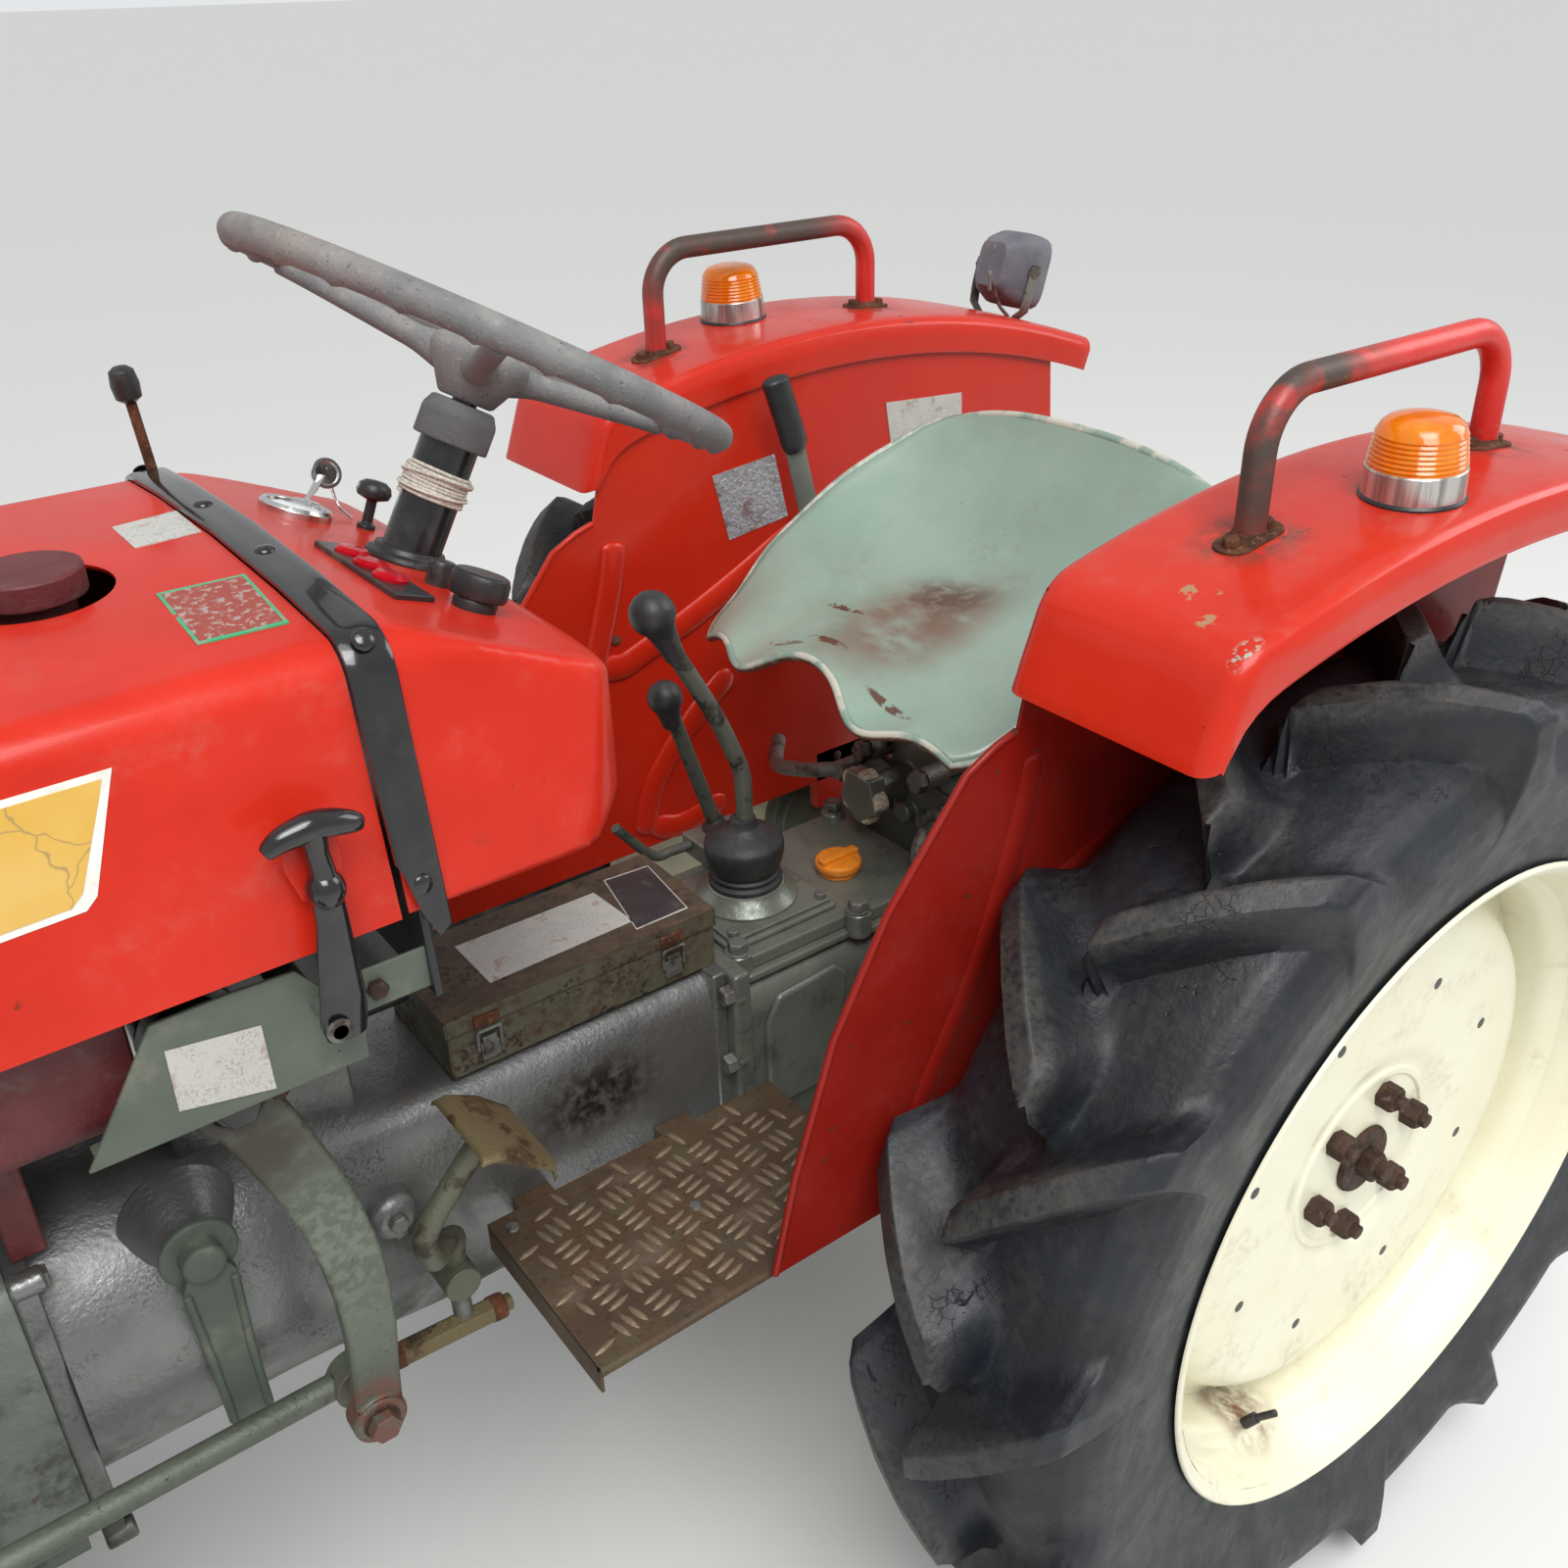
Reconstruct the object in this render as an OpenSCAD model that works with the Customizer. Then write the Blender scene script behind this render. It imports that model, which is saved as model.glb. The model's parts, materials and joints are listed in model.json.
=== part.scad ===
// Compact two-wheel-drive farm tractor with a two-cylinder engine and an open driver's seat.
// +X points forward, +Y to the driver's left and +Z up; the wheels stand on z = 0.
// Places are measured from the rear axle along X, and the whole is centred at the end.

/* [Rear wheels] */
// Radius of a rear tyre over its lugs
rear_tyre_r = 525; // [500:5:540]
// Width of a rear tyre
rear_tyre_w = 225; // [210:5:235]
// Height of a rear tyre's lugs
lug_h = 50; // [36:2:56]
// Lugs on each side of a rear tyre
lug_count = 14; // [12:1:18]
// Radius of a rear rim at its lips
rear_rim_r = 326; // [300:2:340]
// Width of a rear rim over its lips
rear_rim_w = 184; // [176:2:190]
// Distance between the middles of the rear tyres
rear_track = 855; // [850:5:900]
// Circle of the rear wheel studs, across
stud_circle = 140; // [120:1:150]

/* [Front wheels] */
// Radius of a front tyre
front_tyre_r = 292; // [270:2:305]
// Width of a front tyre
front_tyre_w = 112; // [90:2:120]
// Radius of a front rim at its lips
front_rim_r = 204; // [190:2:212]
// Width of a front rim over its lips
front_rim_w = 92; // [76:2:100]
// Distance between the middles of the front tyres
front_track = 900; // [890:5:940]
// Distance from the rear axle to the front axle
wheelbase = 1310; // [1290:5:1340]

/* [Front axle and steering] */
// Distance from the middle to a kingpin
kingpin_y = 350; // [340:5:355]
// Radius of a kingpin
kingpin_r = 14; // [12:1:16]
// Height of the beam's middle above the ground
beam_z = 455; // [445:5:470]
// Length of the rearward steering arms
track_arm = 130; // [110:5:140]
// Radius of the tie rod
tie_rod_r = 10; // [8:1:12]
// Place of the drag link across the tractor
drag_y = 165; // [162:1:168]
// Height of the drag link above the ground
drag_z = 587; // [582:1:590]
// Radius of the drag link
drag_r = 10; // [8:1:11]
// Length of the drop arm between its centres
drop_arm = 318; // [310:2:324]
// Lean of the steering column from upright
column_lean = 30; // [24:1:32]
// Radius of the steering column's tube
column_r = 21; // [18:1:24]
// Radius of the steering wheel to the middle of its rim
steering_r = 174; // [165:1:190]
// Radius of the steering wheel's rim section
steering_rim_r = 10.5; // [9:0.5:13]

/* [Bonnet and grille] */
// Rear edge of the bonnet, forward of the rear axle
hood_back = 772; // [768:2:780]
// Front face of the bonnet, forward of the rear axle
hood_front = 1600; // [1580:5:1620]
// Half the bonnet's width at its lower edge
hood_half_w = 238; // [230:2:244]
// Height of the bonnet's top at its rear edge
hood_top = 1180; // [1170:2:1190]
// Height of the bonnet's lower edge along the engine
hood_low = 1003; // [990:2:1010]
// Height of the nose's lower edge
nose_low = 770; // [760:5:790]
// Thickness of the bonnet's sheet with its folded edges
hood_t = 3; // [2:0.5:4]

/* [Fenders and platform] */
// Height of a fender's top above the rear axle
fender_r = 632; // [626:1:650]
// Distance from the middle to a fender's side plate
fender_y = 297; // [296:1:300]
// Width of a fender's top
fender_w = 176; // [160:2:190]
// Thickness of the fender sheet
fender_t = 3; // [2:0.5:4]
// Height of the footboards above the ground
foot_z = 612; // [600:2:624]
// Radius of the grab rails' tube
rail_r = 11; // [9:0.5:13]
// Height of a grab rail above its feet
rail_h = 90; // [80:2:120]

/* [Seat] */
// Width of the seat pan
seat_w = 430; // [400:5:440]
// Height of the pan above the ground at its drain hole
seat_z = 970; // [960:2:980]
// Height of the seat's back edge above the drain hole
seat_back_h = 150; // [120:5:170]
// Thickness of the seat's sheet
seat_t = 4; // [3:0.5:5]

/* [Toolbox] */
// Length of the toolbox
box_l = 250; // [220:5:260]
// Width of the toolbox
box_w = 114; // [100:2:120]
// Height of the toolbox with its lid
box_h = 58; // [50:2:64]

/* [Rear linkage] */
// Radius of the holes in the lower links' ball ends
link_hole_r = 11.2; // [9:0.1:11.5]
// Length of a lower link between its centres
link_l = 600; // [560:10:620]
// Length of a lift arm between its centres
lift_arm_l = 200; // [180:5:210]
// Radius of the power take-off shaft
pto_r = 17.4; // [15:0.1:20]
// Radius of the drawbar's pin hole
drawbar_hole_r = 11; // [9:0.5:13]

/* [Hidden] */
$fn = 48;

// Wheel centres
rear_y = rear_track / 2;
front_y = front_track / 2;
axle_z = rear_tyre_r;
front_z = front_tyre_r;

// Whole extents along X, which give the middle
link_back_x = -90;
link_z = 400;
link_drop = 5;
link_eye_r = 26;
rear_reach = link_back_x - link_l * cos(link_drop) - link_eye_r;
bumper_front = hood_front + 18;
mid_x = (bumper_front + rear_reach) / 2;

// Gap between a turning piece and its seat, and between pieces that rest on each other
run_gap = 0.5;
seat_gap = 0.3;

module place() {
  translate([-mid_x, 0, 0]) children();
}

// side is 1 on the left and -1 on the right
module on_side(side) {
  if (side > 0) children();
  else mirror([0, 1, 0]) children();
}

// A turned piece on an axis along Y, its profile given as [radius, y outward]
module turned_y(fn = 96) {
  rotate([-90, 0, 0]) rotate_extrude($fn = fn) children();
}

// A round bar from one point to another
module bar(a, b, r) {
  d = b - a;
  l = norm(d);
  translate(a) rotate([0, acos(d[2] / l), atan2(d[1], d[0])]) cylinder(r = r, h = l);
}

// A bar that follows points, with a ball at each bend
module bent_bar(points, r) {
  for (i = [0 : len(points) - 2]) bar(points[i], points[i + 1], r);
  for (i = [1 : 1 : len(points) - 2]) translate(points[i]) sphere(r = r + 0.6, $fn = 32);
}

// A round bar that follows a path of [x, z] points, with n flats round it
module swept_bar(path, y, r, n = 12) {
  k = len(path);
  points = [for (i = [0 : k - 1], j = [0 : n - 1]) let (
      d = path[min(i + 1, k - 1)] - path[max(i - 1, 0)], s = r * cos(360 * j / n) / norm(d))
    [path[i][0] - s * d[1], y + r * sin(360 * j / n), path[i][1] + s * d[0]]];
  faces = concat(
    [[for (j = [n - 1 : -1 : 0]) j], [for (j = [0 : n - 1]) (k - 1) * n + j]],
    [for (i = [0 : k - 2], j = [0 : n - 1]) let (a = i * n + j, b = i * n + (j + 1) % n)
      each [[a, b + n, a + n], [a, b, b + n]]]);
  polyhedron(points, faces);
}

// A plate with its outline in X and Z, between two places across the tractor
module plate_xz(points, y0, y1) {
  translate([0, y1, 0]) rotate([90, 0, 0]) linear_extrude(y1 - y0) polygon(points);
}

module block(x0, x1, y0, y1, z0, z1) {
  translate([x0, y0, z0]) cube([x1 - x0, y1 - y0, z1 - z0]);
}

// A cylinder along X
module round_x(x0, x1, y, z, r, fn = 48) {
  translate([x0, y, z]) rotate([0, 90, 0]) cylinder(r = r, h = x1 - x0, $fn = fn);
}

// A cylinder along Y
module round_y(y0, y1, x, z, r, fn = 48) {
  translate([x, y0, z]) rotate([-90, 0, 0]) cylinder(r = r, h = y1 - y0, $fn = fn);
}

// Points of an arc in a plane
function arc(cx, cy, r, a0, a1, n) =
  [for (i = [0 : n]) [cx + r * cos(a0 + (a1 - a0) * i / n), cy + r * sin(a0 + (a1 - a0) * i / n)]];

// Points mirrored across the middle, in reverse order
function mirrored(pts) = [for (i = [len(pts) - 1 : -1 : 0]) [-pts[i][0], pts[i][1]]];

// Rounded rectangle in Y and Z, swept along X
module rounded_bar_x(x0, x1, y0, y1, z0, z1, r) {
  points = concat(
    arc(y1 - r, z1 - r, r, 0, 90, 5), arc(y0 + r, z1 - r, r, 90, 180, 5),
    arc(y0 + r, z0 + r, r, 180, 270, 5), arc(y1 - r, z0 + r, r, 270, 360, 5));
  translate([x0, 0, 0]) rotate([90, 0, 90]) linear_extrude(x1 - x0) polygon(points);
}

// Rear wheel, about its own centre, with +Y outward
rear_seat_r = rear_rim_r - 14;
rear_half_w = rear_rim_w / 2;
rear_disc_y = 28;
disc_t = 5;
rear_hub_back = -40;
axle_r = 23;
// Degrees that a lug turns for each mm outward, and how far it runs past the middle
lug_slope = 0.114;
lug_nose = 15;
lug_pitch = 360 / lug_count;
lug_phase = 18.8;
// A pitch has six columns of points: a lug's two edges and the foot of its hollow side, on each side in turn
function lug_angle(y, c) = let (h = lug_pitch / 2) (
  y > lug_nose ? [0, 3.3, 7.2, h, h + 4.2, lug_pitch - 1.2]
  : y < -lug_nose ? [0, 4.2, h - 1.2, h, h + 3.3, h + 7.2]
  : [0, 3.3, 9, h, h + 3.3, h + 9])[c];
// How far a column is turned at a row, so that it follows the lugs
function lug_turn(y, c) = let (
    out = abs(y + lug_nose), inn = abs(lug_nose - y), near = abs(y) < 2 * lug_nose,
    left = c < 2, right = c == 3 || c == 4)
  lug_slope * (
    left && y > -2 * lug_nose ? out
    : right && y < 2 * lug_nose ? inn
    : abs(y) <= lug_nose ? lug_nose
    : y > 0 ? (near && right ? inn : out)
    : (near && left ? out : inn));
function on_lug(y, c) = c < 2 ? y > -lug_nose - 1 : (c == 3 || c == 4) && y < lug_nose + 1;
function spin(r, y, a) = [r * cos(a), y, r * sin(a)];
module rear_tyre() {
  hw = rear_tyre_w / 2;
  r = rear_tyre_r;
  v = r - lug_h;
  bead = rear_half_w - 6 - seat_gap;
  // Rows across the tread: [place, radius of the hollow, radius of the lug, how far the hollow is drawn in]
  half = [[15, v, r, 0], [27, v, r - 1, 0], [60, v - 3, r - 8, 0], [hw, v - 20, r - 26, 16],
    [hw, v - 56, r - 84, 5]];
  side = [[hw - 10, r - 128], [bead, rear_rim_r + 4], [bead, rear_seat_r + seat_gap]];
  n = len(half);
  m = len(side);
  cols = 6 * lug_count;
  tread = [for (i = [0 : 2 * n - 1], j = [0 : cols - 1]) let (
      row = half[i < n ? n - 1 - i : i - n], y = i < n ? -row[0] : row[0], c = j % 6, up = on_lug(y, c),
      a = floor(j / 6) * lug_pitch + lug_phase + lug_angle(y, c) + lug_turn(y, c))
    spin(up ? row[2] : row[1], y - (up ? 0 : row[3] * sign(y)), a)];
  ring = [for (i = [0 : 2 * m - 1], j = [0 : cols - 1]) let (
      p = side[i < m ? i : 2 * m - 1 - i], y = i < m ? p[0] : -p[0],
      a = j * lug_pitch / 6 + lug_phase + 0.9 * lug_slope * (hw + lug_nose))
    spin(p[1], y, a)];
  rows = 2 * n + 2 * m;
  faces = [for (i = [0 : rows - 1], j = [0 : cols - 1]) let (
      k = (i + 1) % rows, l = (j + 1) % cols,
      a = i * cols + j, b = i * cols + l, c = k * cols + l, d = k * cols + j)
    each [[a, b, c], [a, c, d]]];
  polyhedron(concat(tread, ring), faces);
}

module rear_rim() {
  w = rear_half_w;
  r = rear_rim_r;
  s = rear_seat_r;
  y = rear_disc_y;
  turned_y() polygon([[r, w], [r, w - 6], [s, w - 6], [s - 3, w - 30], [s - 20, w - 46],
    [s - 20, 46 - w], [s - 3, 30 - w], [s, 6 - w], [r, 6 - w], [r, -w],
    [r - 6, -w], [s - 5, 6 - w], [s - 8, 32 - w], [s - 25, 48 - w],
    [s - 25, w - 48], [s - 8, w - 32], [s - 5, w - 6], [r - 6, w]]);
  difference() {
    turned_y() polygon([[40, y], [100, y], [112, y + 5], [s - 62, y + 5], [s - 44, y - 4],
      [s - 24, y - 34], [s - 24, y - 40], [s - 50, y - 9], [s - 65, y],
      [112, y], [98, y - disc_t], [40, y - disc_t]]);
    for (i = [0 : 7]) rotate([0, i * 45 + 22.5, 0]) round_y(y - 10, y + 10, 182, 0, 9);
  }
  // Hub behind the disc, with the stub that runs in the axle housing
  turned_y() polygon([[0, y - disc_t], [95, y - disc_t], [95, y - 18], [62, y - 26],
    [58, rear_hub_back], [axle_r, rear_hub_back], [axle_r, rear_hub_back - 42], [0, rear_hub_back - 42]]);
  // Washer, axle bolt and the six wheel nuts
  round_y(y - disc_t, y + 7, 0, 0, 33);
  round_y(y, y + 26, 0, 0, 13, 6);
  for (i = [0 : 5]) rotate([0, i * 60 + 17, 0]) round_y(y - 1, y + 19, stud_circle / 2, 0, 12.7, 6);
}

module at_rear(side) {
  on_side(side) translate([0, rear_y, axle_z]) children();
}

module rear_tyre_left() { color([0.09, 0.10, 0.12]) place() at_rear(1) rear_tyre(); }
module rear_tyre_right() { color([0.09, 0.10, 0.12]) place() at_rear(-1) rear_tyre(); }
module rear_rim_left() { color([0.90, 0.88, 0.78]) place() at_rear(1) rear_rim(); }
module rear_rim_right() { color([0.90, 0.88, 0.78]) place() at_rear(-1) rear_rim(); }

// Front wheel, about its own centre, with +Y outward
front_seat_r = front_rim_r - 12;
front_half_w = front_rim_w / 2;
spindle_r = 14;
hub_in = -42;
module front_tyre() {
  hw = front_tyre_w / 2;
  bead = front_half_w - 5 - seat_gap;
  r = front_tyre_r;
  side = [[front_seat_r + seat_gap, bead], [front_rim_r + 1, bead], [front_rim_r + 2, front_half_w + 1],
    [front_rim_r + 22, hw - 3], [front_rim_r + 42, hw], [r - 34, hw - 6], [r - 18, hw - 16],
    [r - 12, hw - 18], [r - 6, 34], [r - 5, 26], [r - 17, 23], [r - 17, 12], [r, 9]];
  turned_y() polygon(concat(side, [for (i = [len(side) - 1 : -1 : 0]) [side[i][0], -side[i][1]]]));
}

module front_rim() {
  w = front_half_w;
  s = front_seat_r;
  r = front_rim_r;
  turned_y() polygon([[r, w], [r, w - 5], [s, w - 5], [s - 2, w - 22], [s - 14, 12],
    [s - 14, -12], [s - 2, 22 - w], [s, 5 - w], [r, 5 - w], [r, -w],
    [r - 5, -w], [s - 4, 5 - w], [s - 6, 22 - w], [s - 18, -14],
    [s - 18, 14], [s - 6, w - 22], [s - 4, w - 5], [r - 5, w]]);
  // Dished disc
  turned_y() polygon([[28, 20], [70, 20], [80, 14], [150, 8], [s - 17, -6], [s - 17, -12], [150, 2],
    [80, 8], [66, 14], [28, 14]]);
  // Hub with its cap, bored for the spindle
  difference() {
    turned_y() polygon([[0, hub_in], [30, hub_in], [34, -20], [40, 8], [62, 14], [62, 20], [34, 22],
      [30, 40], [22, 46], [0, 46]]);
    round_y(hub_in - 1, 24, 0, 0, spindle_r + run_gap);
  }
  for (i = [0 : 4]) rotate([0, i * 72, 0]) round_y(18, 30, 50, 0, 9, 6);
}

module at_front(side) {
  on_side(side) translate([wheelbase, front_y, front_z]) children();
}

module front_tyre_left() { color([0.10, 0.10, 0.11]) place() at_front(1) front_tyre(); }
module front_tyre_right() { color([0.10, 0.10, 0.11]) place() at_front(-1) front_tyre(); }
module front_rim_left() { color([0.90, 0.88, 0.78]) place() at_front(1) front_rim(); }
module front_rim_right() { color([0.90, 0.88, 0.78]) place() at_front(-1) front_rim(); }

// Front axle, knuckles and steering linkage
king_tube_r = kingpin_r + 12;
king_low = beam_z - 52;
king_high = beam_z + 76;
track_arm_z = front_z + 8;
eye_r = 18;
pin_r = 8;
steer_arm_z = king_high + 4;
steer_arm_t = 20;
module knuckle() {
  k = wheelbase;
  y = kingpin_y;
  // Stub block, spindle and kingpin
  rounded_bar_x(k - 24, k + 24, y - 24, y + 24, front_z - 30, king_low - 3, 12);
  round_y(y + 20, front_y + hub_in - 4, k, front_z, 22);
  round_y(y + 20, front_y + 20, k, front_z, spindle_r);
  translate([k, y, king_low - 10]) cylinder(r = kingpin_r, h = king_high - king_low + 22);
  // Rearward arm with the eye that carries the tie rod
  difference() {
    union() {
      block(k - track_arm, k - 20, y - 14, y + 14, track_arm_z, track_arm_z + 18);
      translate([k - track_arm, y, track_arm_z]) cylinder(r = eye_r, h = 18);
    }
    translate([k - track_arm, y, track_arm_z - 1]) cylinder(r = pin_r + run_gap, h = 20);
  }
}

module knuckle_left() {
  color([0.35, 0.38, 0.35]) place() union() {
    knuckle();
    // Inward arm on top of the kingpin, under the drag link's ball
    translate([wheelbase, kingpin_y, steer_arm_z]) cylinder(r = king_tube_r - 2, h = steer_arm_t);
    block(wheelbase - 15, wheelbase + 15, drag_y, kingpin_y, steer_arm_z, steer_arm_z + steer_arm_t);
    translate([wheelbase, drag_y, steer_arm_z]) cylinder(r = eye_r, h = steer_arm_t);
  }
}

module knuckle_right() {
  color([0.35, 0.38, 0.35]) place() on_side(-1) union() {
    knuckle();
    translate([wheelbase, kingpin_y, steer_arm_z]) cylinder(r = king_tube_r - 4, h = 10);
  }
}

module tie_rod() {
  x = wheelbase - track_arm;
  z = track_arm_z + 18 + 17;
  color([0.35, 0.38, 0.35]) place() {
    round_y(-kingpin_y + 14, kingpin_y - 14, x, z, tie_rod_r);
    for (side = [-1, 1]) translate([x, side * kingpin_y, 0]) {
      translate([0, 0, z - 15]) cylinder(r = eye_r - 1, h = 28);
      translate([0, 0, track_arm_z + 1]) cylinder(r = pin_r, h = z - track_arm_z);
    }
  }
}

// Drop arm's pivot, and the ball at its foot that carries the drag link
drop_x = 884;
drop_foot_x = 844;
drop_z = drag_z + sqrt(drop_arm * drop_arm - pow(drop_x - drop_foot_x, 2));
drop_t = 14;
drop_y = drag_y + 33;
drop_shaft_r = 15;
// Its edge at a share of the way down, on the front or the rear side
drop_bow = 26;
function drop_edge(t, side) = [
  drop_x + (drop_foot_x - drop_x) * t - drop_bow * sin(180 * t) + side * (24 - 8 * t),
  drop_z + (drag_z - drop_z) * t];
module drop_arm() {
  color([0.40, 0.44, 0.38]) place() difference() {
    union() {
      plate_xz(concat([for (i = [0 : 8]) drop_edge(i / 8, 1)], [for (i = [8 : -1 : 0]) drop_edge(i / 8, -1)]),
        drop_y, drop_y + drop_t);
      round_y(drop_y, drop_y + drop_t, drop_x, drop_z, 27);
      round_y(drop_y - 3, drop_y + drop_t + 4, drop_foot_x, drag_z, 20);
    }
    round_y(drop_y - 5, drop_y + drop_t + 6, drop_x, drop_z, drop_shaft_r + run_gap);
    round_y(drop_y - 5, drop_y + drop_t + 6, drop_foot_x, drag_z, pin_r + run_gap);
  }
}

module drag_link() {
  color([0.42, 0.46, 0.40]) place() {
    round_x(drop_foot_x, wheelbase, drag_y, drag_z, drag_r);
    round_y(drag_y - 9, drag_y + 14, drop_foot_x, drag_z, 19);
    round_y(drag_y + 10, drop_y + drop_t + 2, drop_foot_x, drag_z, pin_r);
    round_y(drop_y + drop_t + 4.5, drop_y + drop_t + 14, drop_foot_x, drag_z, 12, 6);
    round_y(drop_y + drop_t, drop_y + drop_t + 6, drop_foot_x, drag_z, pin_r);
    // Ball end that stands over the knuckle's arm
    translate([wheelbase, drag_y, drag_z - 15]) cylinder(r = 17, h = 30);
    translate([wheelbase, drag_y, steer_arm_z + steer_arm_t + 5]) cylinder(r = 7, h = 12);
  }
}

module front_axle_beam() {
  h = beam_z;
  color([0.33, 0.35, 0.34]) place() difference() {
    union() {
      translate([wheelbase - 26, 0, 0]) rotate([90, 0, 90]) linear_extrude(52) polygon([
        [-kingpin_y, h - 16], [-70, h - 28], [70, h - 28], [kingpin_y, h - 16],
        [kingpin_y, h + 20], [70, h + 28], [-70, h + 28], [-kingpin_y, h + 20]]);
      round_x(wheelbase - 44, wheelbase + 44, 0, h, 34);
      for (side = [-1, 1]) translate([wheelbase, side * kingpin_y, king_low])
        cylinder(r = king_tube_r, h = king_high - king_low);
    }
    round_x(wheelbase - 50, wheelbase + 50, 0, h, 18 + run_gap);
    for (side = [-1, 1]) translate([wheelbase, side * kingpin_y, king_low - 1])
      cylinder(r = kingpin_r + run_gap, h = king_high - king_low + 2);
  }
}

// Front frame, with its bumper, the axle's hangers and the bonnet's hinge ears
side_rail_y = 124;
side_rail_t = 12;
hinge_x = hood_front - 25;
hinge_z = nose_low + 8;
hinge_ear_y = hood_half_w - 34;
tow_hole_r = 11;
module front_frame() {
  color([0.33, 0.35, 0.34]) place() {
    difference() {
      union() {
        for (side = [-1, 1]) on_side(side)
          plate_xz([[1150, 530], [1150, 600], [1330, 610], [1420, 690], [hood_front, 690],
            [hood_front, 560], [1400, 520], [1230, 500]], side_rail_y, side_rail_y + side_rail_t);
        block(1225, hood_front, -side_rail_y, side_rail_y, 500, 514);
        block(1350, hood_front, -side_rail_y - side_rail_t, side_rail_y + side_rail_t, 690, 700);
        block(hood_front, bumper_front, -175, 175, 545, 705);
        for (x = [wheelbase - 62, wheelbase + 46]) block(x, x + 16, -55, 55, beam_z - 42, 502);
        block(hood_front - 60, bumper_front + 0, -60, 60, 500, 514);
      }
      translate([hood_front - 30, 0, 495]) cylinder(r = tow_hole_r, h = 24);
    }
    round_x(wheelbase - 60, wheelbase + 60, 0, beam_z, 18);
    for (side = [-1, 1]) on_side(side) difference() {
      union() {
        block(hinge_x - 24, hinge_x - 5, 130, hinge_ear_y, 690, 700);
        block(hinge_x - 24, hinge_x - 5, hinge_ear_y - 8, hinge_ear_y, 695, hinge_z + 6);
        round_y(hinge_ear_y - 8, hinge_ear_y, hinge_x, hinge_z, 16);
      }
      round_y(hinge_ear_y - 10, hinge_ear_y + 2, hinge_x, hinge_z, 6 + run_gap);
    }
  }
}

// Engine
engine_back = 1030;
engine_front = 1290;
crank_z = 640;
head_z = 905;
module engine() {
  color([0.38, 0.41, 0.38]) place() {
    rounded_bar_x(engine_back, engine_front, -side_rail_y, side_rail_y, 514, 764, 16);
    rounded_bar_x(engine_back + 10, 1205, -95, 95, 470, 520, 12);
    block(engine_back + 12, engine_front - 12, -92, 84, 760, head_z);
    block(engine_back + 6, engine_front - 6, -98, 90, head_z, head_z + 62);
    rounded_bar_x(engine_back + 22, engine_front - 22, -58, 58, head_z + 60, head_z + 104, 18);
    for (x = [engine_back + 70, engine_front - 70]) translate([x, 0, head_z + 100]) cylinder(r = 11, h = 12);
  }
}

fan_z = 890;
fan_r = 140;
module fan_and_alternator() {
  color([0.12, 0.12, 0.13]) place() {
    round_x(engine_front, engine_front + 28, 0, crank_z, 62);
    round_x(engine_front, engine_front + 34, 0, fan_z, 44);
    for (i = [0 : 4]) translate([engine_front + 44, 0, fan_z]) rotate([i * 72, 0, 0])
      rotate([0, 0, 24]) translate([-2, -26, 20]) cube([4, 52, fan_r - 20]);
    round_x(engine_front + 30, engine_front + 56, 0, fan_z, 30);
    round_x(engine_front - 96, engine_front - 8, 142, 830, 48);
    round_x(engine_front - 8, engine_front + 24, 142, 830, 32);
    block(engine_front - 70, engine_front - 40, 84, 110, 812, 836);
    // Belt's runs over the crank, fan and alternator pulleys, each [y, z, radius]
    pulleys = [[0, crank_z, 62], [0, fan_z, 44], [142, 830, 32]];
    for (i = [0 : 2]) let (p = pulleys[i], q = pulleys[(i + 1) % 3])
      belt_run([p[0], p[1]], [q[0], q[1]], p[2], q[2]);
  }
}

// Straight run of the belt between two pulleys in the plane ahead of the engine, on their outer side
module belt_run(a, b, ra, rb) {
  d = b - a;
  l = norm(d);
  turn = atan2(d[1], d[0]) + acos((ra - rb) / l);
  p = [a + ra * [cos(turn), sin(turn)], b + rb * [cos(turn), sin(turn)]];
  q = [a + (ra - 7) * [cos(turn), sin(turn)], b + (rb - 7) * [cos(turn), sin(turn)]];
  translate([engine_front + 6, 0, 0]) rotate([90, 0, 90]) linear_extrude(12)
    polygon([p[0], p[1], q[1], q[0]]);
}

module air_cleaner() {
  color([0.16, 0.17, 0.17]) place() {
    round_x(engine_back + 10, engine_back + 190, 150, 950, 50);
    round_x(engine_back + 190, engine_back + 206, 150, 950, 40);
    block(engine_back + 60, engine_back + 100, 90, 104, 925, 955);
  }
}

module muffler() {
  color([0.30, 0.25, 0.22]) place() {
    round_x(engine_back + 20, engine_back + 260, -165, 880, 50);
    for (x = [engine_back + 70, engine_front - 70]) round_y(-122, -98, x, head_z + 26, 18);
    block(engine_back + 50, engine_front - 50, -140, -118, head_z + 6, head_z + 46);
    bar([engine_back + 26, -165, 880], [engine_back - 70, -165, 800], 17);
  }
}

radiator_x = 1372;
module radiator() {
  color([0.12, 0.12, 0.12]) place() {
    block(radiator_x, radiator_x + 54, -160, 160, 752, 1064);
    rounded_bar_x(radiator_x - 4, radiator_x + 58, -164, 164, 1064, 1112, 14);
    block(radiator_x - 2, radiator_x + 56, -162, 162, 700, 752);
    translate([radiator_x + 27, 0, 1112]) cylinder(r = 26, h = 14);
  }
}

module battery() {
  color([0.10, 0.10, 0.11]) place() {
    block(1452, 1562, -92, 92, 700, 880);
    block(1448, 1566, -96, 96, 880, 900);
    for (y = [-70, 70]) translate([1470, y, 900]) cylinder(r = 9, h = 16);
  }
}

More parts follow.
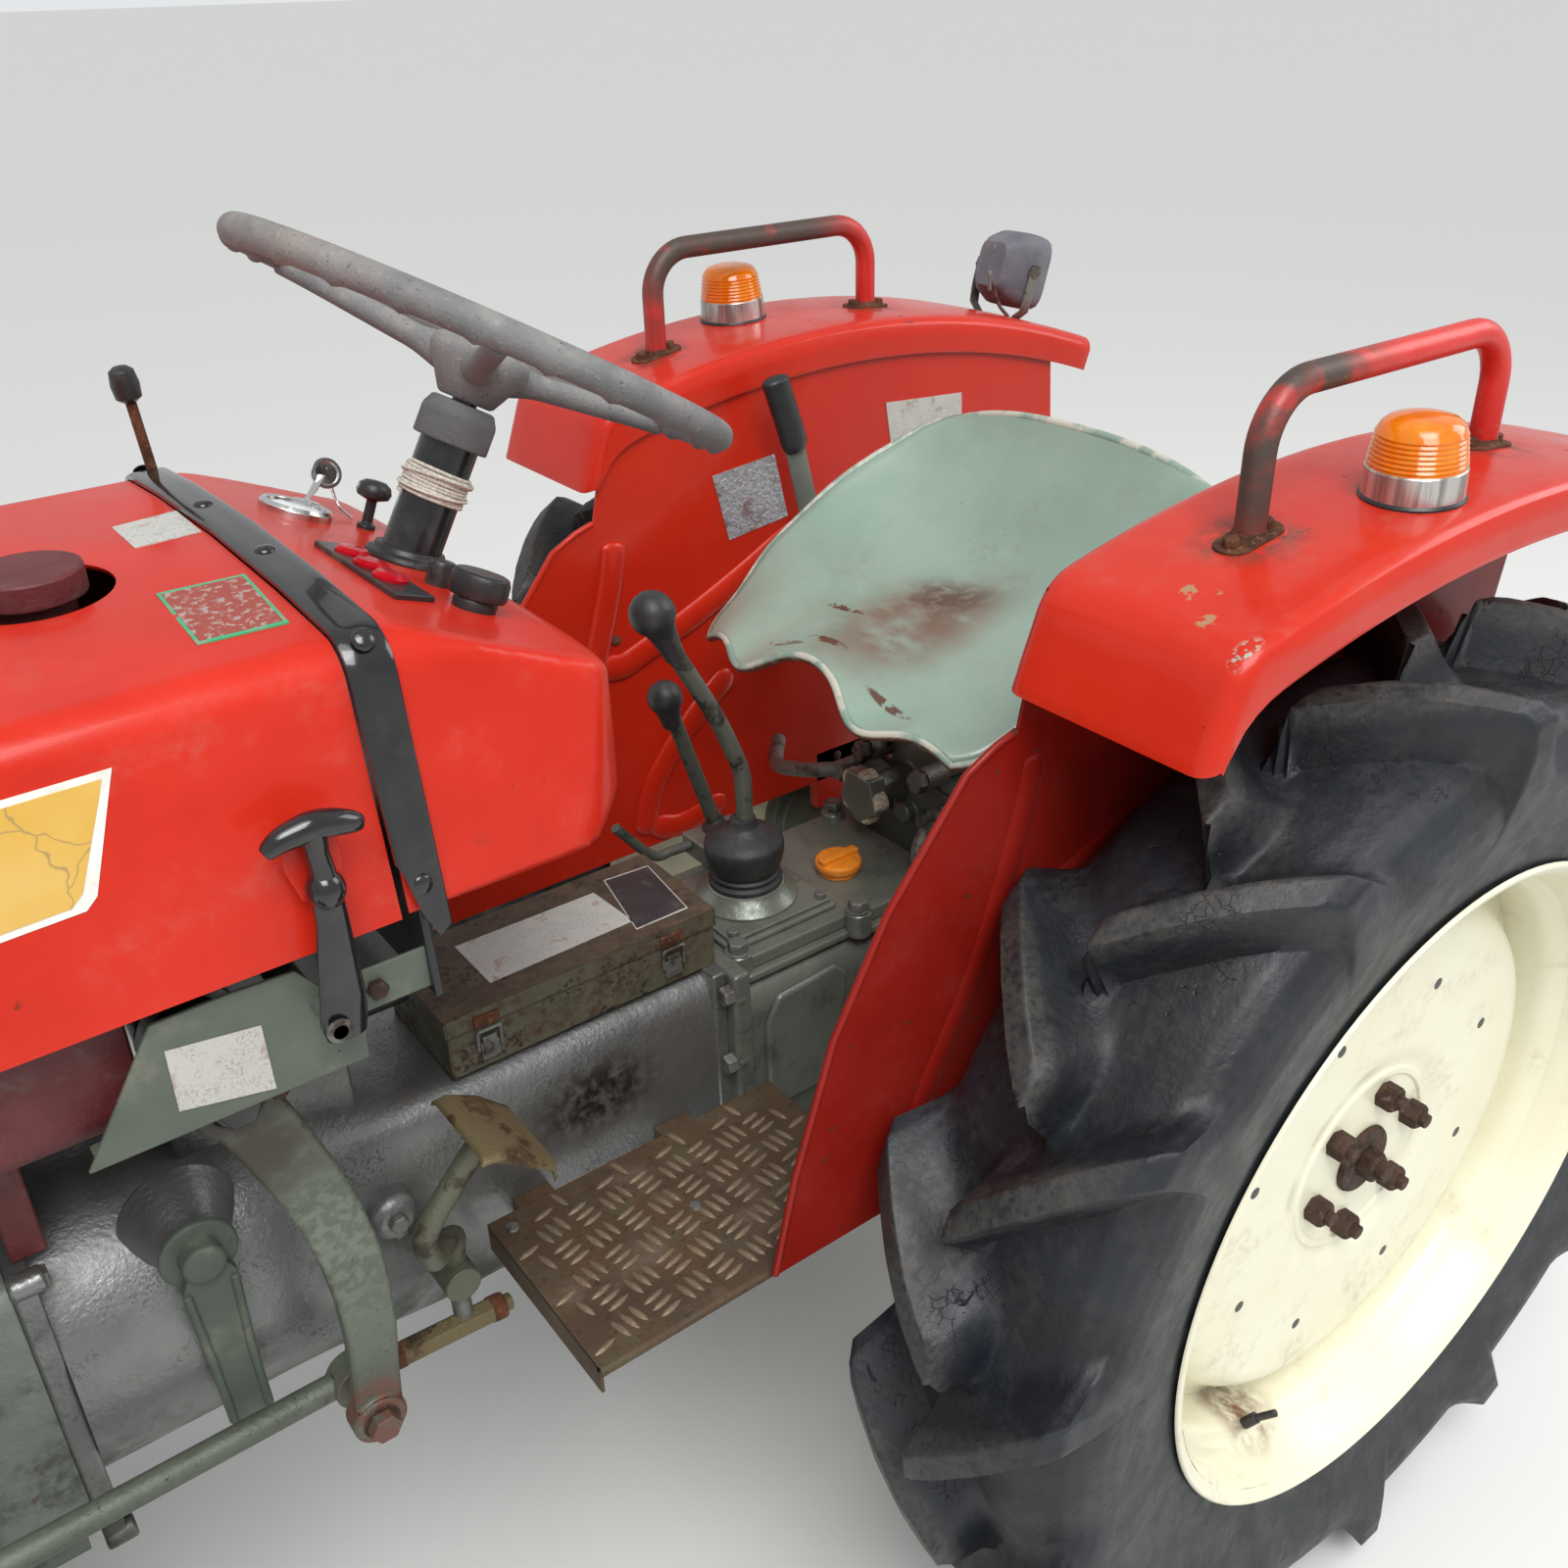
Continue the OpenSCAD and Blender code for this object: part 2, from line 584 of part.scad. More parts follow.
// Fuel tank above the steering box, its filler standing through the bonnet
cap_x = 890;
cap_y = 30;
cap_r = 33;
module fuel_tank() {
  color([0.20, 0.13, 0.13]) place() {
    rounded_bar_x(812, 1024, -185, 185, 1012, 1136, 26);
    rounded_bar_x(930, 1024, -185, 208, 906, 1030, 24);
    translate([cap_x, cap_y, 1130]) cylinder(r = 24, h = hood_top - 1130);
    translate([cap_x, cap_y, hood_top - 3]) cylinder(r = cap_r, h = 18);
    // Feet on the steering box and on the engine's rear flange
    for (y = [-44, 20]) block(830, 860, y, y + 24, box_top + seat_gap, 1016);
    for (y = [-100, 70]) block(1000, 1023, y, y + 30, 764 + seat_gap, 912);
  }
}

// Clutch housing from the flywheel back to the gearbox
housing_front = engine_back;
housing_top = 735;
housing_low = 512;
housing_half_w = 95;
gearbox_front = 450;
bell_r = 132;
module clutch_housing() {
  color([0.62, 0.64, 0.64]) place() {
    rounded_bar_x(gearbox_front, 900, -housing_half_w, housing_half_w, housing_low, housing_top, 42);
    round_x(870, housing_front, 0, crank_z, bell_r, 96);
    translate([780, 0, crank_z]) rotate([0, 90, 0]) cylinder(r1 = 96, r2 = bell_r, h = 90, $fn = 96);
    block(housing_front - 16, housing_front, -124, 124, 500, 764);
    // Boss of the clutch release shaft
    round_y(80, 134, 918, 735, 26);
    // Seat of the steering box
    block(770, 905, -60, 60, 700, 800);
  }
}

// Gearbox and rear axle centre
case_half_w = 105;
case_back = -150;
pto_back = case_back - 20;
cover_z = 722;
module gearbox_case() {
  color([0.50, 0.53, 0.51]) place() {
    rounded_bar_x(case_back, 170, -case_half_w, case_half_w, 390, 700, 30);
    rounded_bar_x(170, gearbox_front, -housing_half_w + 2, housing_half_w - 2, 440, 700, 30);
    round_y(-case_half_w, case_half_w, 0, axle_z, 156, 96);
    block(gearbox_front - 18, gearbox_front, -108, 108, 470, housing_top);
    round_x(pto_back, case_back, 0, 520, 60);
  }
}

shift_x = 360;
plug_x = 258;
module gearbox_cover() {
  color([0.50, 0.54, 0.51]) place() {
    rounded_bar_x(176, 430, -84, 84, 700, cover_z, 8);
    block(shift_x - 62, shift_x + 62, -62, 62, cover_z, cover_z + 10);
    translate([shift_x, 0, cover_z + 10]) cylinder(r1 = 48, r2 = 36, h = 16);
    for (x = [192, 412], y = [-68, 68]) translate([x, y, cover_z]) cylinder(r = 10, h = 12, $fn = 6);
    for (x = [-50, 50], y = [-50, 50])
      translate([shift_x + x, y, cover_z + 10]) cylinder(r = 7, h = 6, $fn = 6);
    // Housing of the range lever, and the oil filler with its cap
    block(296, 356, -116, -66, cover_z, cover_z + 22);
    translate([plug_x, 12, cover_z]) cylinder(r = 20, h = 8);
    translate([plug_x, 12, cover_z + 8]) cylinder(r = 23, h = 10);
  }
}

// Axle housings, bored for the hubs' stubs
housing_end = rear_y + rear_hub_back - 1;
module axle_housings() {
  color([0.50, 0.53, 0.51]) place() for (side = [-1, 1]) on_side(side) translate([0, 0, axle_z])
    turned_y() polygon([[0, case_half_w], [98, case_half_w], [98, case_half_w + 16], [76, 150],
      [58, 200], [50, 280], [50, housing_end - 26], [64, housing_end - 20], [64, housing_end],
      [axle_r + run_gap, housing_end], [axle_r + run_gap, housing_end - 48], [0, housing_end - 48]]);
}

// Hydraulic lift on top of the rear axle
rocker_x = -96;
rocker_z = 758;
rocker_r = 20;
module lift_case() {
  color([0.46, 0.49, 0.48]) place() difference() {
    union() {
      rounded_bar_x(case_back, 160, -88, 88, 700, 792, 22);
      round_y(-100, 100, rocker_x, rocker_z, 42);
      block(case_back - 26, case_back, -40, 40, 610, 760);
    }
    round_y(-104, 104, rocker_x, rocker_z, rocker_r + run_gap);
  }
  color([0.46, 0.49, 0.48]) place() {
    rounded_bar_x(66, 150, -40, 40, 792, 822, 8);
    round_x(150, 196, -10, 780, 16);
    round_x(196, 216, -10, 780, 30, 5);
    for (y = [-30, 4, 36]) round_x(150, 172, y, 752, 12);
    bar([100, -60, 800], [170, -84, 760], 9);
  }
}

// Rear linkage
arm_y = 122;
arm_t = 18;
arm_drop = 14;
arm_tip = [rocker_x - lift_arm_l * cos(arm_drop), rocker_z - lift_arm_l * sin(arm_drop)];
lift_pin_r = 8;
link_y = 152;
link_t = 14;
link_tip_y = 218;
lift_share = 0.46;
function link_at(s) = [link_back_x - s * link_l * cos(link_drop), link_z - s * link_l * sin(link_drop)];
module lift_arms() {
  color([0.40, 0.43, 0.42]) place() {
    round_y(-arm_y - arm_t, arm_y + arm_t, rocker_x, rocker_z, rocker_r);
    for (side = [-1, 1]) on_side(side) difference() {
      union() {
        round_y(arm_y, arm_y + arm_t, rocker_x, rocker_z, 34);
        plate_xz([[rocker_x, rocker_z + 30], [arm_tip[0], arm_tip[1] + 19],
          [arm_tip[0], arm_tip[1] - 19], [rocker_x, rocker_z - 30]], arm_y, arm_y + arm_t);
        round_y(arm_y, arm_y + arm_t, arm_tip[0], arm_tip[1], 20);
      }
      round_y(arm_y - 1, arm_y + arm_t + 1, arm_tip[0], arm_tip[1], lift_pin_r + run_gap);
    }
  }
}

// Lift rods hang from the arms, beside the lower links
rod_y = arm_y + arm_t + 2;
rod_foot = link_at(lift_share);
module lift_rods() {
  foot = rod_foot;
  color([0.42, 0.42, 0.41]) place() for (side = [-1, 1]) on_side(side) {
    round_y(arm_y + 0.5, rod_y + 16, arm_tip[0], arm_tip[1], lift_pin_r);
    round_y(rod_y, rod_y + 16, arm_tip[0], arm_tip[1], 19);
    bar([arm_tip[0], rod_y + 8, arm_tip[1]], [foot[0], link_rod_y, foot[1] + 60], 10);
    bar([arm_tip[0], rod_y + 8, arm_tip[1]] * 0.62 + [foot[0], link_rod_y, foot[1] + 60] * 0.38,
      [arm_tip[0], rod_y + 8, arm_tip[1]] * 0.38 + [foot[0], link_rod_y, foot[1] + 60] * 0.62, 16);
    bar([foot[0], link_rod_y, foot[1] + 60], [foot[0], link_rod_y, foot[1]], 9);
    round_y(link_rod_y - 7, link_rod_y + 7, foot[0], foot[1], 19);
  }
}

link_foot_y = link_y + (link_tip_y - link_y) * lift_share;
link_rod_y = link_foot_y + link_t / 2 + 14;
module lower_link() {
  tip = link_at(1);
  color([0.42, 0.42, 0.41]) difference() {
    union() {
      round_y(link_y - link_t, link_y + link_t, link_back_x, link_z, 24);
      hull() {
        round_y(link_y - 6, link_y + 6, link_back_x, link_z, 20, 32);
        round_y(link_tip_y - 6, link_tip_y + 6, tip[0], tip[1], 20, 32);
      }
      round_y(link_tip_y - 17, link_tip_y + 17, tip[0], tip[1], link_eye_r);
    }
    round_y(link_y - link_t - 1, link_y + link_t + 1, link_back_x, link_z, 12 + run_gap);
    round_y(link_tip_y - 19, link_tip_y + 19, tip[0], tip[1], link_hole_r);
  }
}

module lower_link_left() { place() lower_link(); }
module lower_link_right() { place() on_side(-1) lower_link(); }

module rear_hitch() {
  color([0.30, 0.31, 0.31]) place() {
    // Pins that carry the lower links
    for (side = [-1, 1]) on_side(side) {
      round_y(case_half_w, link_y + link_t + 8, link_back_x, link_z, 12);
      round_y(case_half_w, link_y - link_t - 2, link_back_x, link_z, 26);
    }
    // Drawbar
    difference() {
      block(-330, case_back, -34, 34, 366, 384);
      translate([-300, 0, 360]) cylinder(r = drawbar_hole_r, h = 30);
    }
    block(case_back - 14, case_back, -60, 60, 360, 430);
    // Power take-off shaft
    round_x(pto_back - 72, pto_back, 0, 520, pto_r);
    // Top link ears
    for (side = [-1, 1]) on_side(side) difference() {
      plate_xz([[case_back - 26, 690], [case_back - 70, 700], [case_back - 74, 732],
        [case_back - 26, 752]], 26, 38);
      round_y(24, 40, case_back - 54, 716, 9.6);
    }
  }
}

// Outline of the bonnet across the tractor, drawn in Y and Z
shoulder_y = hood_half_w - 48;
shoulder_r = 26;
function hood_side(t, low) = concat(
  [[hood_half_w - t, low], [hood_half_w - t, hood_low]],
  arc(shoulder_y, hood_top - 34, shoulder_r - t, 8, 90, 6),
  [[hood_half_w / 2, hood_top - 3 - t], [0, hood_top - t]]);
module hood_section(t, low, x0, x1) {
  side = hood_side(t, low);
  translate([x0, 0, 0]) rotate([90, 0, 90]) linear_extrude(x1 - x0)
    polygon(concat(side, mirrored(side)));
}

// The bonnet's block, shrunk by t on its closed sides
nose_x = 1420;
module hood_block(t, open) {
  f = hood_front - t;
  back = hood_back - open;
  front_r = 34 - t;
  intersection() {
    hood_section(t, nose_low - 2 * open, back, f);
    plate_xz(concat(
      open > 0 ? [[back, nose_low - 20], [f, nose_low - 20]]
        : [[back, hood_low], [nose_x - 70, hood_low], [nose_x, nose_low], [f, nose_low]],
      arc(hood_front - 34, hood_top - 34, front_r, 0, 90, 6), [[back, hood_top - t]]), -260, 260);
    translate([0, 0, 600]) linear_extrude(700) polygon(concat(
      arc(hood_front - 44, hood_half_w - 44, 44 - t, 0, 90, 6),
      [[back, hood_half_w - t], [back, t - hood_half_w]],
      arc(hood_front - 44, 44 - hood_half_w, 44 - t, -90, 0, 6)));
  }
}

grille_half_w = 168;
grille_low = 800;
grille_top = 1118;
cap_hole_r = 48;
module hood_panel() {
  color([0.80, 0.14, 0.10]) place() {
    difference() {
      hood_block(0, 0);
      hood_block(hood_t, 12);
      block(hood_front - 60, hood_front + 10, -grille_half_w, grille_half_w, grille_low, grille_top);
      translate([cap_x, cap_y, hood_top - 40]) cylinder(r = cap_hole_r, h = 60);
    }
    // Hinge pins
    for (side = [-1, 1]) on_side(side) {
      round_y(hinge_ear_y - 10, hood_half_w - 1, hinge_x, hinge_z, 6);
      round_y(hinge_ear_y + 2, hood_half_w - 1, hinge_x, hinge_z, 13);
    }
  }
}

lamp_y = 108;
lamp_z = 1052;
lamp_r = 50;
module grille() {
  w = grille_half_w - seat_gap;
  lo = grille_low + seat_gap;
  hi = grille_top - seat_gap;
  color([0.16, 0.16, 0.17]) place() difference() {
    union() {
      difference() {
        block(hood_front - 14, hood_front - 2, -w, w, lo, hi);
        block(hood_front - 20, hood_front + 4, 14 - w, w - 14, lo + 14, hi - 14);
      }
      for (z = [lo + 34 : 26 : hi - 20]) block(hood_front - 12, hood_front - 4, 8 - w, w - 8, z, z + 9);
      for (y = [-58, 58]) block(hood_front - 13, hood_front - 8, y - 4, y + 4, lo + 8, hi - 8);
      for (side = [-1, 1]) round_x(hood_front - 14, hood_front - 1, side * lamp_y, lamp_z, lamp_r + 8);
    }
    for (side = [-1, 1]) round_x(hood_front - 30, hood_front + 5, side * lamp_y, lamp_z, lamp_r + seat_gap);
  }
}

module headlamps() {
  color([0.85, 0.87, 0.88]) place() for (side = [-1, 1]) translate([hood_front, side * lamp_y, lamp_z])
    rotate([0, 90, 0]) rotate_extrude($fn = 64) polygon([[0, -56], [26, -52], [lamp_r + 6, -22],
      [lamp_r + 6, -14 - seat_gap], [lamp_r, -14 - seat_gap], [lamp_r, 2], [lamp_r - 6, 3], [30, 7], [0, 9]]);
}

// Dash cowl behind the bonnet, with its sloping top
cowl_front = hood_back - 6;
dash_z = hood_top - 4;
dash_x = cowl_front - 20;
dash_slope = 23;
function dash_at(x) = dash_z - (dash_x - x) * tan(dash_slope);
cowl_low = hood_low;
module cowl_block(t, open) {
  x1 = cowl_front + open;
  lo = open > 0 ? cowl_low - 30 : cowl_low;
  drop = t / cos(dash_slope);
  side = open > 0
    ? [[x1, lo], [x1, hood_top + 2 - t], [dash_x + 20, hood_top + 2 - t], [dash_x, dash_z - drop],
      [606, dash_at(606) - drop], [586 + t, 1102 - t], [578 + t, 1086], [576 + t, 1062], [583 + t, 1042],
      [603 + t, 1023], [630, 1003], [630, lo]]
    : [[x1, lo], [x1, hood_top + 2], [dash_x + 20, hood_top + 2], [dash_x, dash_z], [606, dash_at(606)],
      [586, 1102], [577, 1086], [574, 1062], [581, 1040], [602, 1020], [655, lo]];
  intersection() {
    hood_section(t, cowl_low - 2 * open, 560, x1);
    plate_xz(side, -260, 260);
    translate([0, 0, 900]) linear_extrude(400) polygon(concat(
      [[x1, t - hood_half_w], [x1, hood_half_w - t]],
      arc(660, hood_half_w - 76, 76 - t, 90, 140, 4),
      [[576 + t, 110], [574 + t, 60], [574 + t, -60], [576 + t, -110]],
      arc(660, 76 - hood_half_w, 76 - t, 220, 270, 4)));
  }
}

// The steering column's line, from the wheel's hub down
hub_x = 564;
hub_z = 1265;
module on_column() {
  translate([hub_x, 0, hub_z]) rotate([0, -column_lean, 0]) children();
}

module dash_cowl() {
  color([0.80, 0.14, 0.10]) place() difference() {
    cowl_block(0, 0);
    cowl_block(hood_t, 12);
    on_column() translate([0, 0, -300]) cylinder(r = column_r + 1, h = 300);
  }
}

// Column with the steering box below it and the drop arm's shaft
box_top = 935;
collar_r = column_r + 5;
column_l = (hub_z - box_top + column_r * sin(column_lean)) / cos(column_lean) + 4;
module steering_column() {
  color([0.13, 0.13, 0.14]) place() {
    on_column() {
      translate([0, 0, -column_l]) cylinder(r = column_r - 4, h = column_l - 60);
      translate([0, 0, -190]) cylinder(r = column_r, h = 150);
      // Collar below the wheel's hub
      translate([0, 0, -65]) cylinder(r = collar_r, h = 20);
      translate([0, 0, -45]) cylinder(r1 = collar_r, r2 = collar_r - 5, h = 8);
      translate([0, 0, -40]) cylinder(r = 9, h = 40);
    }
    rounded_bar_x(716, 905, -58, 58, 800, box_top, 20);
    round_y(50, 120, drop_x, drop_z, 34);
    round_y(100, drop_y + drop_t + 3, drop_x, drop_z, drop_shaft_r);
    round_y(120, drop_y - 4, drop_x, drop_z, 24);
    round_y(drop_y + drop_t + 1.5, drop_y + drop_t + 9, drop_x, drop_z, 13, 6);
  }
}

rim_rise = 11;
// Depth of the hub, down to just over the column's collar
hub_drop = 35;
module steering_wheel() {
  color([0.42, 0.43, 0.43]) place() on_column() difference() {
    union() {
      translate([0, 0, rim_rise]) rotate_extrude($fn = 96)
        translate([steering_r, 0]) circle(r = steering_rim_r, $fn = 24);
      translate([0, 0, -hub_drop]) cylinder(r1 = 20, r2 = 34, h = hub_drop - 6);
      translate([0, 0, -6]) cylinder(r = 34, h = 10);
      translate([0, 0, 4]) cylinder(r = 14, h = 9, $fn = 6);
      for (a = [65, 185, 305]) rotate([0, 0, a]) bar([20, 0, -7], [steering_r, 0, rim_rise - 4], 8.5);
    }
    translate([0, 0, -hub_drop - 2]) cylinder(r = 9 + run_gap, h = hub_drop + 4);
  }
}

module on_dash(x, y) {
  translate([x, y, dash_at(x)]) rotate([0, -dash_slope, 0]) translate([0, 0, seat_gap]) children();
}

module dash_controls() {
  color([0.20, 0.20, 0.21]) place() {
    // Round gauge, pull knob, key switch, lamp plate and two push knobs
    on_dash(678, -116) cylinder(r = 31, h = 7);
    on_dash(638, -85) cylinder(r = 7, h = 16);
    on_dash(638, -85) translate([0, 0, 16]) cylinder(r = 12, h = 6);
    on_dash(648, -132) cylinder(r = 13, h = 6);
    on_dash(648, -132) translate([-1.5, -9, 6]) cube([3, 18, 20]);
    on_dash(690, 66) translate([-17, -60, 0]) cube([34, 120, 5]);
    for (y = [26, 66, 106]) on_dash(690, y) translate([0, 0, 5]) cylinder(r = 9, h = 4);
    // Each knob's x, y and radius
    for (p = [[649, 68, 9], [650, 124, 16]]) on_dash(p[0], p[1]) {
      cylinder(r = p[2] - 3, h = 8);
      translate([0, 0, 7]) cylinder(r = p[2], h = 12);
    }
    // Hand throttle over the cowl's shoulder
    bar([750, -200, hood_top - 6.5], [752, -200, hood_top + 52], 5);
    translate([752, -200, hood_top + 58]) sphere(r = 12);
  }
}

// Bulkhead that carries the cowl, and the bracket plate with the bonnet's latch
module side_bracket() {
  color([0.14, 0.14, 0.15]) place() {
    // The column passes through a notch in the bulkhead's foot
    difference() {
      intersection() {
        hood_section(hood_t + seat_gap, 900, cowl_front - 14, cowl_front - 8);
        block(cowl_front - 20, cowl_front, -250, 250, box_top + seat_gap, dash_z - 8);
      }
      on_column() translate([0, 0, -column_l - 60]) cylinder(r = column_r - 1, h = 200);
    }
    plate_xz([[972, 909], [804, 908], [803, 935], [837, 988], [921, 990]],
      hood_half_w - 16, hood_half_w - 12);
    round_y(58 + seat_gap, hood_half_w - 15, 822, 924, 11);
    block(cowl_front - 12, 840, hood_half_w - 16, hood_half_w - 12, 940, 972);
    block(806, 830, hood_half_w - 13, hood_half_w + 16, 952, 972);
    // Latch: strap, ball and T grip
    plate_xz([[808, 1044], [827, 1044], [831, 1003], [834, 954], [801, 954], [806, 1003]],
      hood_half_w + 6, hood_half_w + 16);
    translate([817, hood_half_w + 12, 1051]) sphere(r = 12);
    translate([817, hood_half_w + 12, 1051]) cylinder(r = 7, h = 38);
    round_x(790, 846, hood_half_w + 12, 1089, 8);
  }
}

// Fenders: a wide arch over a side plate
cap_arc_r = 1150;
cap_top = axle_z + fender_r;
cap_front = 300;
cap_back = -395;
flange_h = 38;
function cap_z(x, r = cap_arc_r) = cap_top - cap_arc_r + sqrt(r * r - x * x);
function cap_line(r, x0, x1, n = 14) =
  [for (i = [0 : n]) let (x = x0 + (x1 - x0) * i / n) [x, cap_z(x, r)]];
module fender() {
  t = fender_t;
  y0 = fender_y;
  y1 = fender_y + fender_w;
  lip = [cap_front + 29, cap_z(cap_front) - 76];
  difference() {
    plate_xz(concat(cap_line(cap_arc_r, cap_back, cap_front), [lip, [lip[0] - 5, lip[1]]],
      cap_line(cap_arc_r - flange_h, cap_front - 6, cap_back)), y0, y1);
    plate_xz(concat(cap_line(cap_arc_r - t, cap_back + t, cap_front - 2), [[lip[0] - 4, lip[1] - 3]],
      [[lip[0] - 60, lip[1] - 30]], cap_line(cap_arc_r - flange_h - 30, cap_front - 60, cap_back + t)),
      y0 + t, y1 - t);
  }
  // Side plate
  foot = foot_z + seat_gap;
  plate_xz(concat([[lip[0] - 4, lip[1] - 2], [371, 989], [443, 902], [494, 812], [532, 701], [554, foot],
    [-190, foot], [-262, 720], [-318, 880], [-335, 985]],
    cap_line(cap_arc_r - 2, -325, cap_front - 4)), y0 + t, y0 + 2 * t);
  // Saddle on the axle housing
  block(-42, 42, y0 + t, y0 + t + 14, axle_z + 50 + seat_gap, foot_z + 40);
}

module fender_left() { color([0.78, 0.13, 0.10]) place() fender(); }
module fender_right() { color([0.78, 0.13, 0.10]) place() on_side(-1) fender(); }

// Local frame on the arch's top, with its own Z outward
module on_cap(x, y) {
  translate([x, y, cap_z(x)]) rotate([0, asin(x / cap_arc_r), 0]) translate([0, 0, seat_gap]) children();
}

rail_y = 379;
rail_front_x = 186;
rail_back_x = -99;
rail_bend = 44;
module grab_rails() {
  top = cap_z(0) + rail_h;
  color([0.70, 0.13, 0.10]) place() for (y = [-rail_y, rail_y]) {
    for (x = [rail_front_x, rail_back_x]) on_cap(x, y) {
      translate([-26, -17, 0]) cube([52, 34, 4]);
      for (dx = [-17, 17]) translate([dx, 0, 4]) cylinder(r = 6.5, h = 6, $fn = 6);
    }
    swept_bar(concat([[rail_front_x, cap_z(rail_front_x) + 2]],
      arc(rail_front_x - rail_bend, top - rail_bend, rail_bend, 0, 90, 6),
      arc(rail_back_x + rail_bend, top - rail_bend, rail_bend, 90, 180, 6),
      [[rail_back_x, cap_z(rail_back_x) + 2]]), y, rail_r);
  }
}

module lamps() {
  color([0.85, 0.45, 0.08]) place() {
    for (side = [-1, 1]) on_side(side) on_cap(58, 419) {
      cylinder(r = 37, h = 7);
      translate([0, 0, 7]) cylinder(r = 34, h = 34);
      translate([0, 0, 41]) cylinder(r1 = 34, r2 = 26, h = 14);
      translate([0, 0, 55]) cylinder(r1 = 26, r2 = 11, h = 5);
    }
    // Work lamp on the right fender's rear
    on_cap(-330, -400) {
      translate([-22, -44, 0]) cube([44, 88, 5]);
      for (y = [-50, 45]) translate([-10, y, 0]) cube([20, 5, 56]);
      translate([-34, -42, 12]) cube([58, 84, 66]);
      translate([-42, -36, 18]) cube([8, 72, 54]);
      for (y = [-46, 41]) translate([0, y, 44]) rotate([-90, 0, 0]) cylinder(r = 8, h = 5);
    }
  }
}

// Seat pan: rows from the front edge to the back's top,
// each [x and z at the middle, half width, x and z at the sides], z from the drain hole
seat_rows = [
  [275, -20, 178, 268, -58], [250, -19, 194, 248, -52], [214, -15, 203, 214, -34], [170, -9, 209, 170, 2],
  [124, -3, 210, 120, 32], [86, 0, 209, 80, 54], [50, 8, 206, 40, 71], [20, 26, 200, 6, 84],
  [-6, 52, 193, -16, 94], [-27, 80, 184, -32, 101], [-43, 107, 175, -44, 105],
  [-54, seat_back_h - 20, 163, -52, 108]];
seat_n = 16;
// Thighs' hollows beside the raised middle, deepest at the front, and the two lobes of the front edge
function thigh(s) = exp(-pow((s - 0.48) / 0.24, 2));
function seat_point(row, u) =
  let (s = abs(u), w = row[2] * seat_w / 430, k = pow(s, 2.6), f = max(0, (row[0] - 150) / 125))
  [row[0] + (row[3] - row[0]) * k + 22 * f * f * thigh(s),
    u * w, seat_z + row[1] + (row[4] - row[1]) * k - 26 * f * thigh(s)];
module seat_pan() {
  n = len(seat_rows);
  m = seat_n + 1;
  top = [for (r = seat_rows, j = [0 : seat_n]) seat_point(r, 2 * j / seat_n - 1)];
  back = [for (i = [0 : n - 1]) i < 5 ? 0 : min(1, (i - 4) / 3)];
  low = [for (i = [0 : n - 1], j = [0 : seat_n])
    top[i * m + j] - seat_t * [0.8 * back[i], 0, 1 - 0.4 * back[i]]];
  k = n * m;
  last = (n - 1) * m;
  // Quads over the top and under it, then the front, back and two side edges
  function quad(a, b, c, d) = [[a, c, b], [a, d, c]];
  faces = concat(
    [for (i = [0 : n - 2], j = [0 : seat_n - 1]) let (a = i * m + j) each quad(a, a + 1, a + m + 1, a + m)],
    [for (i = [0 : n - 2], j = [0 : seat_n - 1]) let (a = k + i * m + j)
      each quad(a, a + m, a + m + 1, a + 1)],
    [for (j = [0 : seat_n - 1]) each quad(j, k + j, k + j + 1, j + 1)],
    [for (j = [last : last + seat_n - 1]) each quad(j, j + 1, k + j + 1, k + j)],
    [for (i = [0 : n - 2]) let (a = i * m) each quad(a, a + m, k + a + m, k + a)],
    [for (i = [0 : n - 2]) let (a = i * m + seat_n) each quad(a, k + a, k + a + m, a + m)]);
  color([0.36, 0.42, 0.38]) place() difference() {
    polyhedron(concat(top, low), faces);
    translate([86, 0, seat_z - 70]) cylinder(r = 12, h = 160, $fn = 24);
  }
}

lift_top = 792;
seat_pad_z = seat_z - 9 - seat_t - seat_gap;
module seat_support() {
  color([0.16, 0.17, 0.17]) place() {
    block(-60, 40, -45, 45, lift_top, lift_top + 10);
    for (side = [-1, 1]) on_side(side)
      plate_xz([[-56, lift_top + 8], [36, lift_top + 8], [150, 896], [176, seat_z - 30], [132, seat_z - 30],
        [50, 900]], 34, 42);
    block(132, 168, -46, 46, seat_z - 38, seat_pad_z - 5);
    block(140, 170, -12, 12, seat_pad_z - 6, seat_pad_z);
  }
}

// Footboards on brackets from the clutch housing
module footboards() {
  color([0.22, 0.16, 0.13]) place() for (side = [-1, 1]) on_side(side) {
    block(420, 705, 112, 295, foot_z - 6, foot_z);
    block(420, 424, 112, 295, foot_z - 30, foot_z);
    block(701, 705, 112, 290, foot_z - 30, foot_z);
    for (x = [500, 640]) block(x, x + 34, housing_half_w, 280, foot_z - 22, foot_z - 6);
  }
}

// Pedals, with the clutch rod and lever on the left
pedal_x = 745;
pedal_z = 600;
module pedal_arm(y0, y1, lean) {
  bent_bar([[716, y1, 778], [774, y1 - lean * 0.6, 705], [770, y1 - lean, 672],
    [754, y0, 662], [pedal_x, y0, pedal_z]], 9);
}

module pedal_pad(y, w) {
  translate([715, y, 780]) rotate([0, -38, 0]) translate([-30, -w / 2, -4]) cube([60, w, 10]);
}

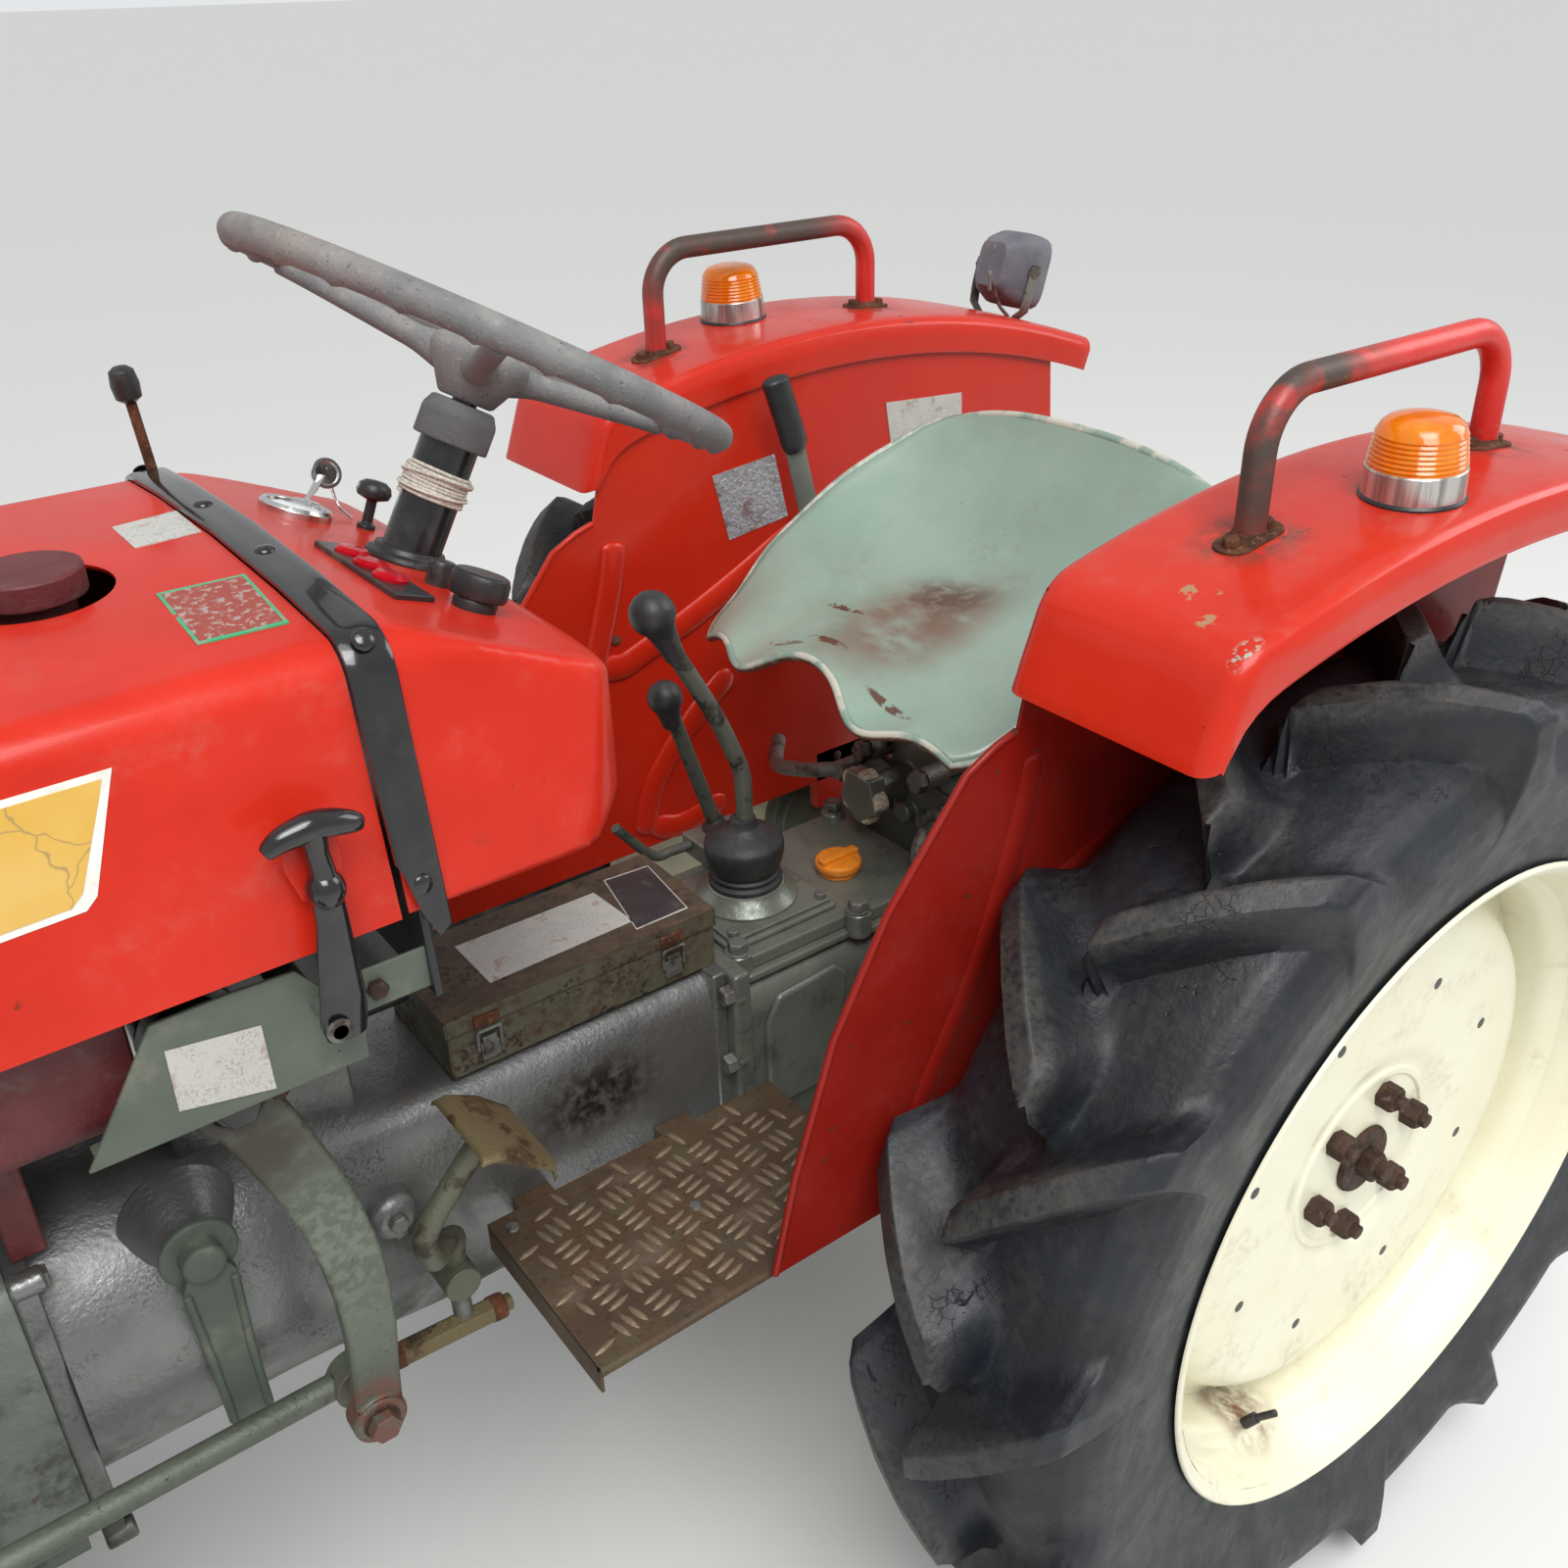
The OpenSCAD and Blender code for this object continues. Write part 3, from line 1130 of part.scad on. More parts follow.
module pedals() {
  color([0.25, 0.22, 0.20]) place() {
    for (side = [-1, 1]) on_side(side) {
      round_y(housing_half_w, 146, pedal_x, pedal_z, 15);
    }
    pedal_arm(134, 192, 12);
    pedal_pad(200, 90);
    on_side(-1) {
      pedal_arm(110, 176, 4);
      pedal_arm(138, 226, 4);
      pedal_pad(176, 46);
      pedal_pad(228, 46);
    }
    // Lever below the pedal, the rod with its turnbuckle, and the release lever
    bar([pedal_x, 134, pedal_z], [pedal_x, 138, 548], 8);
    bar([pedal_x - 4, 140, 548], [922, 140, 558], 6);
    bar([800, 140, 551.1], [860, 140, 554.5], 10);
    plate_xz([[902, 738], [934, 738], [926, 552], [910, 552]], 134 + seat_gap, 144);
    round_y(134 + seat_gap, 150, 918, 735, 19);
  }
}

// Gear lever in its boot, range lever, bare rod and the hydraulic lever by the right fender
module levers() {
  color([0.08, 0.08, 0.08]) place() {
    translate([shift_x, 0, cover_z + 26 + seat_gap]) cylinder(r = 30, h = 16);
    translate([shift_x, 0, cover_z + 26 + seat_gap + 33]) sphere(r = 33);
    bent_bar([[358, 0, 795], [358, 0, 874], [430, -15, 1020]], 8);
    translate([432, -15, 1030]) sphere(r = 20);
    translate([325, -100, cover_z + 22 + seat_gap]) cylinder(r = 12, h = 7);
    bar([325, -100, cover_z + 26], [372, -100, 898], 8);
    translate([374, -100, 904]) sphere(r = 17);
    bent_bar([[357 + seat_gap, -100, cover_z + 15], [401, -100, cover_z + 19],
      [439, -100, cover_z + 65]], 5);
    // Hydraulic lever
    round_y(-fender_y - fender_t + seat_gap, -250, 60, 825, 12);
    bent_bar([[60, -258, 820], [95, -258, 1010], [122, -252, 1116]], 7);
    translate([127, -250, 1133]) sphere(r = 17);
  }
}

// Toolbox on the clutch housing, with its lid hinged on the right
box_x = 450;
box_y0 = -35;
box_base = housing_top + seat_gap;
lid_h = 18;
box_split = box_base + box_h - lid_h;
box_hinge_y = box_y0 - 6;
box_hinge_z = box_split + 2;
module toolbox() {
  y1 = box_y0 + box_w;
  color([0.42, 0.30, 0.22]) place() {
    difference() {
      block(box_x, box_x + box_l, box_y0, y1, box_base, box_split);
      block(box_x + 2, box_x + box_l - 2, box_y0 + 2, y1 - 2, box_base + 2, box_split + 1);
    }
    // Hinge knuckles on the body, and the two catches in front
    for (x = [box_x + 40, box_x + box_l - 60]) {
      round_x(x, x + 20, box_hinge_y, box_hinge_z, 4, 24);
      block(x, x + 20, box_hinge_y, box_y0 + 1, box_hinge_z - 12, box_split);
    }
    for (x = [box_x + 46, box_x + box_l - 66]) block(x, x + 20, y1, y1 + 5, box_split - 22, box_split - 4);
  }
}

module toolbox_lid() {
  y1 = box_y0 + box_w;
  color([0.42, 0.30, 0.22]) place() {
    difference() {
      block(box_x - 2, box_x + box_l + 2, box_y0, y1 + 2, box_split + 0.5, box_split + lid_h);
      block(box_x, box_x + box_l, box_y0 + 2, y1, box_split - 1, box_split + lid_h - 2);
    }
    for (x = [box_x + 61, box_x + box_l - 82]) {
      round_x(x, x + 20, box_hinge_y, box_hinge_z, 4, 24);
      block(x, x + 20, box_hinge_y, box_y0 + 1, box_hinge_z, box_hinge_z + 4);
    }
  }
}

rear_tyre_left();
rear_tyre_right();
rear_rim_left();
rear_rim_right();
front_tyre_left();
front_tyre_right();
front_rim_left();
front_rim_right();
knuckle_left();
knuckle_right();
tie_rod();
drag_link();
drop_arm();
steering_wheel();
steering_column();
front_axle_beam();
front_frame();
engine();
fan_and_alternator();
air_cleaner();
muffler();
radiator();
battery();
fuel_tank();
clutch_housing();
gearbox_case();
gearbox_cover();
axle_housings();
lift_case();
hood_panel();
grille();
headlamps();
dash_cowl();
dash_controls();
side_bracket();
fender_left();
fender_right();
grab_rails();
lamps();
seat_pan();
seat_support();
footboards();
pedals();
levers();
toolbox();
toolbox_lid();
lift_arms();
lift_rods();
lower_link_left();
lower_link_right();
rear_hitch();
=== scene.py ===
import bmesh
import bpy
import json
from math import asin, copysign, cos, exp, pi, radians, sin, sqrt, tan
from mathutils import Matrix, Vector, noise

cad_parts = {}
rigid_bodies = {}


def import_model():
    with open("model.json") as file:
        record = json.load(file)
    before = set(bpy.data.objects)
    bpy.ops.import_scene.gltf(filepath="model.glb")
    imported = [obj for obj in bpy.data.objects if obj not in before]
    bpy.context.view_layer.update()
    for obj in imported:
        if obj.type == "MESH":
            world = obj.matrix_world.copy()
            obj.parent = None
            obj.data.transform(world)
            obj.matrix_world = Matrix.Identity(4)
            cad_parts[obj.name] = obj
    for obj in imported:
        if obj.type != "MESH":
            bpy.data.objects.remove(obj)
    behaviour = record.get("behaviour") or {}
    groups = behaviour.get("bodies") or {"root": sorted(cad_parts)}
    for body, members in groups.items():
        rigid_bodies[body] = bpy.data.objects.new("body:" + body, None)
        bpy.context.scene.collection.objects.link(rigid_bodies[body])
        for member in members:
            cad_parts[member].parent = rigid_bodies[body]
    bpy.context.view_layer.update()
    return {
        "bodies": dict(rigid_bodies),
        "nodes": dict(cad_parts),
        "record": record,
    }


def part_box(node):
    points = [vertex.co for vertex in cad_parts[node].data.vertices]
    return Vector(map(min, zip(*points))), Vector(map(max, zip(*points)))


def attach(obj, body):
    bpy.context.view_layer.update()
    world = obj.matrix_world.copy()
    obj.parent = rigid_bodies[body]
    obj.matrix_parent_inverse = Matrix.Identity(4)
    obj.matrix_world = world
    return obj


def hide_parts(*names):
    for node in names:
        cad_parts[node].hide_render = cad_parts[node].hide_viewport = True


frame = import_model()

scene = bpy.context.scene

# Lengths below are millimetres, x forward from the rear axle, y left, z above the ground.
# The model's own origin lies this far ahead of the rear axle, which its wheels' boxes give.
REAR_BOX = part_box("rear_rim_left")
MID = -500.0 * (REAR_BOX[0].x + REAR_BOX[1].x)
FORWARD, LEFTWARD, UPWARD = (1, 0, 0), (0, 1, 0), (0, 0, 1)


def place(x, y, z):
    """A place in millimetres as a point of the model."""
    return Vector(((x - MID) / 1000.0, y / 1000.0, z / 1000.0))


def body_of_node(node):
    """Name of the CAD body that carries a node."""
    carrier = frame["nodes"][node].parent
    return next(name for name, empty in frame["bodies"].items() if empty == carrier)


def new_object(name, data):
    """Object in the scene for a mesh, a camera or a lamp."""
    o = bpy.data.objects.new(name, data)
    scene.collection.objects.link(o)
    return o


def modify(o, name, kind, **settings):
    """Modifier on an object, with its settings."""
    m = o.modifiers.new(name, kind)
    for key, value in settings.items():
        setattr(m, key, value)


def carry(o, body, replaces=(), slot=None):
    """Lets an object ride on a body, in place of CAD nodes."""
    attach(o, body)
    if replaces:
        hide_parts(*replaces)
    return o


class Solids:
    """Simple solids gathered into one mesh, in millimetres, each with the current material."""

    def __init__(self):
        self.verts, self.faces, self.slots = [], [], []
        self.slot = 0
        self.frame = Matrix.Identity(4)

    def add(self, verts, faces):
        """Faces between new points, turned round where the frame mirrors them."""
        first = len(self.verts)
        flip = self.frame.determinant() < 0
        self.verts += [self.frame @ Vector(v) for v in verts]
        for face in faces:
            ids = [first + i for i in face]
            self.faces.append(ids[::-1] if flip else ids)
            self.slots.append(self.slot)
        return self

    def box(self, x0, x1, y0, y1, z0, z1):
        """Block between two places on each axis."""
        v = [(x, y, z) for x in (x0, x1) for y in (y0, y1) for z in (z0, z1)]
        return self.add(v, [(0, 1, 3, 2), (4, 6, 7, 5), (0, 4, 5, 1),
                            (2, 3, 7, 6), (0, 2, 6, 4), (1, 5, 7, 3)])

    def loft(self, rings, caps=True, closed=True):
        """Skin over rings of points, each with the same number."""
        n = len(rings[0])
        faces = []
        for i in range(len(rings) - 1):
            for j in range(n if closed else n - 1):
                k = (j + 1) % n
                faces.append((i * n + j, i * n + k, (i + 1) * n + k, (i + 1) * n + j))
        if caps:
            faces.append(tuple(range(n))[::-1])
            faces.append(tuple((len(rings) - 1) * n + j for j in range(n)))
        return self.add([p for ring in rings for p in ring], faces)

    def prism(self, outline, a, b, plane="xz"):
        """Outline in one plane, between two places along the third direction."""
        put = {"xz": lambda p, t: (p[0], t, p[1]), "xy": lambda p, t: (p[0], p[1], t)}[plane]
        area = sum(p[0] * q[1] - q[0] * p[1] for p, q in zip(outline, outline[1:] + outline[:1]))
        line = outline if (area > 0) != (plane == "xz") else outline[::-1]
        return self.loft([[put(p, t) for p in line] for t in (a, b)])

    def lathe(self, profile, at, axis, turns=48, phase=0.0):
        """Profile of (radius, height) round an axis from a point."""
        axis = Vector(axis).normalized()
        side = axis.orthogonal().normalized()
        if abs(axis.y) > 0.9:
            side = Vector(FORWARD)
        other = axis.cross(side)
        rings = []
        for r, h in profile:
            rings.append([Vector(at) + axis * h + (side * cos(a) + other * sin(a)) * max(r, 0.01)
                          for a in (phase + 2 * pi * i / turns for i in range(turns))])
        return self.loft(rings, caps=profile[0] != profile[-1])

    def rod(self, a, b, r, turns=24):
        """Round bar between two points."""
        d = Vector(b) - Vector(a)
        return self.lathe([(r, 0), (r, d.length)], a, d, turns)

    def hexagon(self, at, axis, across, height, phase=0.0):
        """Bolt head or nut, with its corners broken."""
        r = across / sqrt(3)
        return self.lathe([(r, 0), (r, height * 0.8), (r * 0.86, height)], at, axis, 6, phase)

    def dome(self, at, axis, r, height):
        """Rivet or button head."""
        steps = [i * pi / 10 for i in range(6)]
        return self.lathe([(r * cos(a), height * sin(a)) for a in steps], at, axis, 20)

    def ball(self, at, r):
        steps = [pi * (i / 16 - 0.5) for i in range(17)]
        return self.lathe([(r * cos(a), r * sin(a)) for a in steps], at, UPWARD, 32)

    def tube(self, path, r, turns=16, flat=1.0, flat_axis=None, caps=True):
        """Round or flattened bar along a path; r is one radius or one at each point."""
        pts = [Vector(p) for p in path]
        radii = r if isinstance(r, (list, tuple)) else [r] * len(pts)
        rings, up = [], None
        for i, p in enumerate(pts):
            ahead = (pts[min(i + 1, len(pts) - 1)] - pts[max(i - 1, 0)]).normalized()
            if flat_axis is not None:
                side = Vector(flat_axis)
                side = (side - ahead * side.dot(ahead)).normalized()
            elif up is None:
                side = ahead.orthogonal().normalized()
            else:
                side = (up - ahead * up.dot(ahead)).normalized()
            up = side
            other = ahead.cross(side)
            rings.append([p + (side * cos(a) * flat + other * sin(a)) * radii[i]
                          for a in (2 * pi * j / turns for j in range(turns))])
        return self.loft(rings, caps)

    def object(self, name, materials, body="tractor", replaces=(), sharp=38, bevel=0.8, steps=2, slot=None):
        """The solids as one object of the scene, which rides on a body."""
        me = bpy.data.meshes.new(name)
        me.from_pydata([place(*v) for v in self.verts], [], self.faces)
        for material in materials:
            me.materials.append(material)
        for poly, index in zip(me.polygons, self.slots):
            poly.material_index = index
        return finish_mesh(name, me, body, replaces, sharp, bevel, steps, slot)


def finish_mesh(name, me, body, replaces=(), sharp=38, bevel=0.8, steps=2, slot=None):
    """Object of a mesh with its edges broken, which rides on a body."""
    bm = bmesh.new()
    bm.from_mesh(me)
    bmesh.ops.recalc_face_normals(bm, faces=bm.faces)
    bm.to_mesh(me)
    bm.free()
    me.shade_smooth()
    me.set_sharp_from_angle(angle=radians(sharp))
    o = new_object(name, me)
    if bevel:
        modify(o, "edges", "BEVEL", width=bevel / 1000.0, segments=steps, limit_method="ANGLE",
               angle_limit=radians(sharp), use_clamp_overlap=False)
        modify(o, "normals", "WEIGHTED_NORMAL", keep_sharp=True)
    return carry(o, body, replaces, slot)


def smooth(a, b, c, d, t):
    """Value between b and c on a smooth curve through four values."""
    return 0.5 * (2 * b + (c - a) * t + (2 * a - 5 * b + 4 * c - d) * t * t
                  + (3 * b - a - 3 * c + d) * t ** 3)


def spline(points, steps=8):
    """Smooth line through points."""
    pts = [Vector(p) for p in points]
    pts = [2 * pts[0] - pts[1]] + pts + [2 * pts[-1] - pts[-2]]
    line = []
    for i in range(1, len(pts) - 2):
        line += [smooth(*pts[i - 1:i + 3], j / steps) for j in range(steps)]
    return line + [pts[-2]]


def arc(cx, cy, r, a0, a1, n):
    """Points of an arc from one angle to another, in degrees."""
    return [(cx + r * cos(radians(a0 + (a1 - a0) * i / n)),
             cy + r * sin(radians(a0 + (a1 - a0) * i / n))) for i in range(n + 1)]


def blend(value, low, high):
    """Smooth step of a value from 0 at low to 1 at high."""
    t = min(1.0, max(0.0, (value - low) / (high - low)))
    return t * t * (3 - 2 * t)


# Materials


def rgba(colour):
    """A socket as it is, or a colour with its alpha."""
    return colour if isinstance(colour, bpy.types.NodeSocket) else (*colour, 1.0)


class Nodes:
    """Short calls for a material's nodes. Values are sockets or plain numbers."""

    def __init__(self, name):
        self.material = bpy.data.materials.new(name)
        self.material.use_nodes = True
        self.tree = self.material.node_tree
        self.shader = self.tree.nodes["Principled BSDF"]
        self.object = self.node("ShaderNodeTexCoord").outputs["Object"]
        self.geometry = self.node("ShaderNodeNewGeometry")

    def node(self, kind, **inputs):
        """New node with some of its inputs set by their names."""
        n = self.tree.nodes.new(kind)
        for key, value in inputs.items():
            self.put(n.inputs[key], value)
        return n

    def put(self, socket, value):
        """Links a socket to another, or gives it a plain value."""
        if isinstance(value, bpy.types.NodeSocket):
            self.tree.links.new(value, socket)
        else:
            socket.default_value = value

    def math(self, operation, a, b=0.0, clamp=False):
        n = self.tree.nodes.new("ShaderNodeMath")
        n.operation = operation
        n.use_clamp = clamp
        self.put(n.inputs[0], a)
        self.put(n.inputs[1], b)
        return n.outputs[0]

    def step(self, value, low, high):
        """0 below low and 1 above high, or the other way round."""
        n = self.tree.nodes.new("ShaderNodeMapRange")
        n.interpolation_type = "SMOOTHSTEP"
        flip = low > high
        self.put(n.inputs[0], value)
        n.inputs[1].default_value = min(low, high)
        n.inputs[2].default_value = max(low, high)
        n.inputs[3].default_value = 1.0 if flip else 0.0
        n.inputs[4].default_value = 0.0 if flip else 1.0
        return n.outputs[0]

    def noise(self, size, low=0.4, high=0.6, detail=6.0, stretch=(1, 1, 1), rough=0.6):
        """Patches of a size in millimetres."""
        mapping = self.tree.nodes.new("ShaderNodeMapping")
        self.put(mapping.inputs[0], self.object)
        mapping.inputs["Scale"].default_value = [1.0 / s for s in stretch]
        n = self.node("ShaderNodeTexNoise", Vector=mapping.outputs[0], Scale=1000.0 / size, Detail=detail,
                      Roughness=rough)
        return self.step(n.outputs[0], low, high)

    def cracks(self, size, width):
        """Thin lines between cells of a size in millimetres."""
        n = self.tree.nodes.new("ShaderNodeTexVoronoi")
        n.feature = "DISTANCE_TO_EDGE"
        wobble = self.node("ShaderNodeTexNoise", Vector=self.object, Scale=1500.0 / size, Detail=3.0)
        mix = self.tree.nodes.new("ShaderNodeVectorMath")
        mix.operation = "MULTIPLY_ADD"
        self.put(mix.inputs[0], wobble.outputs[1])
        mix.inputs[1].default_value = (0.6 * size / 1000,) * 3
        self.put(mix.inputs[2], self.object)
        self.put(n.inputs["Vector"], mix.outputs[0])
        n.inputs["Scale"].default_value = 1000.0 / size
        return self.step(n.outputs[0], width, 0.0)

    def axis(self, name):
        """One coordinate of the point in the model."""
        split = self.node("ShaderNodeSeparateXYZ", Vector=self.object)
        return split.outputs["XYZ".index(name.upper())]

    def along_x(self, low, high):
        """0 behind the first place and 1 ahead of the second, in millimetres."""
        return self.step(self.axis("x"), (low - MID) / 1000, (high - MID) / 1000)

    def facing(self, low, high):
        """Where the surface faces up."""
        split = self.node("ShaderNodeSeparateXYZ", Vector=self.geometry.outputs["Normal"])
        return self.step(split.outputs["Z"], low, high)

    def near(self, at, inner, outer, scale=(1, 1, 1)):
        """1 within inner millimetres of a place, falling to 0 at outer."""
        m = self.tree.nodes.new("ShaderNodeVectorMath")
        m.operation = "SUBTRACT"
        self.put(m.inputs[0], self.object)
        m.inputs[1].default_value = place(*at)
        k = self.tree.nodes.new("ShaderNodeVectorMath")
        k.operation = "MULTIPLY"
        self.put(k.inputs[0], m.outputs[0])
        k.inputs[1].default_value = [1.0 / s for s in scale]
        d = self.tree.nodes.new("ShaderNodeVectorMath")
        d.operation = "LENGTH"
        self.put(d.inputs[0], k.outputs[0])
        return self.step(d.outputs["Value"], outer / 1000.0, inner / 1000.0)

    def both(self, *masks):
        """Where all of the masks are."""
        out = masks[0]
        for m in masks[1:]:
            out = self.math("MULTIPLY", out, m, clamp=True)
        return out

    def either(self, *masks):
        """Where any of the masks is."""
        out = masks[0]
        for m in masks[1:]:
            out = self.math("MAXIMUM", out, m, clamp=True)
        return out

    def colour(self, mask, under, over):
        """One colour laid over another by a mask."""
        n = self.tree.nodes.new("ShaderNodeMix")
        n.data_type = "RGBA"
        self.put(n.inputs["Factor"], mask)
        self.put(n.inputs[6], rgba(under))
        self.put(n.inputs[7], rgba(over))
        return n.outputs[2]

    def value(self, mask, under, over):
        """One number laid over another by a mask."""
        n = self.tree.nodes.new("ShaderNodeMix")
        self.put(n.inputs["Factor"], mask)
        self.put(n.inputs[2], under)
        self.put(n.inputs[3], over)
        return n.outputs[0]

    def bump(self, height, depth, strength=1.0):
        """Relief of a height map, its depth in millimetres."""
        n = self.node("ShaderNodeBump", Height=height, Strength=strength, Distance=depth / 1000.0)
        last = self.shader.inputs["Normal"]
        if last.is_linked:
            self.put(n.inputs["Normal"], last.links[0].from_socket)
        self.tree.links.new(n.outputs[0], last)

    def done(self, colour, rough, metal=0.0, **sockets):
        """The material, with its shader's inputs set."""
        s = self.shader
        self.put(s.inputs["Base Color"], rgba(colour))
        self.put(s.inputs["Roughness"], rough)
        self.put(s.inputs["Metallic"], metal)
        for key, value in sockets.items():
            s.inputs[key.replace("_", " ")].default_value = value
        return self.material


RUST = (0.13, 0.045, 0.018)
DARK_RUST = (0.055, 0.024, 0.013)
DUST = (0.30, 0.26, 0.20)
RED = (0.50, 0.017, 0.005)
CREAM = (0.78, 0.74, 0.55)
SILVER = (0.20, 0.21, 0.20)
GREEN_GREY = (0.072, 0.090, 0.070)


def painted(name, base, rough=0.35, fade=0.25, dust=0.25, chips=0.5, rust=0.3, orange=0.15, coat=0.3,
            ior=1.45):
    """Old enamel: faded and dusty in patches, with chips that show dark rust."""
    n = Nodes(name)
    pale = tuple(min(1.0, c * 1.14 + 0.004) for c in base)
    dark = tuple(c * 0.72 for c in base)
    colour = n.colour(n.noise(180, 0.35, 0.65), base, pale)
    colour = n.colour(n.both(n.noise(60, 0.45, 0.7), fade), colour, dark)
    grime = n.both(n.noise(45, 0.5, 0.72, 9.0), n.noise(9, 0.3, 0.7), dust)
    colour = n.colour(grime, colour, DUST)
    chip_edge = 0.765 - 0.09 * chips
    chip = n.both(n.noise(14, chip_edge, chip_edge + 0.015, 5.0), n.noise(120, 0.40, 0.55))
    colour = n.colour(chip, colour, DARK_RUST)
    stain = n.both(n.noise(34, 0.72 - 0.2 * rust, 0.86 - 0.2 * rust, 10.0), n.noise(7, 0.35, 0.6),
                   min(1.0, rust * 2))
    colour = n.colour(stain, colour, RUST)
    roughness = n.value(n.either(grime, chip, stain),
                        n.value(n.noise(90, 0.3, 0.7), rough, rough + 0.12), 0.75)
    n.bump(n.math("SUBTRACT", n.noise(3.5, 0.3, 0.7, 2.0), n.math("MULTIPLY", chip, 6.0)), 0.05 * orange * 6)
    return n.done(colour, roughness, Coat_Weight=coat, Coat_Roughness=0.12, IOR=ior)


def rusty(name, base=RUST, paint=None, cover=0.5, rough=0.75, metal=0.3):
    """Rusty steel, with what is left of its paint over part of it."""
    n = Nodes(name)
    colour = n.colour(n.noise(16, 0.35, 0.65, 10.0), base, tuple(c * 0.4 for c in base))
    colour = n.colour(n.noise(5, 0.55, 0.7, 8.0), colour, tuple(min(1.0, c * 1.8 + 0.02) for c in base))
    roughness = rough
    if paint:
        left = n.noise(40, 0.62 - 0.25 * cover, 0.68 - 0.25 * cover, 12.0)
        colour = n.colour(left, colour, paint)
        roughness = n.value(left, rough, 0.5)
    n.bump(n.noise(3, 0.3, 0.7, 8.0), 0.25)
    return n.done(colour, roughness, metal)


def cast(name, base, rough=0.42, metal=0.55, grime=0.5, grain=0.35):
    """Painted casting, rough from its mould, with oily dirt in patches, and darker in patches on faces that
    look down.
    """
    n = Nodes(name)
    colour = n.colour(n.noise(70, 0.35, 0.65), base, tuple(c * 1.25 for c in base))
    oil = n.both(n.noise(55, 0.48, 0.66, 10.0), n.noise(8, 0.3, 0.62), grime)
    colour = n.colour(oil, colour, (0.045, 0.038, 0.03))
    # Darker in patches on faces that look down
    below = n.both(n.facing(0.2, -0.7), n.noise(30, 0.3, 0.6), grime)
    colour = n.colour(below, colour, (0.05, 0.042, 0.033))
    spots = n.both(n.noise(22, 0.66, 0.72, 8.0), 0.8)
    colour = n.colour(spots, colour, (0.09, 0.06, 0.04))
    roughness = n.value(n.either(oil, below, spots), rough, 0.7)
    n.bump(n.noise(5.5, 0.25, 0.75, 4.0), grain)
    return n.done(colour, roughness, metal)


def rubber():
    """Tyre rubber: scuffed on the lugs, cracked in patches."""
    n = Nodes("tyre_rubber")
    base, blue, dusty = (0.007, 0.008, 0.010), (0.012, 0.015, 0.021), (0.05, 0.047, 0.043)
    colour = n.colour(n.noise(90, 0.35, 0.65), base, blue)
    worn = n.both(n.noise(40, 0.42, 0.62, 12.0), n.noise(9, 0.35, 0.65), 0.35)
    colour = n.colour(worn, colour, dusty)
    # Tops of the rear lugs: scuffed and grey, the hollows between them dark
    hollow = n.near((0, 0, 525), 500, 516, (1, 100, 1))
    beyond = n.near((1310, 0, 292), 300, 320, (1, 100, 1))
    tops = n.both(n.math("SUBTRACT", 1.0, n.either(hollow, beyond), clamp=True),
                  n.noise(30, 0.2, 0.6, 9.0), n.noise(6, 0.25, 0.6))
    colour = n.colour(tops, colour, (0.050, 0.047, 0.042))
    split = n.both(n.cracks(42, 0.03), n.noise(75, 0.62, 0.68))
    fine = n.both(n.cracks(9, 0.05), n.noise(60, 0.58, 0.66))
    colour = n.colour(n.either(split, n.both(fine, 0.6)), colour, (0.003, 0.003, 0.003))
    roughness = n.value(worn, n.value(n.noise(30, 0.35, 0.65), 0.42, 0.56), 0.8)
    n.bump(n.noise(7, 0.3, 0.7, 8.0), 0.25)
    n.bump(n.math("MULTIPLY", n.either(split, n.both(fine, 0.5)), -1.0), 1.2)
    return n.done(colour, roughness)


def plain(name, base, rough=0.5, metal=0.0, grime=0.3, grain=0.05, **sockets):
    """Plastic, chrome or other even finish, a little dirty."""
    n = Nodes(name)
    colour = n.colour(n.noise(25, 0.35, 0.65), base, tuple(min(1.0, c * 1.2 + 0.004) for c in base))
    dirt = n.both(n.noise(30, 0.5, 0.7, 9.0), n.noise(6, 0.3, 0.7), grime)
    colour = n.colour(dirt, colour, (0.16, 0.14, 0.11) if sum(base) < 1.2 else (0.25, 0.20, 0.13))
    n.bump(n.noise(4, 0.3, 0.7, 4.0), grain)
    return n.done(colour, n.value(dirt, rough, 0.75), metal, **sockets)


red = painted("red_paint", RED, rough=0.3, fade=0.2, dust=0.12, coat=0.2, ior=1.28)
cream = painted("cream_paint", CREAM, rough=0.38, fade=0.1, dust=0.35, chips=0.25, rust=0.12, orange=0.1)
silver = cast("silver_housing", SILVER)
green_grey = painted("green_grey_paint", GREEN_GREY, rough=0.5, dust=0.4, chips=0.9, rust=0.5, coat=0.0)
grey_casting = cast("grey_casting", (0.15, 0.17, 0.15), rough=0.5, metal=0.2, grime=0.7)
black_paint = painted("black_paint", (0.012, 0.012, 0.013), fade=0.1, dust=0.3, chips=0.4, rust=0.1)
black_plastic = plain("black_plastic", (0.014, 0.014, 0.015), 0.38)
black_gloss = plain("black_gloss", (0.008, 0.008, 0.009), 0.16, grime=0.1, grain=0.02, Coat_Weight=0.4)
grey_plastic = plain("grey_plastic", (0.12, 0.125, 0.13), 0.68, grain=0.25, grime=0.5)
worn_steel = rusty("worn_steel", (0.12, 0.10, 0.085), (0.19, 0.19, 0.17), cover=0.7, rough=0.5, metal=0.6)
rusty_steel = rusty("rusty_steel")
chrome = plain("chrome", (0.62, 0.62, 0.60), 0.18, metal=1.0, grime=0.35)
lamp_glass = plain("lamp_glass", (0.70, 0.73, 0.74), 0.12, grime=0.2)
tyre = rubber()
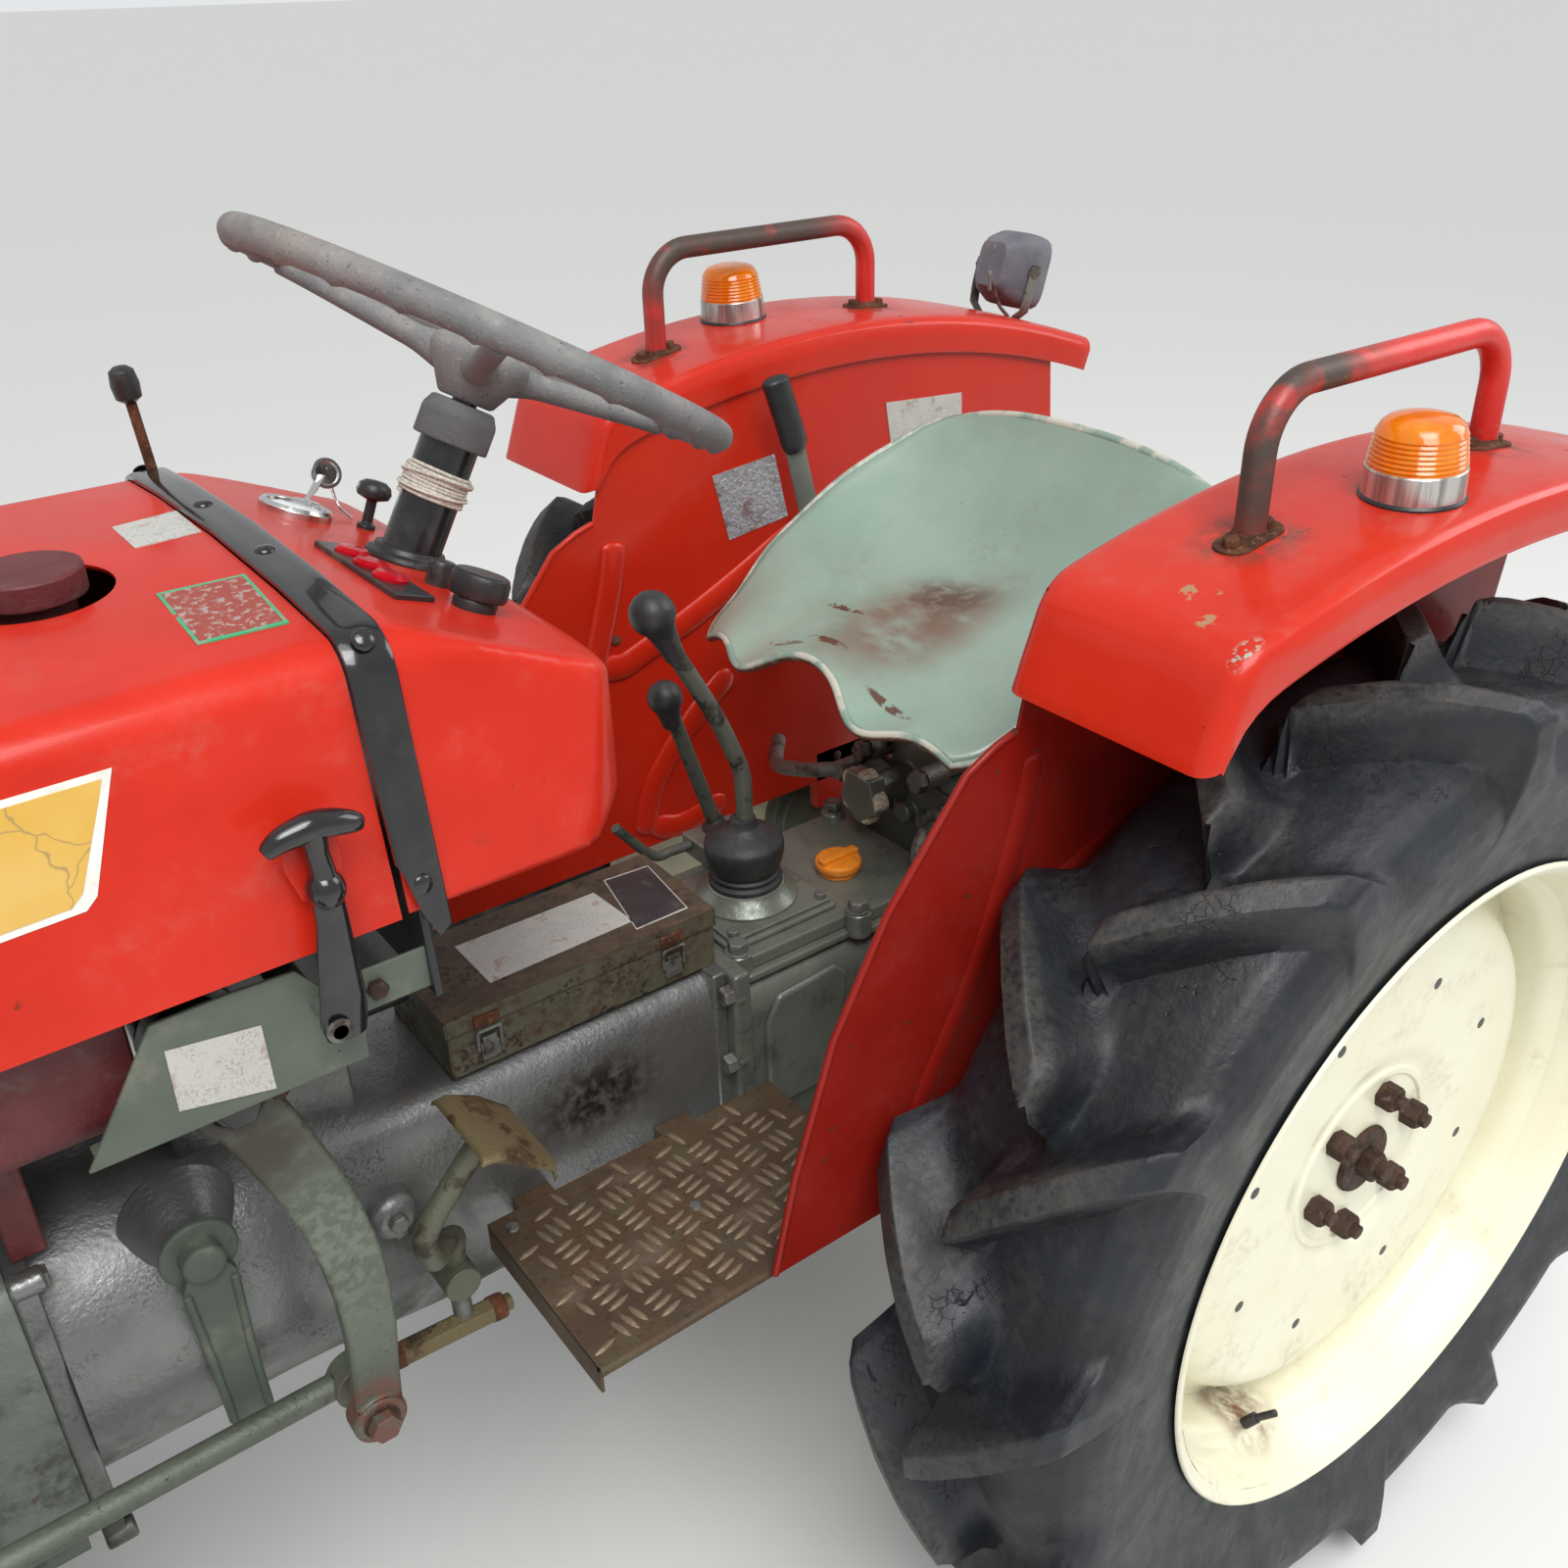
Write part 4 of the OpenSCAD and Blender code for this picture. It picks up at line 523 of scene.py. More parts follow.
# Finish of each material slot, for the CAD nodes that keep their shape
FINISH = {
    "tyre_rubber": tyre, "cream_paint": cream, "red_paint": red, "green_grey_paint": green_grey,
    "grey_casting": grey_casting, "silver_housing": silver, "black_paint": black_paint,
    "black_plastic": black_plastic, "grey_plastic": grey_plastic, "worn_steel": worn_steel,
    "rusty_steel": rusty_steel, "lamp_glass": lamp_glass, "amber_lens": chrome,
}


def copy_of(node, name=None):
    """A new mesh of a CAD node, its flat faces whole again."""
    bm = bmesh.new()
    bm.from_mesh(frame["nodes"][node].data)
    bmesh.ops.remove_doubles(bm, verts=bm.verts, dist=2e-6)
    bmesh.ops.dissolve_limit(bm, angle_limit=radians(0.6), verts=bm.verts, edges=bm.edges)
    me = bpy.data.meshes.new(name or node + "_piece")
    bm.to_mesh(me)
    bm.free()
    return me


def refine(node, material, bevel=1.0, sharp=38, steps=2, slot=None):
    """A CAD node with its edges broken and its finish."""
    me = copy_of(node)
    me.materials.clear()
    me.materials.append(material)
    for poly in me.polygons:
        poly.material_index = 0
    return finish_mesh(node + "_piece", me, body_of_node(node), [node], sharp, bevel, steps, slot)


SLOT_OF = {part["node"]: part["material_slot"] for part in frame["record"]["subparts"]}

# Wheels

SIDES = (("left", 1), ("right", -1))
AXLE_Z, REAR_Y, HALF_W = 525.0, 427.5, 112.5
LUGS = 14
PITCH = 360.0 / LUGS
LUG_PHASE, LUG_SLOPE, LUG_NOSE = 18.8, 0.114, 15.0
# Lines across the tyre: [distance from the middle, radius] in the hollows and over the lugs
HOLLOW = [(0, 472), (27, 472), (58, 469), (80, 463), (92, 453), (99, 440), (103, 425), (104, 410),
          (101.5, 395), (94, 362), (86, 330), (85, 313)]
OVER_LUG = [(0, 525), (27, 524), (60, 517), (84, 509), (101, 502), (111, 490), (112.4, 462), (110, 438),
            (104, 400), (94, 362), (86, 330), (85, 313)]


def lug_height(angle, y):
    """How far a point of the tread has risen from hollow (0) to lug (1)."""
    best = 0.0
    for side in (1, -1):
        away = y * side
        start = LUG_PHASE + (PITCH / 2 if side < 0 else 0.0) + LUG_SLOPE * (min(away, HALF_W) + LUG_NOSE)
        turn = (angle - start) % PITCH
        if turn > PITCH - 1.5:
            turn -= PITCH
        # Steep working face, top, then the hollow side, which widens outward
        foot = 9.4 + 1.2 * blend(-away, -20, 20) - 0.6 * blend(away, 60, 110)
        rise = blend(turn, -0.9 - 0.6 * blend(-away, 0, 16), 0.3)
        fall = 1.0 - blend(turn, 3.5, foot) ** 0.55
        nose = blend(away, -LUG_NOSE - 7 - abs(turn - 2) * 1.2, -LUG_NOSE + 6)
        best = max(best, rise * fall * nose)
    return best


def rear_tyre(word, side):
    """Tyre with its lugs, in rings of points that are closest on the lugs' flanks."""
    offsets = [-1.3, -0.9, -0.6, -0.3, 0.0, 0.3, 0.9, 1.9, 2.9, 3.45, 3.6, 3.8, 4.1, 4.6, 5.3, 6.2, 7.3, 8.6,
               10.0]
    columns = [k * PITCH / 2 + t for k in range(2 * LUGS) for t in offsets]
    # Rows across: even steps over the tread, then down the side to the bead
    lines = []
    for i in range(len(HOLLOW) - 1):
        # Closest rows at the middle, where the lugs' noses cross it
        count = 10 if i == 0 else 4 if i < 8 else 2
        for j in range(count):
            t = j / count
            low = [HOLLOW[i][k] + (HOLLOW[i + 1][k] - HOLLOW[i][k]) * t for k in (0, 1)]
            high = [OVER_LUG[i][k] + (OVER_LUG[i + 1][k] - OVER_LUG[i][k]) * t for k in (0, 1)]
            lines.append((low, high))
    lines.append((HOLLOW[-1], OVER_LUG[-1]))
    rows = [(s, low, high) for s in (-1, 1) for low, high in (lines[::-1] if s < 0 else lines[1:])]
    rings = []
    for s, low, high in rows:
        ring = []
        y = s * high[0]
        twist = LUG_SLOPE * (min(abs(y), HALF_W) + LUG_NOSE)
        for c in columns:
            angle = LUG_PHASE + c + twist
            h = lug_height(angle, y)
            across = s * (low[0] + (high[0] - low[0]) * h)
            r = low[1] + (high[1] - low[1]) * h
            a = radians(angle)
            p = Vector((r * cos(a), across, r * sin(a)))
            r += 0.9 * noise.noise(p * 0.018) + 0.35 * noise.noise(p * 0.11)
            ring.append((r * cos(a), side * (REAR_Y + across), AXLE_Z + r * sin(a)))
        rings.append(ring)
    solid = Solids().loft(rings, caps=False)
    solid.object("rear_tyre_%s_lugged" % word, [tyre], "rear_wheel_" + word, ["rear_tyre_" + word],
                 sharp=60, bevel=0, slot="tyre_rubber")


rust_nut = rusty("rusty_nut", (0.07, 0.035, 0.022), rough=0.7)
for word, side in SIDES:
    rear_tyre(word, side)


def rear_rim(word, side):
    """Rolled rim and dished disc, with its six nuts, axle bolt and valve."""
    w, lip, seat = 92.0, 326.0, 312.0
    nuts, nut_circle, spare_holes, hole_circle = 6, 70, 8, 182
    at = (0, side * REAR_Y, AXLE_Z)
    out = (0, side, 0)
    s = Solids()
    barrel = [(lip, w - 3)] + [(lip - 3 + 3 * cos(a), w - 3 + 3 * sin(a)) for a in (0.6, 1.2, 1.57)]
    inner = [(lip - 8, w - 2), (seat - 1, w - 9), (seat - 6, w - 22), (seat - 9, w - 36),
             (seat - 22, w - 50), (seat - 27, w - 64)]
    outer = [(seat + 1, w - 8), (seat - 3, w - 24), (seat - 17, w - 46)]
    barrel += inner + [(seat - 27, 0)] + [(r, -h) for r, h in inner[::-1]] + [(lip - 1, -w), (lip, 3 - w)]
    barrel += [(r, -h) for r, h in outer] + [(seat - 21, 0)] + outer[::-1] + [(lip, w - 3)]
    s.lathe(barrel, at, out, 128)
    disc = [(0, 28), (60, 28), (98, 28), (106, 29.5), (114, 32), (124, 33), (226, 33), (238, 32), (247, 28),
            (254, 20), (262, 8), (272, -2), (284, -7), (288, -8), (288, -13), (270, -8), (258, 2), (248, 16),
            (240, 26), (228, 28), (124, 28), (112, 26), (98, 23), (0, 23)]
    s.lathe(disc, at, out, 128)
    # Embossed ring round the hub
    s.lathe([(86, 27), (89, 30.5), (95, 30.5), (98, 27)], at, out, 96)
    s.lathe([(95, 23), (95, 10), (62, 2), (58, -40), (0, -40)], at, out, 64)
    s.slot = 1
    s.lathe([(0, 28), (34, 28), (35, 30), (33, 34), (0, 34)], at, out, 48)
    s.hexagon((0, side * (REAR_Y + 34), AXLE_Z), out, 27, 15)
    s.rod((0, side * (REAR_Y + 48), AXLE_Z), (0, side * (REAR_Y + 58), AXLE_Z), 9)
    for i in range(nuts):
        a = radians(360 / nuts * i + 43)
        x, z = nut_circle * cos(a), AXLE_Z + nut_circle * sin(a)
        s.hexagon((x, side * (REAR_Y + 28), z), out, 23, 17, a)
        s.rod((x, side * (REAR_Y + 44), z), (x, side * (REAR_Y + 51), z), 7)
    # Spare holes, drawn as dark discs of painted shade in place of the openings, and the valve
    s.slot = 2
    for i in range(spare_holes):
        a = radians(360 / spare_holes * i + 20)
        s.lathe([(0, 33.2), (6, 33.2), (6.5, 32)],
                (hole_circle * cos(a), side * REAR_Y, AXLE_Z + hole_circle * sin(a)), out, 16)
    valve = Vector((cos(radians(-62)), 0, sin(radians(-62))))
    foot = Vector(at) + valve * 284 + Vector((0, side * 40, 0))
    s.rod(foot, foot - valve * 14 + Vector((0, side * 8, 0)), 5.5, 16)
    s.rod(foot - valve * 12 + Vector((0, side * 7, 0)), foot - valve * 30 + Vector((0, side * 22, 0)),
          3.6, 16)
    s.object("rear_rim_%s_wheel" % word, [cream_rim, rust_nut, black_plastic], "rear_wheel_" + word,
             ["rear_rim_" + word], sharp=32, bevel=0.7, slot="cream_paint")


n = Nodes("cream_rim")
streak = n.both(n.noise(60, 0.5, 0.72, 10.0), n.noise(10, 0.35, 0.65))
low_rust = n.near((120, REAR_Y + 20, AXLE_Z - 262), 12, 60)
tint = n.colour(n.noise(160, 0.3, 0.7), CREAM, (0.80, 0.78, 0.62))
tint = n.colour(n.both(streak, 0.4), tint, (0.42, 0.33, 0.18))
tint = n.colour(n.both(low_rust, n.noise(25, 0.35, 0.6, 8.0)), tint, (0.17, 0.07, 0.03))
specks = n.noise(11, 0.74, 0.77, 5.0)
tint = n.colour(specks, tint, RUST)
n.bump(n.noise(4, 0.3, 0.7, 3.0), 0.06)
cream_rim = n.done(tint, n.value(streak, 0.36, 0.6), Coat_Weight=0.2, Coat_Roughness=0.15)
for word, side in SIDES:
    rear_rim(word, side)

# Bonnet and cowl

HOOD_HALF_W, HOOD_TOP, HOOD_LOW = 238.0, 1180.0, 1003.0
SHOULDER_Y, SHOULDER_R = 190.0, 26.0


def hood_line(out=0.0, low=HOOD_LOW):
    """Outline of the bonnet across the tractor, from its right lower edge to its left one."""
    side = [(HOOD_HALF_W + out, low)] + arc(SHOULDER_Y, HOOD_TOP - 34, SHOULDER_R + out, 8, 84, 8)
    side += [(HOOD_HALF_W / 2, HOOD_TOP - 3 + out)]
    return [(-y, z) for y, z in side] + [(0, HOOD_TOP + out)] + side[::-1]


def bonnet_side(z):
    """Half the bonnet's width at a height, below its shoulder."""
    return HOOD_HALF_W - (z - HOOD_LOW) * (HOOD_HALF_W - 215.7) / (1149.6 - HOOD_LOW)


def node_point(co):
    """A point of the model as a place in millimetres."""
    return Vector((co.x * 1000 + MID, co.y * 1000, co.z * 1000))


def sheet_skin(node, me, material):
    """Object of a CAD node's outer skin, which replaces the node."""
    me.materials.clear()
    me.materials.append(material)
    me.shade_smooth()
    return new_object(node + "_skin", me)


def shell(node, middle, trim, material, bevel, steps, sheet=2.6):
    """Outer skin of a CAD sheet piece with rounded edges and its thickness put back.
    middle gives the point that the skin faces away from, trim says which faces are cut edges."""
    bm = bmesh.new()
    bm.from_mesh(copy_of(node, node + "_skin"))
    for f in list(bm.faces):
        p = node_point(f.calc_center_median())
        if (p - middle(p)).dot(f.normal) < 1.0 or trim(p, f.normal):
            bm.faces.remove(f)
    bmesh.ops.delete(bm, geom=[v for v in bm.verts if not v.link_faces], context="VERTS")
    me = bpy.data.meshes.new(node + "_skin_mesh")
    bm.to_mesh(me)
    bm.free()
    o = sheet_skin(node, me, material)
    modify(o, "edges", "BEVEL", width=bevel / 1000, segments=steps, limit_method="ANGLE",
           angle_limit=radians(16), use_clamp_overlap=True)
    modify(o, "sheet", "SOLIDIFY", thickness=sheet / 1000, offset=-1)
    modify(o, "normals", "WEIGHTED_NORMAL", keep_sharp=True)
    return carry(o, body_of_node(node), [node], SLOT_OF[node])


def bonnet_middle(p):
    return Vector((min(max(p.x, 800), 1500), 0, min(p.z, 1000)))


def bonnet_cut_edge(p, n):
    """Faces at the bonnet's lower edge, its back and the ends of its sides at the nose."""
    return n.z < -0.9 or n.x < -0.9 and p.x < 780 or p.z < 792 and p.x > 1560 and abs(n.y) > 0.9


shell("hood_panel", bonnet_middle, bonnet_cut_edge, red, 3.0, 3)


def pressed_shell(node, front, low, material, grid=5.0, rounds=14, sheet=2.6):
    """Skin of a convex CAD sheet piece with the soft corners of pressed steel, open in front and below."""
    bm = bmesh.new()
    for v in copy_of(node, node + "_block").vertices:
        # The open sides are made longer first, so that only the closed corners are rounded
        p = node_point(v.co)
        x = p.x + 30 if p.x > front - 14 else p.x
        bm.verts.new(place(x, p.y, p.z - 30 if p.z < low + 1 else p.z))
    hull = bmesh.ops.convex_hull(bm, input=bm.verts)
    inside = {v for v in hull["geom_interior"] + hull["geom_unused"] if isinstance(v, bmesh.types.BMVert)}
    bmesh.ops.delete(bm, geom=list(inside), context="VERTS")
    block = bpy.data.meshes.new(node + "_block_mesh")
    bm.to_mesh(block)
    bm.free()
    o = new_object(node + "_block", block)
    modify(o, "grid", "REMESH", mode="VOXEL", voxel_size=grid / 1000)
    modify(o, "soft", "SMOOTH", factor=0.5, iterations=rounds)
    me = bpy.data.meshes.new_from_object(o.evaluated_get(bpy.context.evaluated_depsgraph_get()))
    bpy.data.objects.remove(o)
    bm = bmesh.new()
    bm.from_mesh(me)
    for spot, way in ((place(front, 0, 0), FORWARD), (place(MID, 0, low), (0, 0, -1))):
        bmesh.ops.bisect_plane(bm, geom=bm.verts[:] + bm.edges[:] + bm.faces[:], plane_co=spot, plane_no=way,
                               clear_outer=True)
    bm.to_mesh(me)
    bm.free()
    o = sheet_skin(node, me, material)
    modify(o, "sheet", "SOLIDIFY", thickness=sheet / 1000, offset=-1)
    return carry(o, body_of_node(node), [node], SLOT_OF[node])


pressed_shell("dash_cowl", 766, 1003, red)


def decal(name, corners, y, materials, inset=4.0):
    """Flat sticker on the bonnet's side, with an edge of another colour round it."""
    s = Solids()
    mid = [sum(c[i] for c in corners) / len(corners) for i in (0, 1)]
    for k, (shrink, lift) in enumerate(((0.0, 0.5), (inset, 0.9))):
        s.slot = k
        rim = []
        for x, z in corners:
            dx, dz = mid[0] - x, mid[1] - z
            rim.append((x + copysign(min(abs(dx), shrink * 1.6), dx), z + copysign(min(abs(dz), shrink), dz)))
        s.loft([[(x, copysign(bonnet_side(z) + t, y), z) for x, z in rim] for t in (-2.0, lift)])
    return s.object(name, materials, "hood", bevel=0, sharp=20)


white_edge = plain("sticker_edge", (0.72, 0.70, 0.64), 0.45)
n = Nodes("yellow_sticker")
aged = n.colour(n.noise(90, 0.3, 0.7), (0.62, 0.36, 0.055), (0.66, 0.43, 0.12))
aged = n.colour(n.cracks(60, 0.012), aged, (0.36, 0.24, 0.09))
yellow = n.done(aged, 0.42)
PANEL = [(902, 1142), (906, 1132), (927, 1078), (934, 1072), (1420, 1056), (1440, 1062), (1440, 1134),
         (1430, 1140)]
for word, side in SIDES:
    decal("side_panel_" + word, PANEL, side * HOOD_HALF_W, [white_edge, yellow])


def upright_corners(y, corners):
    """Corners of a label on a side plate."""
    return [(x, y, z) for x, z in corners]


def sticker(name, corners, colours, body="tractor", lift=0.5, normal=UPWARD, edge=3.0):
    """Blank label: corners in order, its border and its field."""
    s = Solids()
    up = Vector(normal).normalized()
    pts = [Vector(c) for c in corners]
    mid = sum(pts, Vector()) / len(pts)
    for k in range(len(colours)):
        s.slot = k
        rim = [p + (mid - p).normalized() * edge * k * 1.4 for p in pts]
        s.loft([[p + up * (lift * t + 0.25 * k * max(t, 0)) for p in rim] for t in (-1.0, 1.0)])
    return s.object(name, colours, body, bevel=0, sharp=20)


n = Nodes("worn_label")
print_wear = n.noise(1.8, 0.50, 0.60, 4.0)
field = n.colour(n.both(print_wear, n.noise(14, 0.35, 0.6)), (0.50, 0.485, 0.45), (0.33, 0.315, 0.29))
field = n.colour(n.noise(22, 0.60, 0.66, 9.0), field, (0.38, 0.29, 0.24))
worn_label = n.done(field, 0.6)
n = Nodes("red_label")
field = n.colour(n.noise(5, 0.52, 0.60, 8.0), (0.30, 0.055, 0.04), (0.36, 0.27, 0.24))
red_label = n.done(field, 0.55)
n = Nodes("green_label")
green_label = n.done(n.colour(n.noise(9, 0.5, 0.6, 8.0), (0.05, 0.36, 0.17), (0.20, 0.30, 0.20)), 0.5)
black_label = plain("black_label", (0.02, 0.02, 0.022), 0.4, grime=0.6)
sticker("label_cream", [(817, -66, 1178.4), (772, -74, 1178.2), (774, -12, 1179.9), (818, -8, 1179.9)],
        [worn_label], "hood")
sticker("label_green", [(831, 80, 1178.4), (778, 82, 1178.4), (782, 166, 1174.2), (834, 164, 1174.2)],
        [green_label, red_label], "hood")

# Rubber strap over the joint between bonnet and cowl, with its rivets
STRAP_X0, STRAP_X1 = 743.0, 771.0
s = Solids()
# Its ends are cut to a slanted point
rings = [[(x, y, z) for y, z in hood_line(5.0 - inset, low)]
         for x, inset, low in ((STRAP_X0, 1.2, 991), (STRAP_X0 + 2.5, 0, 990), (752, 0, 985), (761, 0, 1006),
                               (STRAP_X1 - 2.5, 0, 1036), (STRAP_X1, 1.2, 1041))]
under = [[(x, y, z) for y, z in hood_line(0.6, low)] for x, low in ((STRAP_X1, 1041), (STRAP_X0, 991))]
s.loft(rings + under + rings[:1], caps=False, closed=False)
s.object("bonnet_strap", [black_gloss], sharp=50, bevel=0)
s = Solids()
for y, z, out in ((60, 1183.2, UPWARD), (212, 1172, (0, 0.75, 0.66)), (239.4, 1022, LEFTWARD)):
    for side in (1, -1):
        s.dome((757, side * y, z), (0, side * out[1], out[2]), 7, 3)
s.object("strap_rivets", [black_gloss], bevel=0)

# Dark red of the tank and its filler cap, seen through the bonnet's hole
cap_red = plain("cap_red", (0.10, 0.014, 0.016), 0.55, grime=0.5, grain=0.2)

# T-shaped latch on the left with its rubber pull, its pin and its catch plate
LATCH_Y = 253.0
s = Solids()
grip = [(790, 1084), (797, 1087), (806, 1090), (817, 1092), (827, 1091), (837, 1089), (846, 1084)]
grip = spline([(x, LATCH_Y, z) for x, z in grip], 5)
last = len(grip) - 1
s.tube(grip, [4.0 + 4.6 * sin(pi * i / last) ** 0.6 for i in range(last + 1)], 20)
stem = [(818, 1090), (818, 1076), (817, 1064), (817, 1056)]
s.tube([(x, LATCH_Y, z) for x, z in stem], [8.5, 6.8, 7.2, 8], 20)
s.lathe([(0, -11.5), (7, -10), (10.5, -5), (11.5, 0), (10.5, 5), (7, 10), (0, 11.5)], (817, LATCH_Y, 1051),
        (0.1, 0, 1), 32)
pull = [(817, 1044), (817, 1030), (819, 1003), (820, 978), (822, 962), (822, 950)]
s.tube([(x, LATCH_Y, z) for x, z in pull], [9, 9.5, 12, 14, 14.5, 12], 24, 0.42, LEFTWARD)
s.object("bonnet_latch", [black_gloss], sharp=45, bevel=0.6)
s = Solids()
s.rod((828, 224, 961), (828, LATCH_Y + 10, 961), 5)
s.lathe([(8, 0), (8, 2), (5, 3)], (828, LATCH_Y + 7, 961), LEFTWARD, 24)
s.object("latch_pin", [worn_steel], bevel=0.4)
# Red catch plate on the bonnet behind the ball
s = Solids()
s.prism([(803, 1083), (835, 1083), (835, 1064), (828, 1041), (806, 1041), (801, 1060)], 239, 243.5)
s.object("catch_plate", [red], "hood", bevel=1.0)

# Bulkhead under the cowl with its bracket plate, the plate's folded edges and the stay to the steering box
bracket_green = painted("bracket_green", (0.088, 0.104, 0.080), rough=0.45, fade=0.5, dust=0.35, chips=0.8,
                        rust=0.5, coat=0.05)
s = Solids()
notch = [(22, 936), (22, 980), (-22, 980), (-22, 936)]
s.loft([[(x, y, z) for y, z in hood_line(-3.4, 936) + notch] for x in (752, 758)])
s.slot = 1
s.prism([(972, 909), (804, 908), (803, 935), (814, 955), (837, 988), (877, 990), (921, 989)], 224, 228)
s.box(808, 966, 206, 225, 908, 912)
s.box(804, 808, 206, 225, 908, 934)
s.box(756, 836, 224.4, 227.6, 941, 971)
s.rod((822, 58, 924), (822, 225, 924), 11)
s.object("side_plate", [black_paint, bracket_green], "tractor", ["side_bracket"], bevel=1.2,
         slot="black_paint")
sticker("bracket_label", upright_corners(228.4, [(917, 970), (863, 962), (863, 915), (918, 927)]),
        [worn_label], normal=LEFTWARD)
s = Solids()
s.hexagon((859, 216, 908), (0, 0, -1), 12, 8)
s.hexagon((792, 227.6, 956), LEFTWARD, 12, 6)
s.object("bracket_bolts", [rust_nut], bevel=0.5)

# Dash: gauge with its bezel, key, pull knob, push knob, rotary knob and lamp plate
DASH_SLOPE = radians(23)


def dash(x, y, h=0.0):
    """Point over the sloping dash."""
    z = 1176.0 - (746.0 - x) * tan(DASH_SLOPE)
    return Vector((x - h * sin(DASH_SLOPE), y, z + h * cos(DASH_SLOPE)))


UP = Vector((-sin(DASH_SLOPE), 0, cos(DASH_SLOPE)))
s = Solids()
gauge = dash(681, -106)
s.lathe([(27, -2), (27, 5), (24.5, 8), (22, 7), (21, 4), (0, 4)], gauge, UP, 48)
s.slot = 1
s.lathe([(21, 4.2), (16, 6.0), (0, 6.8)], gauge, UP, 48)
s.slot = 0


def key(dx, dy, h):
    """Point near the key's lock."""
    return dash(666 + dx, -130 + dy, h)


s.lathe([(13, -1), (13, 5), (10, 7), (0, 7)], key(0, 0, 0.0), UP, 32)
s.tube([key(0, 0, 7), key(-4, -1, 16), key(-8, -3, 28)], [4, 8, 9], 16, 0.2, FORWARD)
s.lathe([(9, 0), (9, 1.5), (12, 1.5), (12, 0)], key(-12, -5, 30), (0, 1, 0.4), 28, 0)
s.tube(spline([key(-12, -7, 34), key(-18, -10, 24), key(-26, -6, 8), key(-32, 10, 2)], 8), 1.2, 8)
s.slot = 2
s.lathe([(7, -1), (7, 3), (4, 5), (4, 22), (12, 25), (13.5, 29), (12, 34), (8, 37), (0, 38)],
        dash(632, -98), UP, 32)
s.lathe([(9, -1), (9.5, 4), (9.5, 14), (8, 17), (0, 17.5)], dash(649, 68), UP, 12)
s.lathe([(14.5, -1), (15, 5), (13.5, 8), (11, 9), (0, 9)], dash(650, 124), UP, 40)
# Rotary knob with a broad grip
turn = [2 * pi * k / 32 for k in range(32)]
s.loft([[dash(650 + grow * (17 * cos(a) - 3 * sin(a)), 124 + grow * (20 * sin(a) * abs(sin(a)) ** 0.2), h)
         for a in turn] for h, grow in ((8, 0.94), (11, 1.0), (20, 1.0), (23.5, 0.93), (24.5, 0.82))])
s.object("dash_fittings", [chrome, lamp_glass, black_plastic], "tractor", ["dash_controls"], bevel=0.4)
s = Solids()
corners = [dash(708, 6), dash(679, -2), dash(677, 126), dash(706, 134)]
s.loft([[p + UP * t for p in corners] for t in (-0.5, 4.0)])
s.object("lamp_plate", [black_paint], bevel=0.8)
lens_red = plain("red_lens", (0.36, 0.002, 0.008), 0.15, grime=0.0, IOR=1.25)
s = Solids()
for y in (32, 63, 94):
    s.lathe([(12, 3.5), (12, 6), (9.5, 8.5), (0, 9.5)], dash(693, y), UP, 32)
s.object("warning_lamps", [lens_red], bevel=0)
s = Solids()
s.rod((752, -200, 1172), (756, -201, 1228), 4)
s.slot = 1
s.lathe([(4, 0), (9.5, 4), (10.5, 14), (9, 24), (5, 27), (0, 27.5)], (756, -201, 1226), (0.07, 0, 1), 28)
s.object("hand_throttle", [rusty_steel, black_plastic], bevel=0.3)

# Fenders

CAP_R, CAP_TOP, CAP_FRONT, CAP_BACK, FLANGE = 1150.0, 1157.0, 300.0, -395.0, 38.0
FENDER_Y, FENDER_W, ARCH_STEPS = 297.0, 176.0, 40
LABEL_Y = -299.6


def cap_z(x):
    """Height of the fender's arch."""
    return CAP_TOP - CAP_R + sqrt(CAP_R * CAP_R - x * x)


def resampled(line, count):
    """The same line with evenly spaced points."""
    pts = [Vector(p) for p in line]
    lengths = [0.0]
    for p, q in zip(pts, pts[1:]):
        lengths.append(lengths[-1] + (q - p).length)
    out, k = [], 0
    for i in range(count):
        want = lengths[-1] * i / (count - 1)
        while k < len(pts) - 2 and lengths[k + 1] < want:
            k += 1
        span = lengths[k + 1] - lengths[k]
        out.append(pts[k].lerp(pts[k + 1], min(1.0, (want - lengths[k]) / span)))
    return out


def skin(name, rows, material, sheet):
    """Sheet metal from rows of points; its thickness goes to the side away from the normals."""
    n = len(rows[0])
    me = bpy.data.meshes.new(name)
    faces = [(i * n + j, i * n + j + 1, (i + 1) * n + j + 1, (i + 1) * n + j)
             for i in range(len(rows) - 1) for j in range(n - 1)]
    me.from_pydata([place(*p) for row in rows for p in row], [], faces)
    me.materials.append(material)
    me.shade_smooth()
    o = new_object(name, me)
    modify(o, "sheet", "SOLIDIFY", thickness=sheet / 1000, offset=-1, use_even_offset=True)
    modify(o, "edges", "BEVEL", width=sheet / 2600, segments=2, limit_method="ANGLE", angle_limit=radians(55))
    return carry(o, "tractor")


